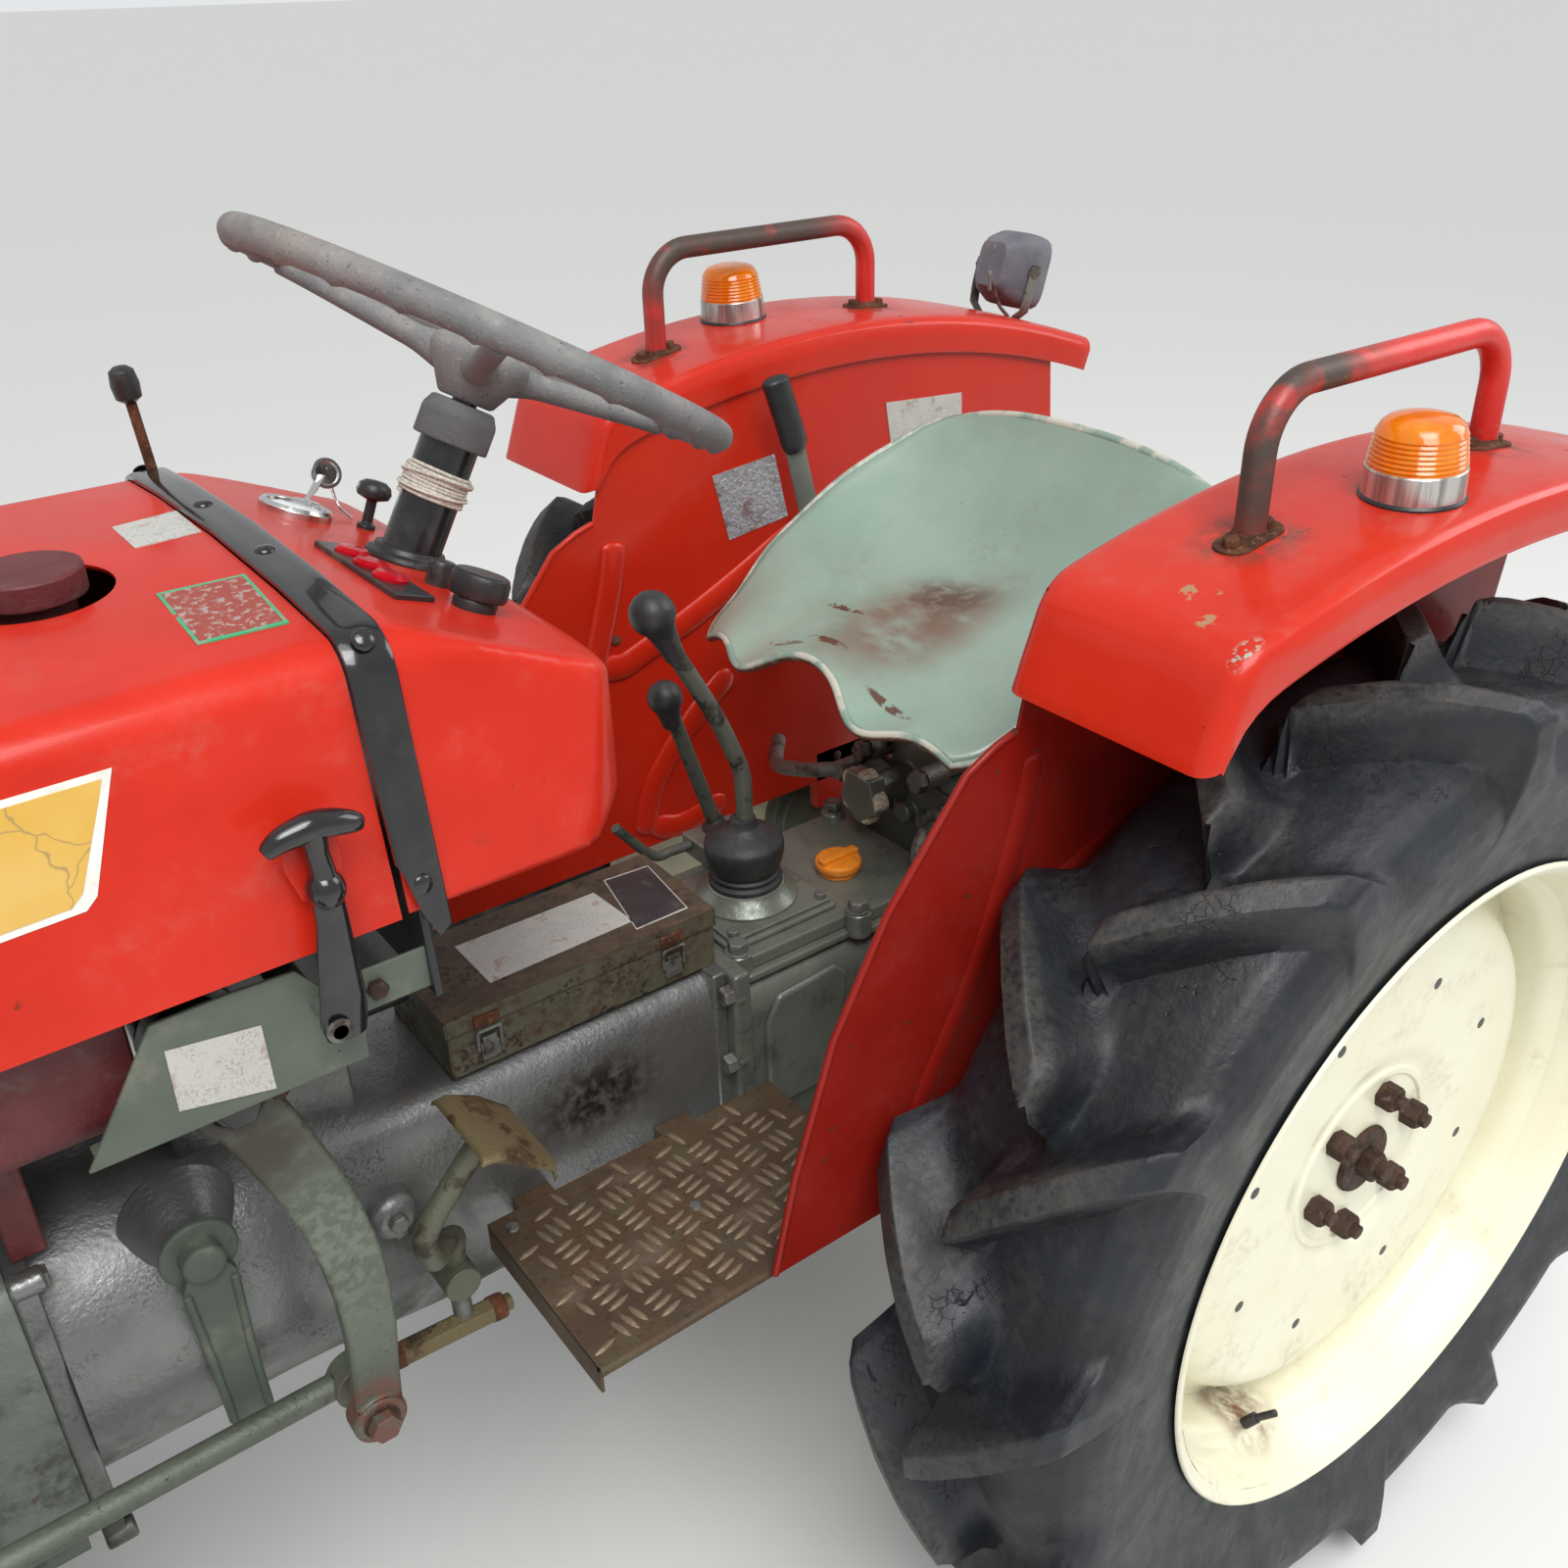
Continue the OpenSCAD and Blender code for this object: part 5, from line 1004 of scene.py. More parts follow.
def fender_cap(word, side):
    """Arch over the tyre: flat top, rolled shoulders, flanges and the bent-down front."""
    top = [CAP_BACK + (CAP_FRONT - CAP_BACK) * i / ARCH_STEPS for i in range(ARCH_STEPS)]
    top = [(x, cap_z(x)) for x in top]
    knee = [Vector(p) for p in ((288, cap_z(288)), (302, cap_z(302) - 2), (309, cap_z(300) - 20))]
    for i in range(1, 8):
        t = i / 8
        top.append(tuple((1 - t) ** 2 * knee[0] + 2 * t * (1 - t) * knee[1] + t * t * knee[2]))
    lip = Vector((CAP_FRONT + 29, cap_z(CAP_FRONT) - 76))
    top += [tuple(knee[2].lerp(lip, i / 6)) for i in range(7)]
    low = [(x * (CAP_R - FLANGE) / CAP_R, z - FLANGE * cos(asin(x / CAP_R))) for x, z in top[:ARCH_STEPS]]
    low = [p for p in low if p[0] < CAP_FRONT - 8]
    low += [(CAP_FRONT - 4, cap_z(CAP_FRONT) - 44), (lip.x - 14, lip.y + 5)]
    low = resampled([(*p, 0) for p in low], len(top))
    rows = []
    for i, (x, z) in enumerate(top):
        t = Vector((x, 0, z))
        down = Vector((low[i].x, 0, low[i].y)) - t
        depth = down.length
        down.normalize()
        r = min(13.0, depth * 0.8)
        crown = 2.5 * (1 - blend(i, 38, 47))
        edges = []
        for s, y in ((1, FENDER_Y), (-1, FENDER_Y + FENDER_W)):
            flange = [(y, max(depth * k, r + 1)) for k in (1.0, 0.86, 0.7, 0.55)]
            shoulder = [(y + s * r * (1 - cos(a)), r * (1 - sin(a))) for a in map(radians, range(0, 91, 18))]
            edges.append(flange + shoulder)
        inner, outer = edges
        middle = [(inner[-1][0] + (outer[-1][0] - inner[-1][0]) * k / 6, 0.0) for k in range(1, 6)]
        line = inner + middle + outer[::-1]
        mid_y = FENDER_Y + FENDER_W / 2
        pts = []
        for y, d in line:
            lower = crown * ((y - mid_y) / (FENDER_W / 2)) ** 2 if d < r else 0.0
            p = t + down * (d + lower)
            pts.append((p.x, side * y, p.z))
        rows.append(pts if side > 0 else pts[::-1])
    return skin("fender_cap_" + word, rows, fender_red, 2.6)


PLATE = [(323, 1009), (343, 1003), (371, 989), (443, 902), (494, 812), (532, 701), (554, 613), (-190, 613),
         (-262, 720), (-318, 880), (-335, 985), (-325, cap_z(-325) - 6)]
RIBS = ([(302, 985), (305, 966), (310, 942), (321, 905), (332, 871), (349, 823), (364, 789), (382, 756),
         (399, 722), (428, 655)],
        [(330, 852), (306, 846), (281, 853), (216, 877), (145, 908), (60, 948), (-60, 985)],
        [(164, 799), (192, 779), (220, 755), (248, 727), (273, 694), (286, 660), (290, 632)],
        [(283, 640), (250, 628), (220, 630), (180, 640)])


def rib_width(i, last):
    """Half the width of a rib at one of its points, rounded at both ends."""
    inward = min(1.0, max(0.06, (min(i, last - i) + 0.3) / 3.0))
    return 15 * sqrt(1 - (1 - inward) ** 2)


def fender_plate(word, side):
    """Side plate with its pressed ribs."""
    s = Solids()
    arch = [(x, cap_z(x) - 4) for x in range(-320, 301, 20)]
    y_in, y_out = side * (FENDER_Y + 3), side * (FENDER_Y + 6)
    s.prism(PLATE + arch, y_in, y_out)
    for rib in RIBS:
        line = spline([(x, y_in - side * 0.5, z) for x, z in rib], 6)
        last = len(line) - 1
        s.tube(line, [rib_width(i, last) for i in range(last + 1)], 16, 0.38, LEFTWARD)
    # Hem along the front edge
    s.tube([(x, side * (FENDER_Y + 4.5), z) for x, z in PLATE[:7]], 3.2, 10)
    s.box(-42, 42, *sorted((side * (FENDER_Y + 3), side * (FENDER_Y + 17))), AXLE_Z + 50.3, 652)
    # The left side plate takes a darker copy of the red: painted shade
    s.object("fender_side_" + word, [painted_shade_red if side > 0 else fender_red], "tractor", ["fender_" + word],
             bevel=0.5, slot="red_paint")
    bolts = Solids()
    for x, z in ((308, 877), (343, 782), (470, 690), (-200, 760), (10, 640), (330, 700)):
        bolts.dome((x, y_in, z), (0, -side, 0), 6, 3)
    bolts.object("fender_bolts_" + word, [rusty_steel], bevel=0)


n = Nodes("fender_red")
colour = n.colour(n.noise(220, 0.35, 0.65), RED, (0.56, 0.024, 0.008))
scuff = n.both(n.noise(90, 0.5, 0.75, 10.0), n.noise(12, 0.35, 0.65), 0.35)
colour = n.colour(scuff, colour, (0.42, 0.05, 0.03))
top_side = n.facing(0.5, 0.9)
pits = n.both(n.noise(17, 0.665, 0.70, 4.0, (2.2, 1, 1)), n.noise(150, 0.42, 0.56), top_side)
few = n.both(n.noise(13, 0.74, 0.76, 4.0), n.noise(110, 0.5, 0.6))
feet = [n.near((x, y, cap_z(x)), 18, 52, (1, 1, 1)) for x in (186, -99) for y in (379, -379)]
ring = n.both(n.either(*feet), n.noise(26, 0.38, 0.58, 10.0), 0.8)
# Chip on the outer front corner, with bare primer, and a scratch behind it
chip = n.both(n.near((292, 464, cap_z(292) - 4), 6, 13, (1.7, 0.7, 1)), n.noise(6, 0.50, 0.53, 4.0))
hook = n.both(n.near((262, 402, cap_z(262)), 14, 22, (0.55, 1.4, 1)), n.noise(9, 0.56, 0.6))
hook = n.either(hook, n.both(n.near((283, 425, cap_z(283)), 6, 9), n.noise(8, 0.5, 0.55)))
colour = n.colour(n.either(pits, few), colour, (0.07, 0.02, 0.014))
colour = n.colour(ring, colour, (0.10, 0.045, 0.032))
colour = n.colour(hook, colour, (0.38, 0.20, 0.10))
colour = n.colour(chip, colour, (0.40, 0.36, 0.29))
dust = n.both(n.noise(70, 0.45, 0.7, 10.0), n.noise(14, 0.35, 0.65), top_side, 0.14)
colour = n.colour(dust, colour, (0.42, 0.22, 0.17))
n.bump(n.math("MULTIPLY", n.either(pits, few, chip), -1.0), 0.35)
n.bump(n.noise(140, 0.2, 0.8, 2.0), 1.2)
rough = n.value(n.either(ring, pits, scuff, dust), n.value(n.noise(60, 0.35, 0.65), 0.26, 0.36), 0.6)
fender_red = n.done(colour, rough, Coat_Weight=0.25, Coat_Roughness=0.1, IOR=1.3)
# Darker copy of the red for the left side plate: painted shade, as that plate stands in shadow
painted_shade_red = painted("painted_shade_red", (0.23, 0.007, 0.003), fade=0.3, dust=0.04, chips=1.2, rust=0.35,
                     coat=0.15, ior=1.3)
for word, side in SIDES:
    fender_cap(word, side)
    fender_plate(word, side)

n = Nodes("foil_label")
wrinkle = n.noise(6, 0.35, 0.65, 8.0)
foil = n.colour(n.noise(26, 0.52, 0.64, 8.0), (0.44, 0.44, 0.46), (0.30, 0.20, 0.20))
foil = n.colour(n.both(n.noise(2.0, 0.52, 0.58), n.noise(30, 0.4, 0.6), 0.7), foil, (0.20, 0.19, 0.20))
n.bump(wrinkle, 0.8)
foil_label = n.done(foil, 0.32, 0.55)


def cap_directions(x):
    """Directions along the fender's arch and away from it."""
    tilt = asin(x / CAP_R)
    return Vector((cos(tilt), 0, -sin(tilt))), Vector((sin(tilt), 0, cos(tilt)))


sticker("foil_plate", upright_corners(LABEL_Y, [(176, 1029), (94, 1037), (78, 964), (158, 954)]),
        [foil_label], normal=LEFTWARD)
sticker("fender_label", upright_corners(LABEL_Y, [(-64, 1065), (-180, 1057), (-182, 1022), (-72, 1016)]),
        [worn_label], normal=LEFTWARD)
sticker("fender_plate_black", upright_corners(LABEL_Y, [(379, 713), (340, 708), (343, 668), (380, 673)]),
        [worn_label, black_label], normal=LEFTWARD, edge=1.2)
n = Nodes("gravel_label")
gravel = n.colour(n.noise(4, 0.42, 0.58, 8.0), (0.34, 0.24, 0.14), (0.14, 0.09, 0.05))
gravel_label = n.done(gravel, 0.7)


def on_cap(x, y, lift=0.0):
    """Point on the fender's arch, or over it."""
    return (x * (CAP_R + lift) / CAP_R, y, cap_z(x) + lift * cos(asin(x / CAP_R)))


CAP_LABEL = ((120, -330, -1.2), (120, -392, 0), (10, -392, 0), (10, -330, -1.2))
CAP_STRIP = ((185, -312, -1.5), (185, -330, -1), (126, -330, -1), (126, -312, -1.5))
sticker("cap_label", [on_cap(*corner) for corner in CAP_LABEL], [gravel_label], lift=1.6)
sticker("cap_strip", [on_cap(*corner) for corner in CAP_STRIP], [worn_label], lift=1.4)

# Grab rails: tube, feet and their bolts
n = Nodes("rail_paint")
worn = n.both(n.near((186, 379, 1236), 60, 150, (1.0, 9.0, 1.0)), n.noise(50, 0.3, 0.55, 8.0))
worn = n.either(worn, n.both(n.near((80, -379, 1240), 90, 190, (1.0, 3.0, 0.6)), n.noise(50, 0.25, 0.5, 8.0)))
tip = n.both(n.noise(40, 0.44, 0.62, 9.0), n.facing(0.0, 0.8))
colour = n.colour(n.noise(80, 0.35, 0.65), (0.50, 0.018, 0.014), (0.60, 0.03, 0.02))
colour = n.colour(n.both(tip, 0.6), colour, (0.22, 0.04, 0.03))
colour = n.colour(worn, colour, (0.085, 0.06, 0.05))
edge = n.noise(9, 0.66, 0.70, 6.0)
colour = n.colour(n.both(edge, n.noise(90, 0.4, 0.6)), colour, (0.26, 0.13, 0.06))
n.bump(n.noise(5, 0.3, 0.7, 6.0), 0.12)
rail_red = n.done(colour, n.value(n.either(worn, edge), 0.34, 0.5), n.value(worn, 0.0, 0.4))
RAIL_Y, RAIL_X, RAIL_BEND, RAIL_R = 379.0, (186.0, -99.0), 44.0, 11.0
rail_top = cap_z(0) + 90
s = Solids()
for word, side in SIDES:
    y = side * RAIL_Y
    path = [(RAIL_X[0], y, cap_z(RAIL_X[0]) + 1)]
    path += [(x, y, z) for x, z in arc(RAIL_X[0] - RAIL_BEND, rail_top - RAIL_BEND, RAIL_BEND, 0, 90, 12)]
    path += [(x, y, z) for x, z in arc(RAIL_X[1] + RAIL_BEND, rail_top - RAIL_BEND, RAIL_BEND, 90, 180, 12)]
    path += [(RAIL_X[1], y, cap_z(RAIL_X[1]) + 1)]
    s.slot = 0
    s.tube(path, RAIL_R, 32, 1.0, LEFTWARD)
    for x in RAIL_X:
        along, up = cap_directions(x)
        base = Vector(on_cap(x, y, 0.3))
        s.slot = 1
        outline = [along * (17 * c + 12 * cos(a)) + Vector((0, 12 * sin(a) * 1.2, 0))
                   for c, start in ((1, -90), (-1, 90)) for a in (radians(start + 18 * i) for i in range(11))]
        s.loft([[base + up * t + p for p in outline] for t in (0, 4)])
        for dx in (-18, 18):
            s.hexagon(base + along * dx + up * 4, up, 11, 6, 0.3)
        s.lathe([(14, 3.5), (12, 6), (11.2, 9)], base, up, 24)
s.object("grab_rails_bent", [rail_red, rusty_steel], "tractor", ["grab_rails"], bevel=0.4, slot="red_paint")

# Seat

SEAT_Z, SEAT_BACK = 970.0, 150.0
# Lines across the seat: x and height of the middle, half the width, x and height of the edges
SEAT_ROWS = [(275, -20, 178, 268, -58), (250, -19, 194, 248, -52), (214, -15, 203, 214, -34),
             (170, -9, 209, 170, 2), (124, -3, 210, 120, 32), (86, 0, 209, 80, 54), (50, 8, 206, 40, 71),
             (20, 26, 200, 6, 84), (-6, 52, 193, -16, 94), (-27, 80, 184, -32, 101),
             (-43, 107, 175, -44, 105), (-54, SEAT_BACK - 20, 163, -52, 108)]


def seat_point(row, u):
    """Point of the pan; u runs from the right edge (-1) to the left one (1)."""
    x, z, half, x_side, z_side = row
    s = abs(u)
    k = s ** 2.6
    front = max(0.0, (x - 150) / 125)
    thigh = exp(-((s - 0.48) / 0.24) ** 2)
    return Vector((x + (x_side - x) * k + 22 * front ** 2 * thigh, u * half,
                   SEAT_Z + z + (z_side - z) * k - 26 * front * thigh))


def between(rows, t):
    """Row of the table at a broken index."""
    i = min(int(t), len(rows) - 2)
    f = t - i
    pick = [rows[max(0, min(len(rows) - 1, i + k))] for k in (-1, 0, 1, 2)]
    return [smooth(a, b, c, d, f) for a, b, c, d in zip(*pick)]


n = Nodes("seat_enamel")
base = (0.215, 0.305, 0.245)
colour = n.colour(n.noise(150, 0.3, 0.7), base, (0.27, 0.36, 0.29))
stain = n.near((165, 18, 963), 30, 120, (1.25, 0.8, 1))
stain = n.both(stain, n.noise(60, 0.30, 0.60, 10.0, (1, 2.2, 1)))
colour = n.colour(stain, colour, (0.15, 0.085, 0.055))
core = n.both(n.near((120, 8, 964), 10, 60), n.noise(22, 0.40, 0.56, 8.0))
colour = n.colour(core, colour, (0.085, 0.035, 0.022))
film = n.both(n.noise(80, 0.48, 0.7, 10.0), n.noise(9, 0.4, 0.6), 0.5, n.near((60, 0, 980), 90, 210))
colour = n.colour(film, colour, (0.20, 0.17, 0.11))
dots = n.both(n.noise(8, 0.70, 0.73, 4.0), n.noise(70, 0.50, 0.62), n.near((40, -20, 985), 60, 200))
scratches = [n.both(n.near(at, 14, 22, (across, 1.6, 1)), n.noise(10, 0.44, 0.5))
             for at, across in (((258, -62, 938), 0.25), ((262, 88, 932), 0.25), ((244, -18, 946), 0.3),
                                ((190, -60, 955), 0.2))]
colour = n.colour(n.either(dots, *scratches), colour, (0.10, 0.04, 0.022))
n.bump(n.math("MULTIPLY", n.either(core, dots), -1.0), 0.3)
n.bump(n.noise(70, 0.2, 0.8, 2.0), 0.8)
rough = n.value(n.either(stain, core, film), n.value(n.noise(60, 0.35, 0.65), 0.24, 0.34), 0.6)
seat_enamel = n.done(colour, rough, Coat_Weight=0.3, Coat_Roughness=0.1)
n = Nodes("seat_edge")
colour = n.colour(n.noise(30, 0.40, 0.56, 9.0), base, (0.50, 0.48, 0.40))
front_edge = n.both(n.along_x(190, 235), n.facing(0.35, -0.2))
colour = n.colour(n.both(front_edge, n.noise(20, 0.25, 0.45, 9.0)), colour, (0.13, 0.05, 0.03))
n.bump(n.math("MULTIPLY", front_edge, n.noise(9, 0.3, 0.7, 8.0)), 1.5)
seat_edge = n.done(colour, 0.42)

ACROSS, ALONG = 48, 55
rows = []
for i in range(ALONG + 1):
    row = between(SEAT_ROWS, (len(SEAT_ROWS) - 1) * i / ALONG)
    rows.append([seat_point(row, 2 * j / ACROSS - 1) for j in range(ACROSS + 1)])
# The drain hole's lip pulls the sheet down round it
hole = Vector((86, 0, SEAT_Z))
for row in rows:
    for p in row:
        d = (Vector((p.x, p.y, SEAT_Z)) - hole).length
        p.z -= 5.0 * exp(-(d / 24.0) ** 2)
seat = skin("seat_pressed", [[(p.x, p.y, p.z) for p in row][::-1] for row in rows], seat_enamel, 3.0)
seat.modifiers.remove(seat.modifiers["edges"])
s = Solids()
border = rows[0] + [r[-1] for r in rows[1:-1]] + rows[-1][::-1] + [r[0] for r in rows[-2:0:-1]]
border = [p - Vector((0, 0, 1.6)) for p in border]
s.tube(border + border[:1], 4.6, 14, caps=False)
s.object("seat_rolled_edge", [seat_edge], bevel=0, sharp=80)
s = Solids()
s.lathe([(12, -9), (12, -4), (14, -2.2), (17, -2.6), (17, -4)], hole - Vector((0, 0, 1.5)), UPWARD, 32)
# Black disc in the drain hole: painted shade in place of the opening
s.slot = 1
s.lathe([(12.2, -2.4), (0, -2.4)], hole - Vector((0, 0, 2.0)), UPWARD, 32)
s.object("seat_drain", [chrome, black_plastic], "tractor", ["seat_pan"], bevel=0, slot="green_grey_paint")

# Steering wheel and column

LEAN = radians(30)
HUB = Vector((564, 0, 1265))
COLUMN = Vector((-sin(LEAN), 0, cos(LEAN)))
WHEEL_R, WHEEL_RIM_R, RIM_RISE, RIM_STEPS = 174.0, 10.5, 11.0, 288


def on_column(r, angle, h):
    """Point at a radius, an angle and a height along the column."""
    flat = Vector((cos(LEAN), 0, sin(LEAN)))
    a = radians(angle)
    return HUB + COLUMN * h + (flat * cos(a) + Vector(LEFTWARD) * sin(a)) * r


n = Nodes("wheel_plastic")
bare = n.noise(60, 0.35, 0.65, 10.0)
tint = n.colour(bare, (0.135, 0.137, 0.14), (0.195, 0.193, 0.19))
tint = n.colour(n.both(n.noise(24, 0.40, 0.70, 12.0), n.facing(-0.2, 0.8), 0.7), tint, (0.28, 0.268, 0.25))
front_part = n.along_x(640, 700)
tint = n.colour(n.both(front_part, n.noise(40, 0.3, 0.7), 0.6), tint, (0.27, 0.225, 0.20))
tint = n.colour(n.noise(3.2, 0.62, 0.70, 4.0), tint, (0.07, 0.07, 0.07))
tint = n.colour(n.both(n.noise(6, 0.62, 0.68, 6.0), 0.35), tint, (0.36, 0.34, 0.31))
n.bump(n.noise(2.2, 0.3, 0.7, 4.0), 0.22)
wheel_plastic = n.done(tint, n.value(bare, 0.62, 0.8))

s = Solids()
rings = []
for i in range(RIM_STEPS):
    a = 360 / RIM_STEPS * i
    out = (on_column(1, a, 0) - on_column(0, a, 0)).normalized()
    centre = on_column(WHEEL_R, a, RIM_RISE)
    ring = []
    for j in range(32):
        b = 2 * pi * j / 32
        # Finger grips: a small ridge under the rim every fifteen degrees
        ridge = exp(-(((a + 7.5) % 15 - 7.5) / 1.3) ** 2)
        r = WHEEL_RIM_R + 2.2 * ridge * max(0.0, -sin(b)) ** 4
        ring.append(centre + out * r * cos(b) + COLUMN * r * sin(b))
    rings.append(ring)
s.loft(rings + rings[:1], caps=False)
s.lathe([(0, -34.5), (18, -34.5), (20.5, -33), (34, -9), (36, -3), (34.5, 3), (29, 6), (0, 7)],
        HUB, COLUMN, 64)
SPOKE_ANGLES = (65, 185, 305)
for a in SPOKE_ANGLES:
    path = [on_column(r, a, h) for r, h in ((20, -9), (50, -6), (90, -2), (135, 2), (171, 5))]
    side = (on_column(1, a + 90, 0) - on_column(0, 0, 0)).normalized()
    line = spline(path, 5)
    count = len(line)
    width = [14 - 5.0 * blend(i / count, 0.0, 0.3) - 1.8 * blend(i / count, 0.3, 0.9) for i in range(count)]
    s.tube(line, width, 20, 1.0, side)
s.object("steering_wheel_grip", [wheel_plastic], "steering_wheel", ["steering_wheel"], sharp=60, bevel=0,
         slot="grey_plastic")
s = Solids()
s.lathe([(27, 5), (26, 9), (20, 11.5), (0, 12)], HUB, COLUMN, 48)
s.object("horn_cap", [black_plastic], "steering_wheel", bevel=0.4)

collar_grey = plain("collar_grey", (0.10, 0.10, 0.105), 0.75, grain=0.3, grime=0.4)
tube_black = painted("column_black", (0.006, 0.007, 0.009), rough=0.22, fade=0.2, dust=0.1, chips=0.7,
                     rust=0.1, coat=0.4)
refine("steering_column", tube_black, 1.0, slot="black_paint")
s = Solids()
s.lathe([(0, -36.4), (20.6, -36.4), (22.8, -37.4), (26.3, -44), (26.9, -47), (26.9, -65), (26, -66),
         (0, -66)], HUB, COLUMN, 64)
s.object("column_collar", [collar_grey], bevel=0.6)
s = Solids()
s.lathe([(0, -1), (30, -1), (31, 1), (30, 4.5), (26, 6), (24.5, 10), (0, 10)], dash(641, 0), UP, 48)
s.object("column_grommet", [black_plastic], bevel=0.6)

n = Nodes("cord_cotton")
strand = n.colour(n.noise(2.2, 0.35, 0.65, 2.0), (0.70, 0.66, 0.58), (0.50, 0.45, 0.38))
n.bump(n.noise(1.6, 0.3, 0.7, 2.0), 0.3)
cord_cotton = n.done(strand, 0.9)
turns, steps = 9, 48
winding = []
for i in range(turns * steps + 1):
    a = 360.0 * i / steps
    h = -85.5 - 2.5 * a / 360.0 + 0.22 * sin(radians(a * 2.3)) + 0.15 * sin(radians(a * 0.61 + 40))
    winding.append(on_column(22.4 + 0.15 * sin(radians(a * 1.7)), a, h))
s = Solids()
s.tube(winding, 1.35, 8)
for k, (h, tilt) in enumerate(((-92, 2.6), (-101, -1.8))):
    loop = [on_column(24.6, 9 * i, h + tilt * sin(radians(9 * i + 60 * k))) for i in range(41)]
    s.tube(loop, 1.2, 8)
s.ball(on_column(24.5, 165, -90), 2.6)
s.object("column_cord", [cord_cotton], bevel=0, sharp=80)

# Clutch housing and gearbox

n = Nodes("housing_silver")
base = n.colour(n.noise(120, 0.3, 0.7), (0.19, 0.195, 0.19), (0.25, 0.255, 0.245))
splash = n.noise(42, 0.50, 0.66, 12.0)
fine = n.noise(2.6, 0.52, 0.60, 3.0)
top_band = n.both(n.step(n.axis("z"), 0.66, 0.70), n.step(n.axis("z"), 0.745, 0.71))
speckle = n.both(fine, n.either(n.both(splash, 0.8), n.both(top_band, n.noise(70, 0.42, 0.62))))
base = n.colour(n.both(speckle, 0.6), base, (0.06, 0.056, 0.048))
smoke = n.both(n.noise(95, 0.48, 0.68, 9.0), n.noise(14, 0.3, 0.7), 0.55)
base = n.colour(smoke, base, (0.075, 0.075, 0.068))
burn = n.both(n.near((585, 95, 668), 12, 52, (1.6, 1, 1)), n.noise(12, 0.3, 0.6, 8.0))
base = n.colour(burn, base, (0.04, 0.03, 0.026))
low = n.both(n.step(n.axis("z"), 0.60, 0.53), n.noise(40, 0.3, 0.6, 9.0))
base = n.colour(low, base, (0.07, 0.066, 0.055))
n.bump(n.noise(4.5, 0.25, 0.75, 3.0), 0.22)
n.bump(n.noise(60, 0.2, 0.8, 2.0), 0.8)
even = n.either(smoke, speckle, low)
silver_cast = n.done(base, n.value(even, n.value(n.noise(50, 0.35, 0.65), 0.34, 0.46), 0.68), 0.75)

HOUSE_FRONT, HOUSE_BACK, HOUSE_TOP, HOUSE_LOW, HOUSE_HALF = 1030.0, 450.0, 735.0, 512.0, 95.0
BELL_R, CRANK_Z = 132.0, 640.0
s = Solids()
rings = []
for i in range(30):
    t = i / 29
    x = HOUSE_BACK + (HOUSE_FRONT - 16 - HOUSE_BACK) * t
    bell = blend(x, 730, 872)
    ring = []
    for j in range(72):
        a = radians(5 * j)
        c, q = cos(a), sin(a)
        # Rounded box behind, round bell in front
        half_h = (HOUSE_TOP - HOUSE_LOW) / 2
        k = (abs(c / HOUSE_HALF) ** 5.5 + abs(q / half_h) ** 5.5) ** (-1 / 5.5)
        box_p = Vector((0, k * c, (HOUSE_TOP + HOUSE_LOW) / 2 + k * q))
        bell_p = Vector((0, BELL_R * c, CRANK_Z + BELL_R * q))
        p = box_p.lerp(bell_p, bell)
        ring.append((x, p.y, p.z))
    rings.append(ring)
s.loft(rings)
s.object("clutch_housing_cast", [silver_cast], "tractor", ["clutch_housing"], bevel=0, sharp=60,
         slot="silver_housing")
s = Solids()
s.box(HOUSE_FRONT - 16, HOUSE_FRONT, -124, 124, 500, 764)
s.box(772, 905, -60, 60, 700, 800)
s.box(HOUSE_BACK, HOUSE_BACK + 14, -96, 96, 508, 736)
s.lathe([(42, 0), (38, 8), (26, 34), (24, 46), (24, 48)], (918, 86, 735), LEFTWARD, 48)
s.lathe([(20, 0), (20, 34), (15, 40), (10, 41), (0, 41)], (777, 80, 665), LEFTWARD, 32)
s.box(764, 786, 85, 104, 630, 668)
s.rod((804, 88, 704), (804, 97, 704), 8)
for y, z in ((118, 760), (118, 506), (-118, 760), (-118, 506)):
    s.rod((HOUSE_FRONT - 22, y, z), (HOUSE_FRONT, y, z), 9)
s.object("clutch_housing_flanges", [silver_cast], bevel=2.5, steps=3)
s = Solids()
for side in (1, -1):
    for y, z in ((108, 752), (112, 690), (114, 600), (108, 520)):
        s.hexagon((HOUSE_FRONT - 16, side * y, z), (-1, 0, 0), 15, 9)
for side in (1, -1):
    for z in (715, 640, 560):
        s.hexagon((HOUSE_BACK, side * 101, z), FORWARD, 17, 10)
s.hexagon((777, 121, 665), LEFTWARD, 14, 6)
s.hexagon((804, 97, 704), LEFTWARD, 11, 4)
s.object("housing_bolts", [worn_steel], bevel=0.5)

case_green = cast("case_green", (0.135, 0.15, 0.125), rough=0.36, metal=0.35, grime=0.6, grain=0.3)
cover_green = cast("cover_green", (0.16, 0.175, 0.145), rough=0.30, metal=0.4, grime=0.45, grain=0.2)
refine("gearbox_case", case_green, 4.0, steps=3, slot="grey_casting")
refine("lift_case", cover_green, 3.0, steps=3, slot="grey_casting")
refine("axle_housings", case_green, 3.0, steps=3, slot="grey_casting")
# Sides of the gearbox: bosses of the front flange's bolts and two raised pads
s = Solids()
for side in (1, -1):
    for z in (708, 640, 560, 492):
        s.rod((436, side * 96, z), (449, side * 96, z), 13)
    for outline, y in (([(410, 560), (410, 660), (396, 684), (330, 690), (316, 676), (330, 560)], 99),
                       ([(300, 600), (300, 660), (284, 676), (220, 676), (206, 660), (212, 600)], 101)):
        s.prism(outline, *sorted((side * 91, side * y)))
s.object("case_ribs", [case_green], bevel=4, steps=3)

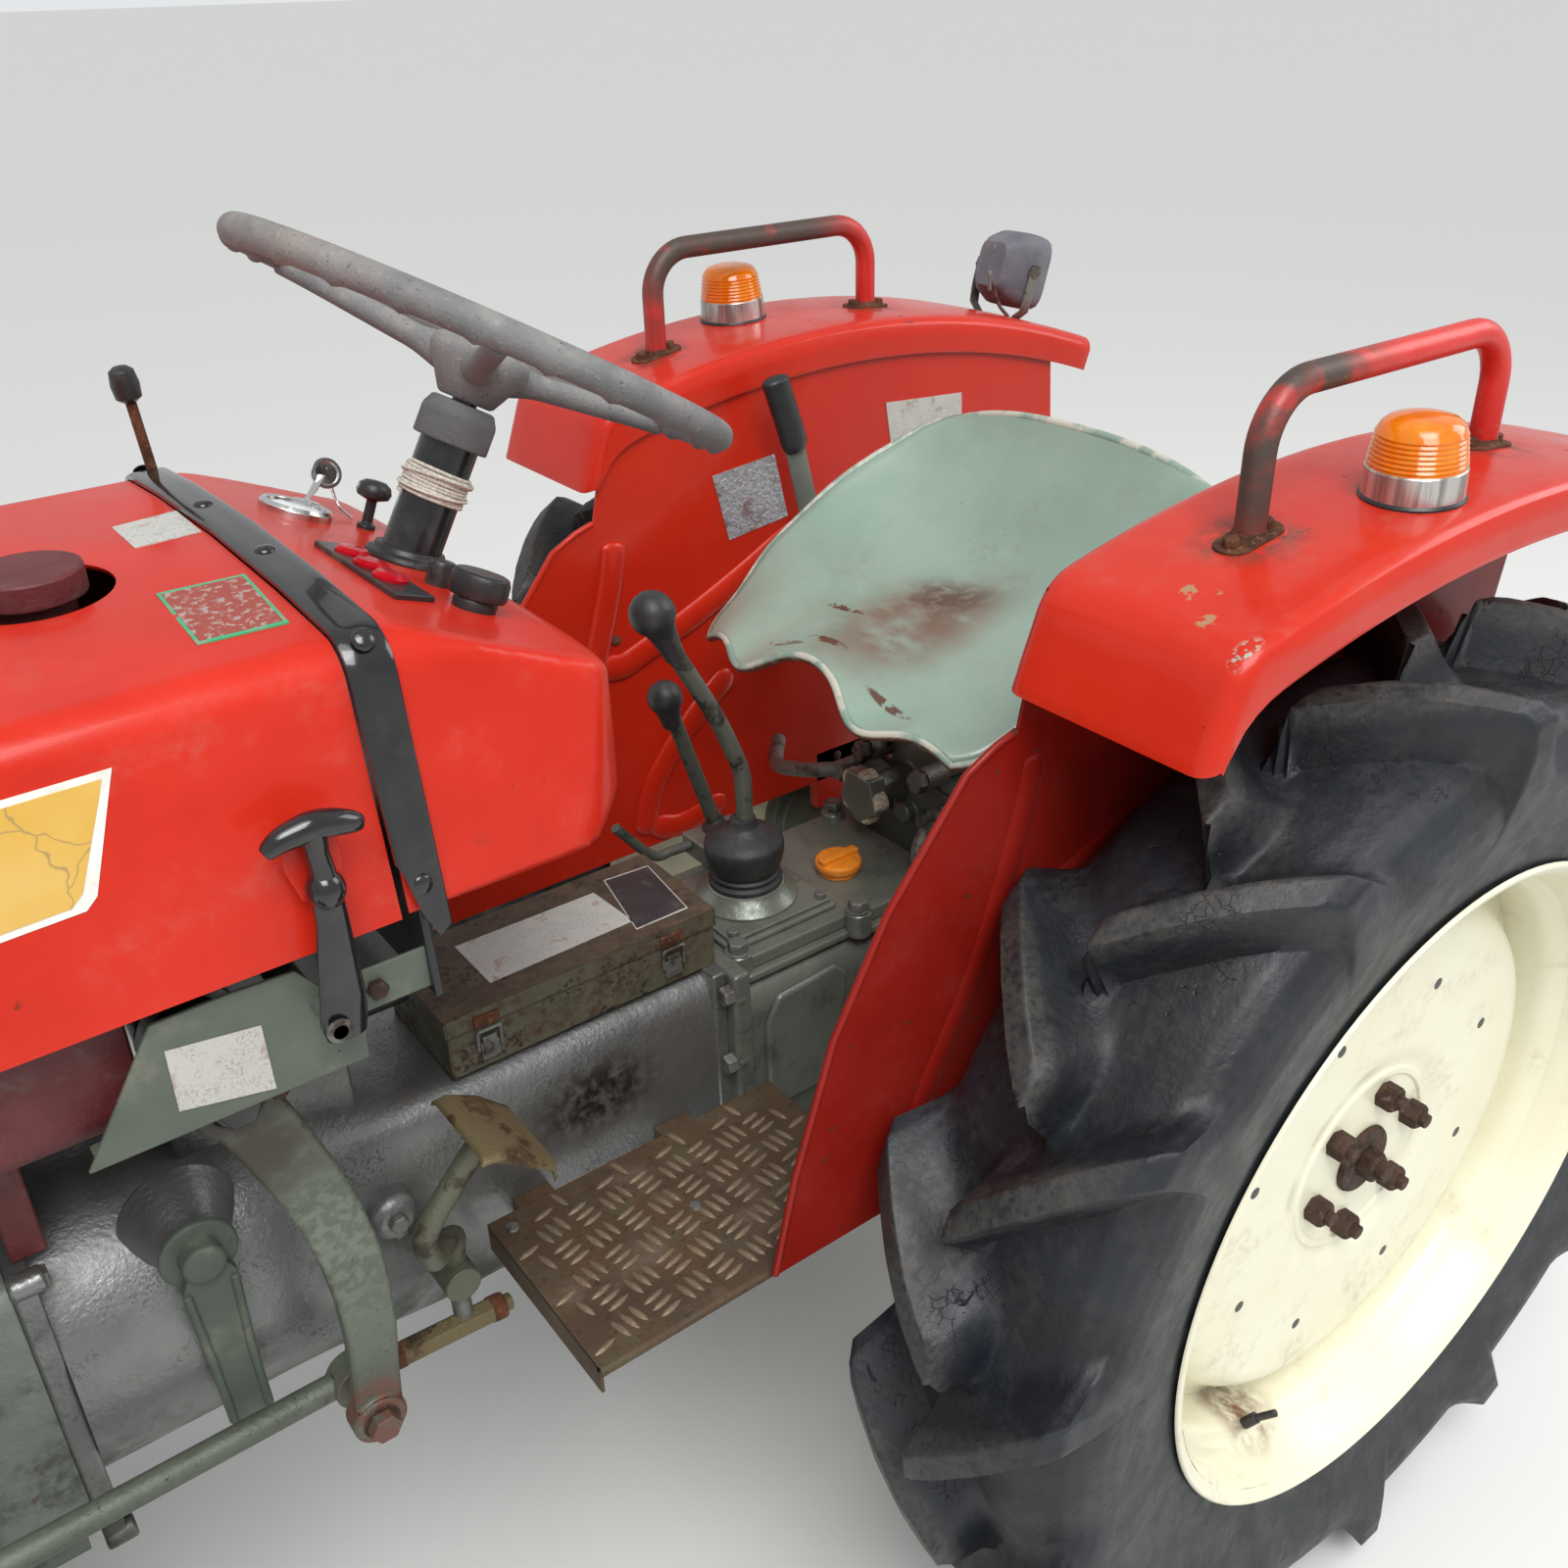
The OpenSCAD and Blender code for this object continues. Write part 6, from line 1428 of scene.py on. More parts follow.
# Cover of the gearbox with its bolts, plate and cap
COVER_Z, SHIFT_X = 722.0, 360.0
COVER_BOLTS = ((418, 68), (418, -72), (194, 74), (194, -76), (292, 84))
s = Solids()
s.prism([(176, -84), (182, -90), (426, -90), (432, -84), (432, 60), (416, 84), (300, 84), (280, 92),
         (196, 92), (176, 76)], 700, 708, "xy")
s.prism([(180, -80), (186, -84), (420, -84), (426, -78), (426, 54), (410, 76), (298, 77), (278, 84),
         (200, 84), (180, 70)], 708, COVER_Z, "xy")
plate = [(-62, -58), (-58, -62), (58, -62), (62, -58), (62, 58), (58, 62), (-58, 62), (-62, 58)]
s.prism([(SHIFT_X + x, y) for x, y in plate], COVER_Z, COVER_Z + 6, "xy")
plate = [(-57, -57), (57, -57), (57, 57), (-57, 57)]
s.prism([(SHIFT_X + x, y) for x, y in plate], COVER_Z + 6, COVER_Z + 10, "xy")
s.lathe([(50, 0), (48, 3), (41, 9), (37, 15), (36, 16), (0, 16)], (SHIFT_X, 0, COVER_Z + 10), UPWARD, 64)
s.box(296, 356, -116, -66, COVER_Z, COVER_Z + 22)
for x, y in COVER_BOLTS:
    s.lathe([(13, -20), (12, 5), (11, 6), (0, 6)], (x, y, COVER_Z), UPWARD, 24)
s.object("gearbox_cover_plate", [cover_green], "tractor", ["gearbox_cover"], bevel=2.2, steps=3,
         slot="grey_casting")
s = Solids()
for x, y in COVER_BOLTS:
    s.lathe([(12, 0), (12, 2)], (x, y, COVER_Z + 6), UPWARD, 24)
    s.hexagon((x, y, COVER_Z + 8), UPWARD, 17, 9, 0.4)
for x, y in ((50, 50), (50, -50), (-50, 50), (-50, -50)):
    s.hexagon((SHIFT_X + x, y, COVER_Z + 10), UPWARD, 10, 6, 0.2)
s.object("cover_bolts", [worn_steel], bevel=0.5)
n = Nodes("orange_cap")
cap_colour = n.colour(n.noise(12, 0.4, 0.65, 6.0), (0.80, 0.25, 0.015), (0.68, 0.20, 0.02))
orange_cap = n.done(n.colour(n.both(n.noise(7, 0.60, 0.68, 6.0), 0.5), cap_colour, (0.10, 0.06, 0.03)), 0.32)
s = Solids()
s.lathe([(20, 0), (20, 5), (22, 6), (23, 8), (23, 13), (21, 15), (0, 15.5)], (258, 12, COVER_Z),
        UPWARD, 48)
s.box(236, 280, 7, 17, COVER_Z + 14, COVER_Z + 20)
s.object("oil_filler_cap", [orange_cap], bevel=1.2, steps=2)

# Gear lever's boot, levers and knobs
boot_rubber = plain("boot_rubber", (0.016, 0.016, 0.017), 0.55, grime=0.2, grain=0.12)
knob = plain("knob", (0.022, 0.022, 0.023), 0.42, grime=0.5, grain=0.12)
lever_olive = rusty("lever_olive", (0.055, 0.048, 0.035), (0.10, 0.105, 0.085), cover=0.75, rough=0.55)
s = Solids()
z = COVER_Z + 26.3
boot = [(33, 0), (35, 1), (35, 4), (33, 5.5), (31, 7), (33, 9), (33, 11), (30.5, 13)]
boot += [(32 + 5.5 * sin(radians(a)) - 4.0 * (a > 90) * (1 - sin(radians(a))), 15 + a * 0.25)
         for a in range(0, 121, 15)]
boot += [(29, 49), (23, 53), (15, 56), (13, 60), (12, 66), (9, 67), (0, 67)]
s.lathe(boot, (SHIFT_X, 0, z), UPWARD, 64)
s.object("gear_boot", [boot_rubber], bevel=0, sharp=50)
s = Solids()
s.tube(spline([(SHIFT_X - 2, 0, 795), (SHIFT_X - 2, 0, 840), (SHIFT_X - 1, -1, 862), (SHIFT_X + 6, -3, 885),
               (384, -7, 930), (430, -15, 1020)], 6), 8, 24)
s.tube([(325, -100, COVER_Z + 26), (372, -100, 898)], 7.5, 20)
s.lathe([(14, 0), (14, 3), (11, 6), (8, 14)], (325, -100, COVER_Z + 22.3), UPWARD, 24)
s.tube(spline([(x, -100, COVER_Z + h) for x, h in ((357, 15), (380, 16), (401, 20), (439, 65))], 6),
       5, 16)
s.object("lever_shafts", [lever_olive], "tractor", ["levers"], bevel=0.3, sharp=50, slot="black_paint")
s = Solids()
for at, top, r in (((414, -12, 987), (432, -15, 1030), 20), ((368, -100, 874), (374, -100, 904), 17)):
    axis = Vector(top) - Vector(at)
    d = axis.length
    pear = [(8.4, 0), (9.2, 0), (10, d * 0.25), (12, d * 0.5)]
    pear += [(r * cos(radians(a)), d + r * sin(radians(a))) for a in range(-45, 91, 15)]
    s.lathe(pear, at, axis, 32)
s.object("gear_knobs", [knob], bevel=0, sharp=60)
flat_grey = painted("flat_grey", (0.11, 0.12, 0.10), rough=0.5, dust=0.4, chips=1.2, rust=0.7, coat=0.0)
LIFT_Y = -256
s = Solids()
s.rod((60, -294, 825), (60, -250, 825), 12)
blade = [(60, 822), (66, 880), (76, 960), (93, 1030), (100, 1062)]
s.tube([(x, LIFT_Y, z) for x, z in blade], 13, 16, 0.26, LEFTWARD)
s.slot = 1
grip = [(97, 1052), (105, 1078), (114, 1104), (121, 1125), (123, 1133)]
s.tube(spline([(x, LIFT_Y, z) for x, z in grip], 5),
       [12, 15, 15.5] + [15.5] * 14 + [15, 13, 9, 3], 24, 0.72, LEFTWARD)
s.object("lift_lever", [flat_grey, black_plastic], bevel=0.6, sharp=50)

# Valve block under the seat's front: star knob, pipes and bolts
n = Nodes("star_knob")
star_white = n.done(n.colour(n.noise(3, 0.42, 0.60, 6.0), (0.62, 0.58, 0.46), (0.36, 0.30, 0.20)), 0.5)
s = Solids()
star = [(cos(a) * (27 + 4 * cos(5 * a)), sin(a) * (27 + 4 * cos(5 * a)))
        for a in map(radians, range(0, 360, 8))]
s.loft([[(x, -10 + k * p, 780 + k * q) for p, q in star]
        for x, k in ((198, 0.86), (201, 1), (212, 1), (215, 0.9))])
s.object("star_knob", [star_white], bevel=0.5, sharp=45)
s = Solids()
for y, z, r in ((-44, 806, 13), (-78, 770, 11), (40, 806, 12), (66, 775, 12)):
    s.rod((150, y, z), (176, y, z), r)
    s.hexagon((176, y, z), FORWARD, 20, 12, 0.3)
s.tube(spline([(176, -78, 770), (190, -92, 768), (200, -120, 760), (196, -170, 745), (150, -230, 735)], 8),
       8, 20)
s.tube(spline([(170, 66, 775), (200, 72, 770), (214, 78, 752), (208, 84, 726)], 8), 7, 20)
s.object("valve_pipes", [worn_steel], bevel=0.5, sharp=50)

# Toolbox, footboards, pedals

n = Nodes("box_olive")
paint = n.colour(n.noise(50, 0.35, 0.65), (0.082, 0.080, 0.052), (0.112, 0.105, 0.070))
brown = n.colour(n.noise(14, 0.35, 0.65, 10.0), (0.100, 0.064, 0.036), (0.058, 0.034, 0.020))
upward = n.facing(0.4, 0.9)
spread = n.noise(55, 0.34, 0.60, 12.0)
cover = n.either(n.both(upward, n.noise(80, 0.18, 0.42, 10.0), 0.9),
                 n.both(spread, n.noise(9, 0.42, 0.62, 6.0)))
colour = n.colour(cover, paint, brown)
edge = n.both(n.noise(5, 0.50, 0.58, 5.0), n.noise(45, 0.46, 0.60))
colour = n.colour(edge, colour, (0.03, 0.016, 0.012))
n.bump(n.noise(3, 0.3, 0.7, 8.0), 0.22)
box_olive = n.done(colour, n.value(cover, 0.42, 0.68), 0.15)

BOX_X, BOX_Y0, BOX_L, BOX_W, BOX_Z, LID_H = 450.0, -35.0, 250.0, 114.0, 735.3, 18.0
SPLIT = BOX_Z + 58 - LID_H
box_y1 = BOX_Y0 + BOX_W


def tray(s, x0, x1, y0, y1, z_closed, z_open, t=1.6):
    """Folded box, open on one side."""
    s.box(x0, x1, y0, y1, *sorted((z_closed, z_closed + t * (1 if z_open > z_closed else -1))))
    for a, b in ((x0, x0 + t), (x1 - t, x1)):
        s.box(a, b, y0, y1, *sorted((z_closed, z_open)))
    for a, b in ((y0, y0 + t), (y1 - t, y1)):
        s.box(x0 + t, x1 - t, a, b, *sorted((z_closed, z_open)))


s = Solids()
tray(s, BOX_X, BOX_X + BOX_L, BOX_Y0, box_y1, BOX_Z, SPLIT)
for x in (BOX_X + 40, BOX_X + BOX_L - 60):
    s.rod((x, BOX_Y0 - 6, SPLIT + 2), (x + 20, BOX_Y0 - 6, SPLIT + 2), 4)
    s.box(x, x + 20, BOX_Y0 - 6, BOX_Y0 + 1, SPLIT - 10, SPLIT)
s.object("toolbox_body", [box_olive], "tractor", ["toolbox"], bevel=0.6, slot="rusty_steel")
s = Solids()
tray(s, BOX_X - 2, BOX_X + BOX_L + 2, BOX_Y0, box_y1 + 2, SPLIT + LID_H, SPLIT + 0.5)
for x in (BOX_X + 61, BOX_X + BOX_L - 82):
    s.rod((x, BOX_Y0 - 6, SPLIT + 2), (x + 20, BOX_Y0 - 6, SPLIT + 2), 4)
    s.box(x, x + 20, BOX_Y0 - 6, BOX_Y0 + 1, SPLIT + 2, SPLIT + 6)
s.object("toolbox_lid_folded", [box_olive], "toolbox_lid", ["toolbox_lid"], bevel=1.4, steps=3,
         slot="rusty_steel")
top = SPLIT + LID_H + 0.1
sticker("toolbox_label", [(649, -8, top), (649, 56, top), (513, 53, top), (517, -6, top)], [worn_label],
        body="toolbox_lid", lift=0.3)
sticker("toolbox_plate", [(500, -18, top), (518, 66, top), (466, 66, top), (456, -14, top)],
        [worn_label, black_label], body="toolbox_lid", lift=0.3, edge=1.5)
# Over-centre catches: hooks on the lid, frames and tongues below them
CATCHES = (667, 494)
s = Solids()
for x in CATCHES:
    s.box(x - 11, x + 11, box_y1 + 1.5, box_y1 + 4.5, SPLIT + 2, SPLIT + 12)
s.object("catch_hooks", [rusty_steel], "toolbox_lid", bevel=0.6)
s = Solids()
for x in CATCHES:
    for dx in (-10, 10):
        s.rod((x + dx, box_y1 + 4, SPLIT - 20), (x + dx, box_y1 + 5.5, SPLIT - 1), 1.5, 10)
    s.rod((x - 10, box_y1 + 5.5, SPLIT - 1), (x + 10, box_y1 + 5.5, SPLIT - 1), 1.5, 10)
    s.box(x - 8, x + 8, box_y1, box_y1 + 4.4, SPLIT - 30, SPLIT - 14)
    s.box(x - 6, x + 6, box_y1 + 3, box_y1 + 5.6, SPLIT - 26, SPLIT - 8)
s.object("catches", [worn_steel], bevel=0.6)

n = Nodes("tread_plate")
plate_base = n.colour(n.noise(60, 0.35, 0.65, 9.0), (0.100, 0.058, 0.028), (0.072, 0.044, 0.027))
plate_base = n.colour(n.both(n.noise(34, 0.48, 0.66, 9.0), 0.6), plate_base, (0.10, 0.085, 0.048))
plate_base = n.colour(n.noise(7, 0.56, 0.68, 8.0), plate_base, (0.055, 0.03, 0.02))
polish = n.both(n.noise(40, 0.52, 0.72, 9.0), n.facing(0.5, 0.9), 0.5)
plate_base = n.colour(polish, plate_base, (0.20, 0.15, 0.12))
n.bump(n.noise(2.5, 0.3, 0.7, 8.0), 0.25)
tread_plate = n.done(plate_base, n.value(polish, 0.62, 0.4), 0.25)
lozenge_steel = plain("lozenge_steel", (0.19, 0.135, 0.085), 0.42, 0.35, grime=0.5, grain=0.2)

FOOT_Z = 612.0
LOZENGE_STEP, LOZENGE_GAP, LOZENGE_L, LOZENGE_W = 31.0 * 0.94, 9.2, 13.0, 3.5
for word, side in SIDES:
    s = Solids()
    y0, y1 = sorted((side * 112, side * 293))
    s.box(420, 705, y0, y1, FOOT_Z - 6, FOOT_Z - 1.8)
    # Rolled outer edge, folded front and back
    s.tube([(420, side * 290, FOOT_Z - 6.5), (705, side * 290, FOOT_Z - 6.5)], 4.8, 20)
    s.box(420, 423, y0, y1, FOOT_Z - 30, FOOT_Z - 3)
    s.box(702, 705, y0, y1 - (3 if side > 0 else -3), FOOT_Z - 30, FOOT_Z - 3)
    for x in (500, 640):
        y2, y3 = sorted((side * 95, side * 280))
        s.box(x, x + 34, y2, y3, FOOT_Z - 22, FOOT_Z - 6)
    s.object("footboard_" + word, [tread_plate], "tractor", ["footboards"] if side > 0 else (), bevel=0.8,
             slot="rusty_steel")
    # Raised lozenges in alternating groups of three
    s = Solids()
    for i in range(-1, 14):
        for j in range(-1, 11):
            a = radians(14 if (i + j) % 2 == 0 else 104)
            along = Vector((cos(a), side * sin(a), 0))
            across = Vector((-sin(a), side * cos(a), 0))
            for k in (-1, 0, 1):
                c = Vector((432 + i * LOZENGE_STEP, side * (122 + j * LOZENGE_STEP), 0))
                c += across * LOZENGE_GAP * k
                if not (432 < c.x < 693 and 122 < abs(c.y) < 279):
                    continue
                rim = [c + along * LOZENGE_L * cos(t) + across * LOZENGE_W * sin(t) * abs(sin(t)) ** 0.4
                       for t in (2 * pi * q / 12 for q in range(12))]
                crest = [c + (p - c) * 0.45 for p in rim]
                s.loft([[Vector((p.x, p.y, z)) for p in ring]
                        for ring, z in ((rim, FOOT_Z - 2.6), (crest, FOOT_Z - 0.1))])
    s.object("footboard_lozenges_" + word, [lozenge_steel], bevel=0, sharp=70)
    s = Solids()
    for x, y in ((690, 128), (560, 200)):
        s.lathe([(6, 0), (5, 1.6), (0, 2)], (x, side * y, FOOT_Z - 1.9), UPWARD, 16)
    s.object("footboard_rivets_" + word, [worn_steel], bevel=0)

olive_steel = rusty("olive_steel", (0.062, 0.05, 0.032), (0.115, 0.115, 0.08), cover=0.85, rough=0.5)
ochre_steel = rusty("ochre_steel", (0.11, 0.065, 0.028), (0.15, 0.115, 0.055), cover=0.7, rough=0.55,
                    metal=0.35)
PEDAL_X, PEDAL_Z = 745.0, 600.0


def pedal(s, y_foot, y_top, lean):
    """Bent arm of a pedal."""
    path = spline([(PEDAL_X, y_foot, PEDAL_Z), (PEDAL_X - 2, y_foot, 622), (742, y_foot + 3, 640),
                   (754, y_foot + 18, 654), (772, y_top - lean * 1.4, 668), (778, y_top - lean, 690),
                   (773, y_top - lean * 0.6, 712), (745, y_top - lean * 0.6, 745),
                   (722, y_top - lean * 0.3, 772)], 6)
    s.tube(path, 9, 24)


def pedal_pad(s, y, width):
    """Slightly dished sheet with its rear lip turned down."""
    slope = radians(38)
    up = Vector((-sin(slope), 0, cos(slope)))
    top = []
    for u, h in ((-34, -9), (-27, 0), (0, 2), (26, 0), (34, -6)):
        w = width * (1.0 - 0.10 * abs(u) / 34)
        row = []
        for t in (-0.5, -0.42, 0.0, 0.42, 0.5):
            z = h - 3.5 * (abs(t) > 0.45)
            row.append(Vector((715 + u * cos(slope) - z * sin(slope), y + t * w,
                               782 + u * sin(slope) + z * cos(slope))))
        top.append(row)
    m, q = len(top), len(top[0])
    low = m * q
    verts = [p for row in top for p in row] + [p - up * 4 for row in top for p in row]
    quads = []
    for i in range(m - 1):
        for a in range(i * q, i * q + q - 1):
            quads += [(a, a + q, a + q + 1, a + 1), (low + a, low + a + 1, low + a + q + 1, low + a + q)]
    border = (list(range(q)) + [i * q + q - 1 for i in range(1, m)]
              + [low - q + j for j in range(q - 2, -1, -1)] + [i * q for i in range(m - 2, 0, -1)])
    quads += [(a, b, b + low, a + low) for a, b in zip(border, border[1:] + border[:1])]
    s.add(verts, quads)


for word, side in SIDES:
    s = Solids()
    s.frame = Matrix.Diagonal((1, side, 1, 1))
    s.rod((PEDAL_X, 95, PEDAL_Z), (PEDAL_X, 150, PEDAL_Z), 15)
    # Clutch pedal on the left, the two brake pedals on the right
    for foot, top_y, width, lean, pad_y in (((134, 192, 90, 12, 200),) if side > 0 else
                                            ((110, 176, 46, 4, 176), (138, 226, 46, 4, 228))):
        pedal(s, foot, top_y, lean)
        s.slot = 1
        pedal_pad(s, pad_y, width)
        s.slot = 0
    s.object("pedals_" + word, [olive_steel, ochre_steel], "tractor", ["pedals"] if side > 0 else (),
             bevel=1.0, sharp=40, slot="rusty_steel")

# Clutch release lever, its shaft, and the rod with the turnbuckle
s = Solids()
s.lathe([(15, 0), (15, 16), (12, 18), (0, 18)], (918, 132, 735), LEFTWARD, 32)
s.prism([(898, 715), (906, 730), (928, 730), (936, 712), (930, 586), (926, 566), (914, 556), (904, 562),
         (901, 586)], 134.4, 143)
for edge in ((901, 903, 902), (934, 930, 928)):
    s.tube([(x, 143, z) for x, z in zip(edge, (712, 640, 580))], 3.4, 10)
s.lathe([(26, 2), (27, 0), (27, -3), (24, -4)], (918, 134, 735), LEFTWARD, 48)
s.object("release_lever", [green_grey], bevel=1.0)
s = Solids()
s.rod((PEDAL_X, 134, PEDAL_Z), (PEDAL_X, 138, 548), 8)
s.tube([(741, 140, 548), (900, 140, 557), (922, 140, 558)], 6, 20)
s.slot = 1
s.lathe([(11, 0), (11, 96), (9, 99), (0, 99)], (716, 140, 549), (1, 0, 0.06), 6)
s.rod((706, 140, 548), (716, 140, 549), 7)
s.slot = 2
s.hexagon((800, 140, 554), (1, 0, 0.06), 20, 12)
s.hexagon((724, 140, 549.5), (-1, 0, -0.06), 21, 12)
s.object("clutch_rod", [worn_steel, ochre_steel, rusty_steel], bevel=0.6)

# Steering arm and drag link

n = Nodes("arm_green")
base = n.colour(n.noise(90, 0.35, 0.65), (0.075, 0.083, 0.060), (0.115, 0.133, 0.102))
pale = n.both(n.near((850, 212, 760), 20, 90, (1, 1, 1.1)), n.noise(7, 0.44, 0.58, 8.0))
base = n.colour(n.both(pale, 0.4), base, (0.23, 0.26, 0.20))
soot = n.both(n.near((880, 212, 880), 20, 95), n.noise(30, 0.25, 0.55, 9.0))
base = n.colour(soot, base, (0.045, 0.038, 0.028))
grub = n.both(n.noise(4, 0.60, 0.68, 6.0), n.noise(50, 0.45, 0.62))
base = n.colour(grub, base, (0.035, 0.025, 0.018))
foot = n.near((845, 212, 590), 18, 48)
base = n.colour(n.both(foot, n.noise(14, 0.35, 0.55, 8.0)), base, (0.14, 0.055, 0.035))
n.bump(n.noise(5, 0.3, 0.7, 6.0), 0.3)
arm_green = n.done(base, 0.46, 0.15)
refine("drop_arm", arm_green, 3.0, steps=3, slot="green_grey_paint")
refine("drag_link", arm_green, 0.8, slot="green_grey_paint")
ARM_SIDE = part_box("drop_arm")[1].y * 1000
s = Solids()
s.lathe([(20, 0), (19, 5), (14, 8), (0, 9)], (844, ARM_SIDE - 8, 587), LEFTWARD, 32)
s.hexagon((844, ARM_SIDE - 2, 587), LEFTWARD, 20, 2.5)
s.object("foot_bolt", [rust_nut], "drop_arm", bevel=0.5)

# Lamps

n = Nodes("amber_lens")
glow = n.colour(n.noise(30, 0.3, 0.7), (0.95, 0.19, 0.0), (1.0, 0.32, 0.01))
n.bump(n.noise(3, 0.3, 0.7), 0.05)
amber = n.done(glow, 0.08, Transmission_Weight=0.35, IOR=1.35, Coat_Weight=0.6, Coat_Roughness=0.04)
n = Nodes("lamp_metal")
streaks = n.noise(9, 0.40, 0.62, 8.0, (1, 1, 14))
metal_colour = n.colour(streaks, (0.62, 0.61, 0.58), (0.30, 0.29, 0.27))
lamp_metal = n.done(metal_colour, 0.28, 0.85)
for word, side in SIDES:
    x0, y0 = 58.0, side * 419.0
    up = cap_directions(x0)[1]
    base = Vector(on_cap(x0, y0, 0.3))
    s = Solids()
    s.lathe([(37, 0), (37, 3), (35.5, 5), (0, 5)], base, up, 72)
    s.slot = 1
    s.lathe([(35.5, 4), (35.5, 6), (34.8, 24), (34, 25), (0, 25)], base, up, 96)
    s.slot = 2
    # Lens with its ring of ridges and a rounded top
    lens = [(33.8, 25)]
    for k in range(7):
        h = 26 + k * 3.4
        r = 33.4 - k * 0.5
        lens += [(r, h), (r + 0.7, h + 1.7)]
    lens += [(29.5, 51), (27.5, 54.5), (23.5, 57.6), (16, 59.5), (7, 60), (0, 60)]
    s.lathe(lens, base, up, 96)
    s.object("beacon_" + word, [black_plastic, lamp_metal, amber], "tractor",
             ["lamps"] if side > 0 else (), bevel=0, sharp=35, slot="amber_lens")
    s = Solids()
    s.lathe([(8, 24), (8, 38), (5.5, 46), (0, 48)], base, up, 24)
    s.object("beacon_bulb_" + word, [lamp_metal], bevel=0)

# Work lamp on the right fender: tapered shell, yoke, bolts and its wire hook
n = Nodes("lamp_grey")
shell_colour = n.colour(n.noise(40, 0.35, 0.65), (0.105, 0.105, 0.125), (0.16, 0.155, 0.17))
n.bump(n.noise(3, 0.3, 0.7, 4.0), 0.15)
lamp_grey = n.done(n.colour(n.noise(9, 0.62, 0.70, 8.0), shell_colour, (0.24, 0.22, 0.21)), 0.6)
s = Solids()
LAMP_X, LAMP_Y, LAMP_RISE, TALL = -330, -400, 58, 1.3
along, up = cap_directions(LAMP_X)
back = -along
base = Vector(on_cap(LAMP_X, LAMP_Y, 0.3)) + up * LAMP_RISE
rings = []
for t, w, h in ((-34, 14, 13), (-33, 22, 20), (-18, 32, 27), (-4, 38, 31), (6, 42, 34), (20, 42, 34),
                (30, 41, 33), (32, 38, 30)):
    ring = []
    for j in range(40):
        a = 2 * pi * j / 40
        k = (abs(cos(a)) ** 5 + abs(sin(a)) ** 5) ** -0.2
        ring.append(base + back * (t * 0.95) + Vector(LEFTWARD) * w * k * cos(a)
                    + up * h * TALL * k * sin(a))
    rings.append(ring)
s.loft(rings)
s.object("work_lamp", [lamp_grey], bevel=0.6, sharp=40)
s = Solids()
s.loft([[base + back * 33 + Vector(LEFTWARD) * w * copysign(abs(cos(a)) ** 0.4, cos(a))
         + up * h * TALL * copysign(abs(sin(a)) ** 0.4, sin(a)) for a in (2 * pi * j / 40 for j in range(40))]
        for w, h in ((37, 29), (36, 28))])
s.object("work_lamp_glass", [lamp_glass], bevel=0)
s = Solids()
yoke = [(-47, 6), (-47, -20), (-44, -36), (-30, -44.6), (30, -44.6), (44, -36), (47, -20), (47, 6)]
s.tube([base + Vector((0, y, 0)) + up * h * TALL for y, h in yoke], 8, 12, 0.22, (0, 1, 0.001))
for y in (-1, 1):
    s.hexagon(base + Vector((0, y * 44, 0)), (0, y, 0), 15, 6)
wire = [(-10, -56, 30), (-36, -44, 34), (-58, -20, 36), (-66, -12, 37), (-60, -32, 38)]
s.tube(spline([base + back * b + up * h + Vector((0, y, 0)) for b, h, y in wire], 6), 2.2, 10)
s.object("work_lamp_yoke", [worn_steel], bevel=0.3, sharp=50)

# Engine bay

hose_rubber = plain("hose_rubber", (0.016, 0.016, 0.017), 0.6, grime=0.4, grain=0.2)
s = Solids()
s.tube(spline([(1250, 70, 940), (1275, 84, 1000), (1300, 95, 1040), (1345, 105, 1086),
               (1367.7, 105, 1086)], 8), 15, 24)
s.object("radiator_hose", [hose_rubber], bevel=0)
refine("fuel_tank", cap_red, 2.0, slot="black_paint")

# Every CAD node that nothing has replaced, with its edges broken
for node in frame["nodes"]:
    if not frame["nodes"][node].hide_render:
        refine(node, FINISH[SLOT_OF[node]], slot=SLOT_OF[node])

# Camera, floor, light

cam_data = bpy.data.cameras.new("camera")
cam = new_object("camera", cam_data)
FOCAL_PIXELS, PHOTO_WIDTH = 1505.5, 1600.0
CAMERA_AT, CAMERA_ANGLES = (1021.3, 970.0, 1495.3), (143.831, 28.868, -1.581)
cam_data.sensor_width = 36.0
cam_data.lens = 36.0 * FOCAL_PIXELS / PHOTO_WIDTH
cam_data.clip_start = 0.05
yaw, pitch, roll = (radians(a) for a in CAMERA_ANGLES)
level_ahead = Vector((-sin(yaw), cos(yaw), 0.0))
level_right = Vector((cos(yaw), sin(yaw), 0.0))
upright = Vector((0.0, 0.0, 1.0))
ahead = level_ahead * cos(pitch) - upright * sin(pitch)
tipped = upright * cos(pitch) + level_ahead * sin(pitch)
right = level_right * cos(roll) + tipped * sin(roll)
top = tipped * cos(roll) - level_right * sin(roll)
pose = Matrix.Identity(4)
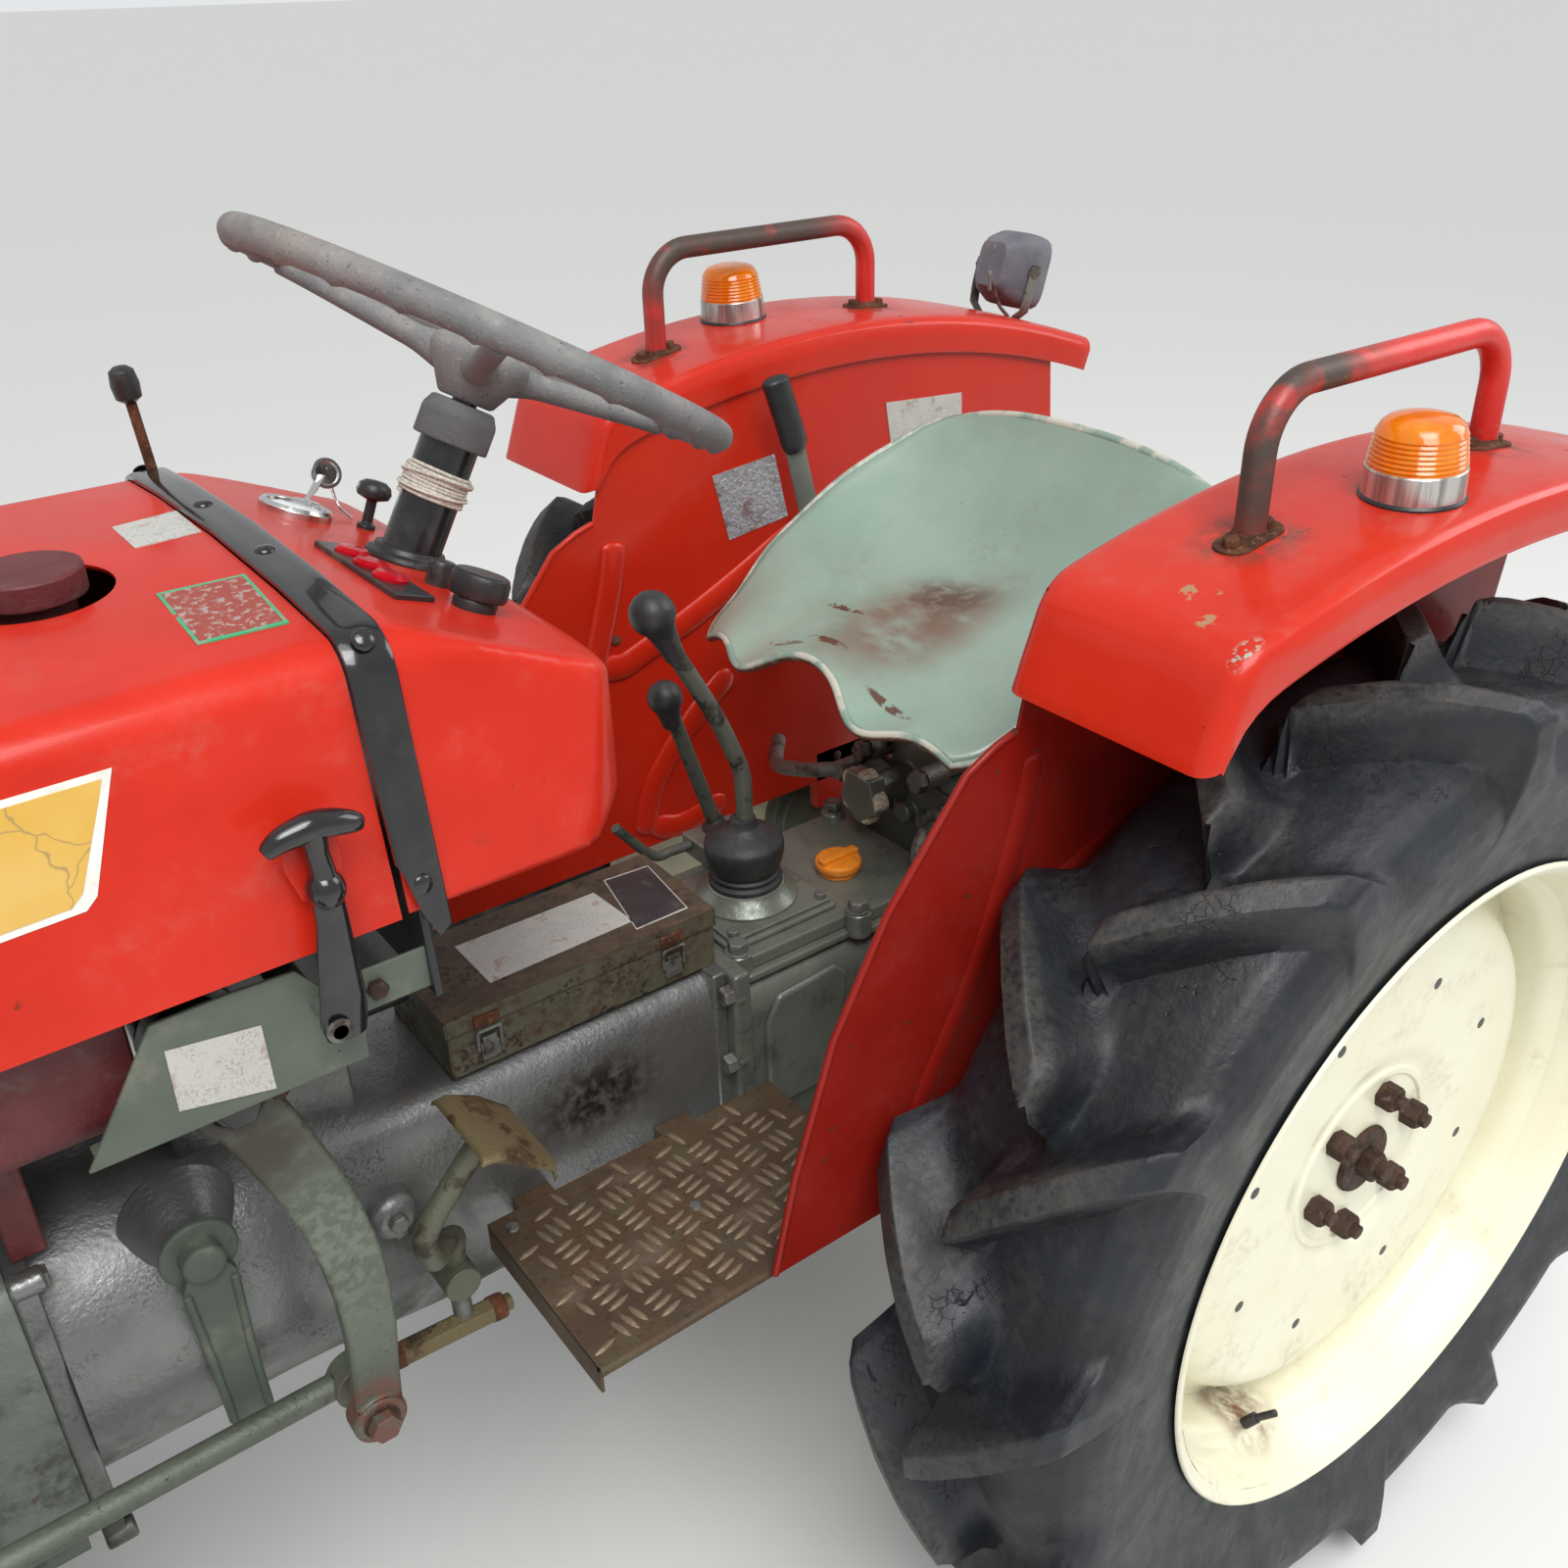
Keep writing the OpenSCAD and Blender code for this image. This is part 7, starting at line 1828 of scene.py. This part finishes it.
for i in range(3):
    pose[i][0], pose[i][1], pose[i][2] = right[i], top[i], -ahead[i]
pose.translation = place(*CAMERA_AT)
cam.matrix_world = pose
scene.camera = cam

SKY_LIGHT, BACKDROP, FLOOR_HALF = 0.62, 0.85, 150.0
scene.view_settings.view_transform = "Standard"
world = bpy.data.worlds.new("world")
scene.world = world
world.use_nodes = True
tree = world.node_tree
background = tree.nodes["Background"]
rays = tree.nodes.new("ShaderNodeLightPath")
seen = tree.nodes.new("ShaderNodeMath")
seen.operation = "MAXIMUM"
tree.links.new(rays.outputs["Is Camera Ray"], seen.inputs[0])
tree.links.new(rays.outputs["Is Transmission Ray"], seen.inputs[1])
strength = tree.nodes.new("ShaderNodeMapRange")
tree.links.new(seen.outputs[0], strength.inputs[0])
strength.inputs[3].default_value = SKY_LIGHT
strength.inputs[4].default_value = BACKDROP
tree.links.new(strength.outputs[0], background.inputs["Strength"])
background.inputs["Color"].default_value = (0.92, 0.94, 0.96, 1)

mesh = bpy.data.meshes.new("floor")
corners = [(a * FLOOR_HALF, b * FLOOR_HALF, 0) for a, b in ((-1, -1), (1, -1), (1, 1), (-1, 1))]
mesh.from_pydata(corners, [], [(0, 1, 2, 3)])
floor = new_object("floor", mesh)
floor_paint = Nodes("floor")
mesh.materials.append(floor_paint.done((0.72, 0.72, 0.70), 0.9))


def area(name, at, target, size, power):
    """Soft square lamp that looks at a place."""
    d = bpy.data.lights.new(name, "AREA")
    d.shape = "SQUARE"
    d.size = size
    d.energy = power
    o = new_object(name, d)
    o.location = at
    o.rotation_euler = (Vector(target) - Vector(at)).to_track_quat("-Z", "Y").to_euler()


area("key", (1.0, 2.6, 4.2), (0, 0, 0.6), 2.2, 110)
area("fill", (-3.5, 1.5, 3.0), (0, 0, 0.5), 2.0, 45)
sun_data = bpy.data.lights.new("sun", "SUN")
sun_data.energy = 1.15
sun_data.angle = radians(40)
sun = new_object("sun", sun_data)
sun.rotation_euler = Vector((-0.25, -0.45, -1.0)).to_track_quat("-Z", "Y").to_euler()
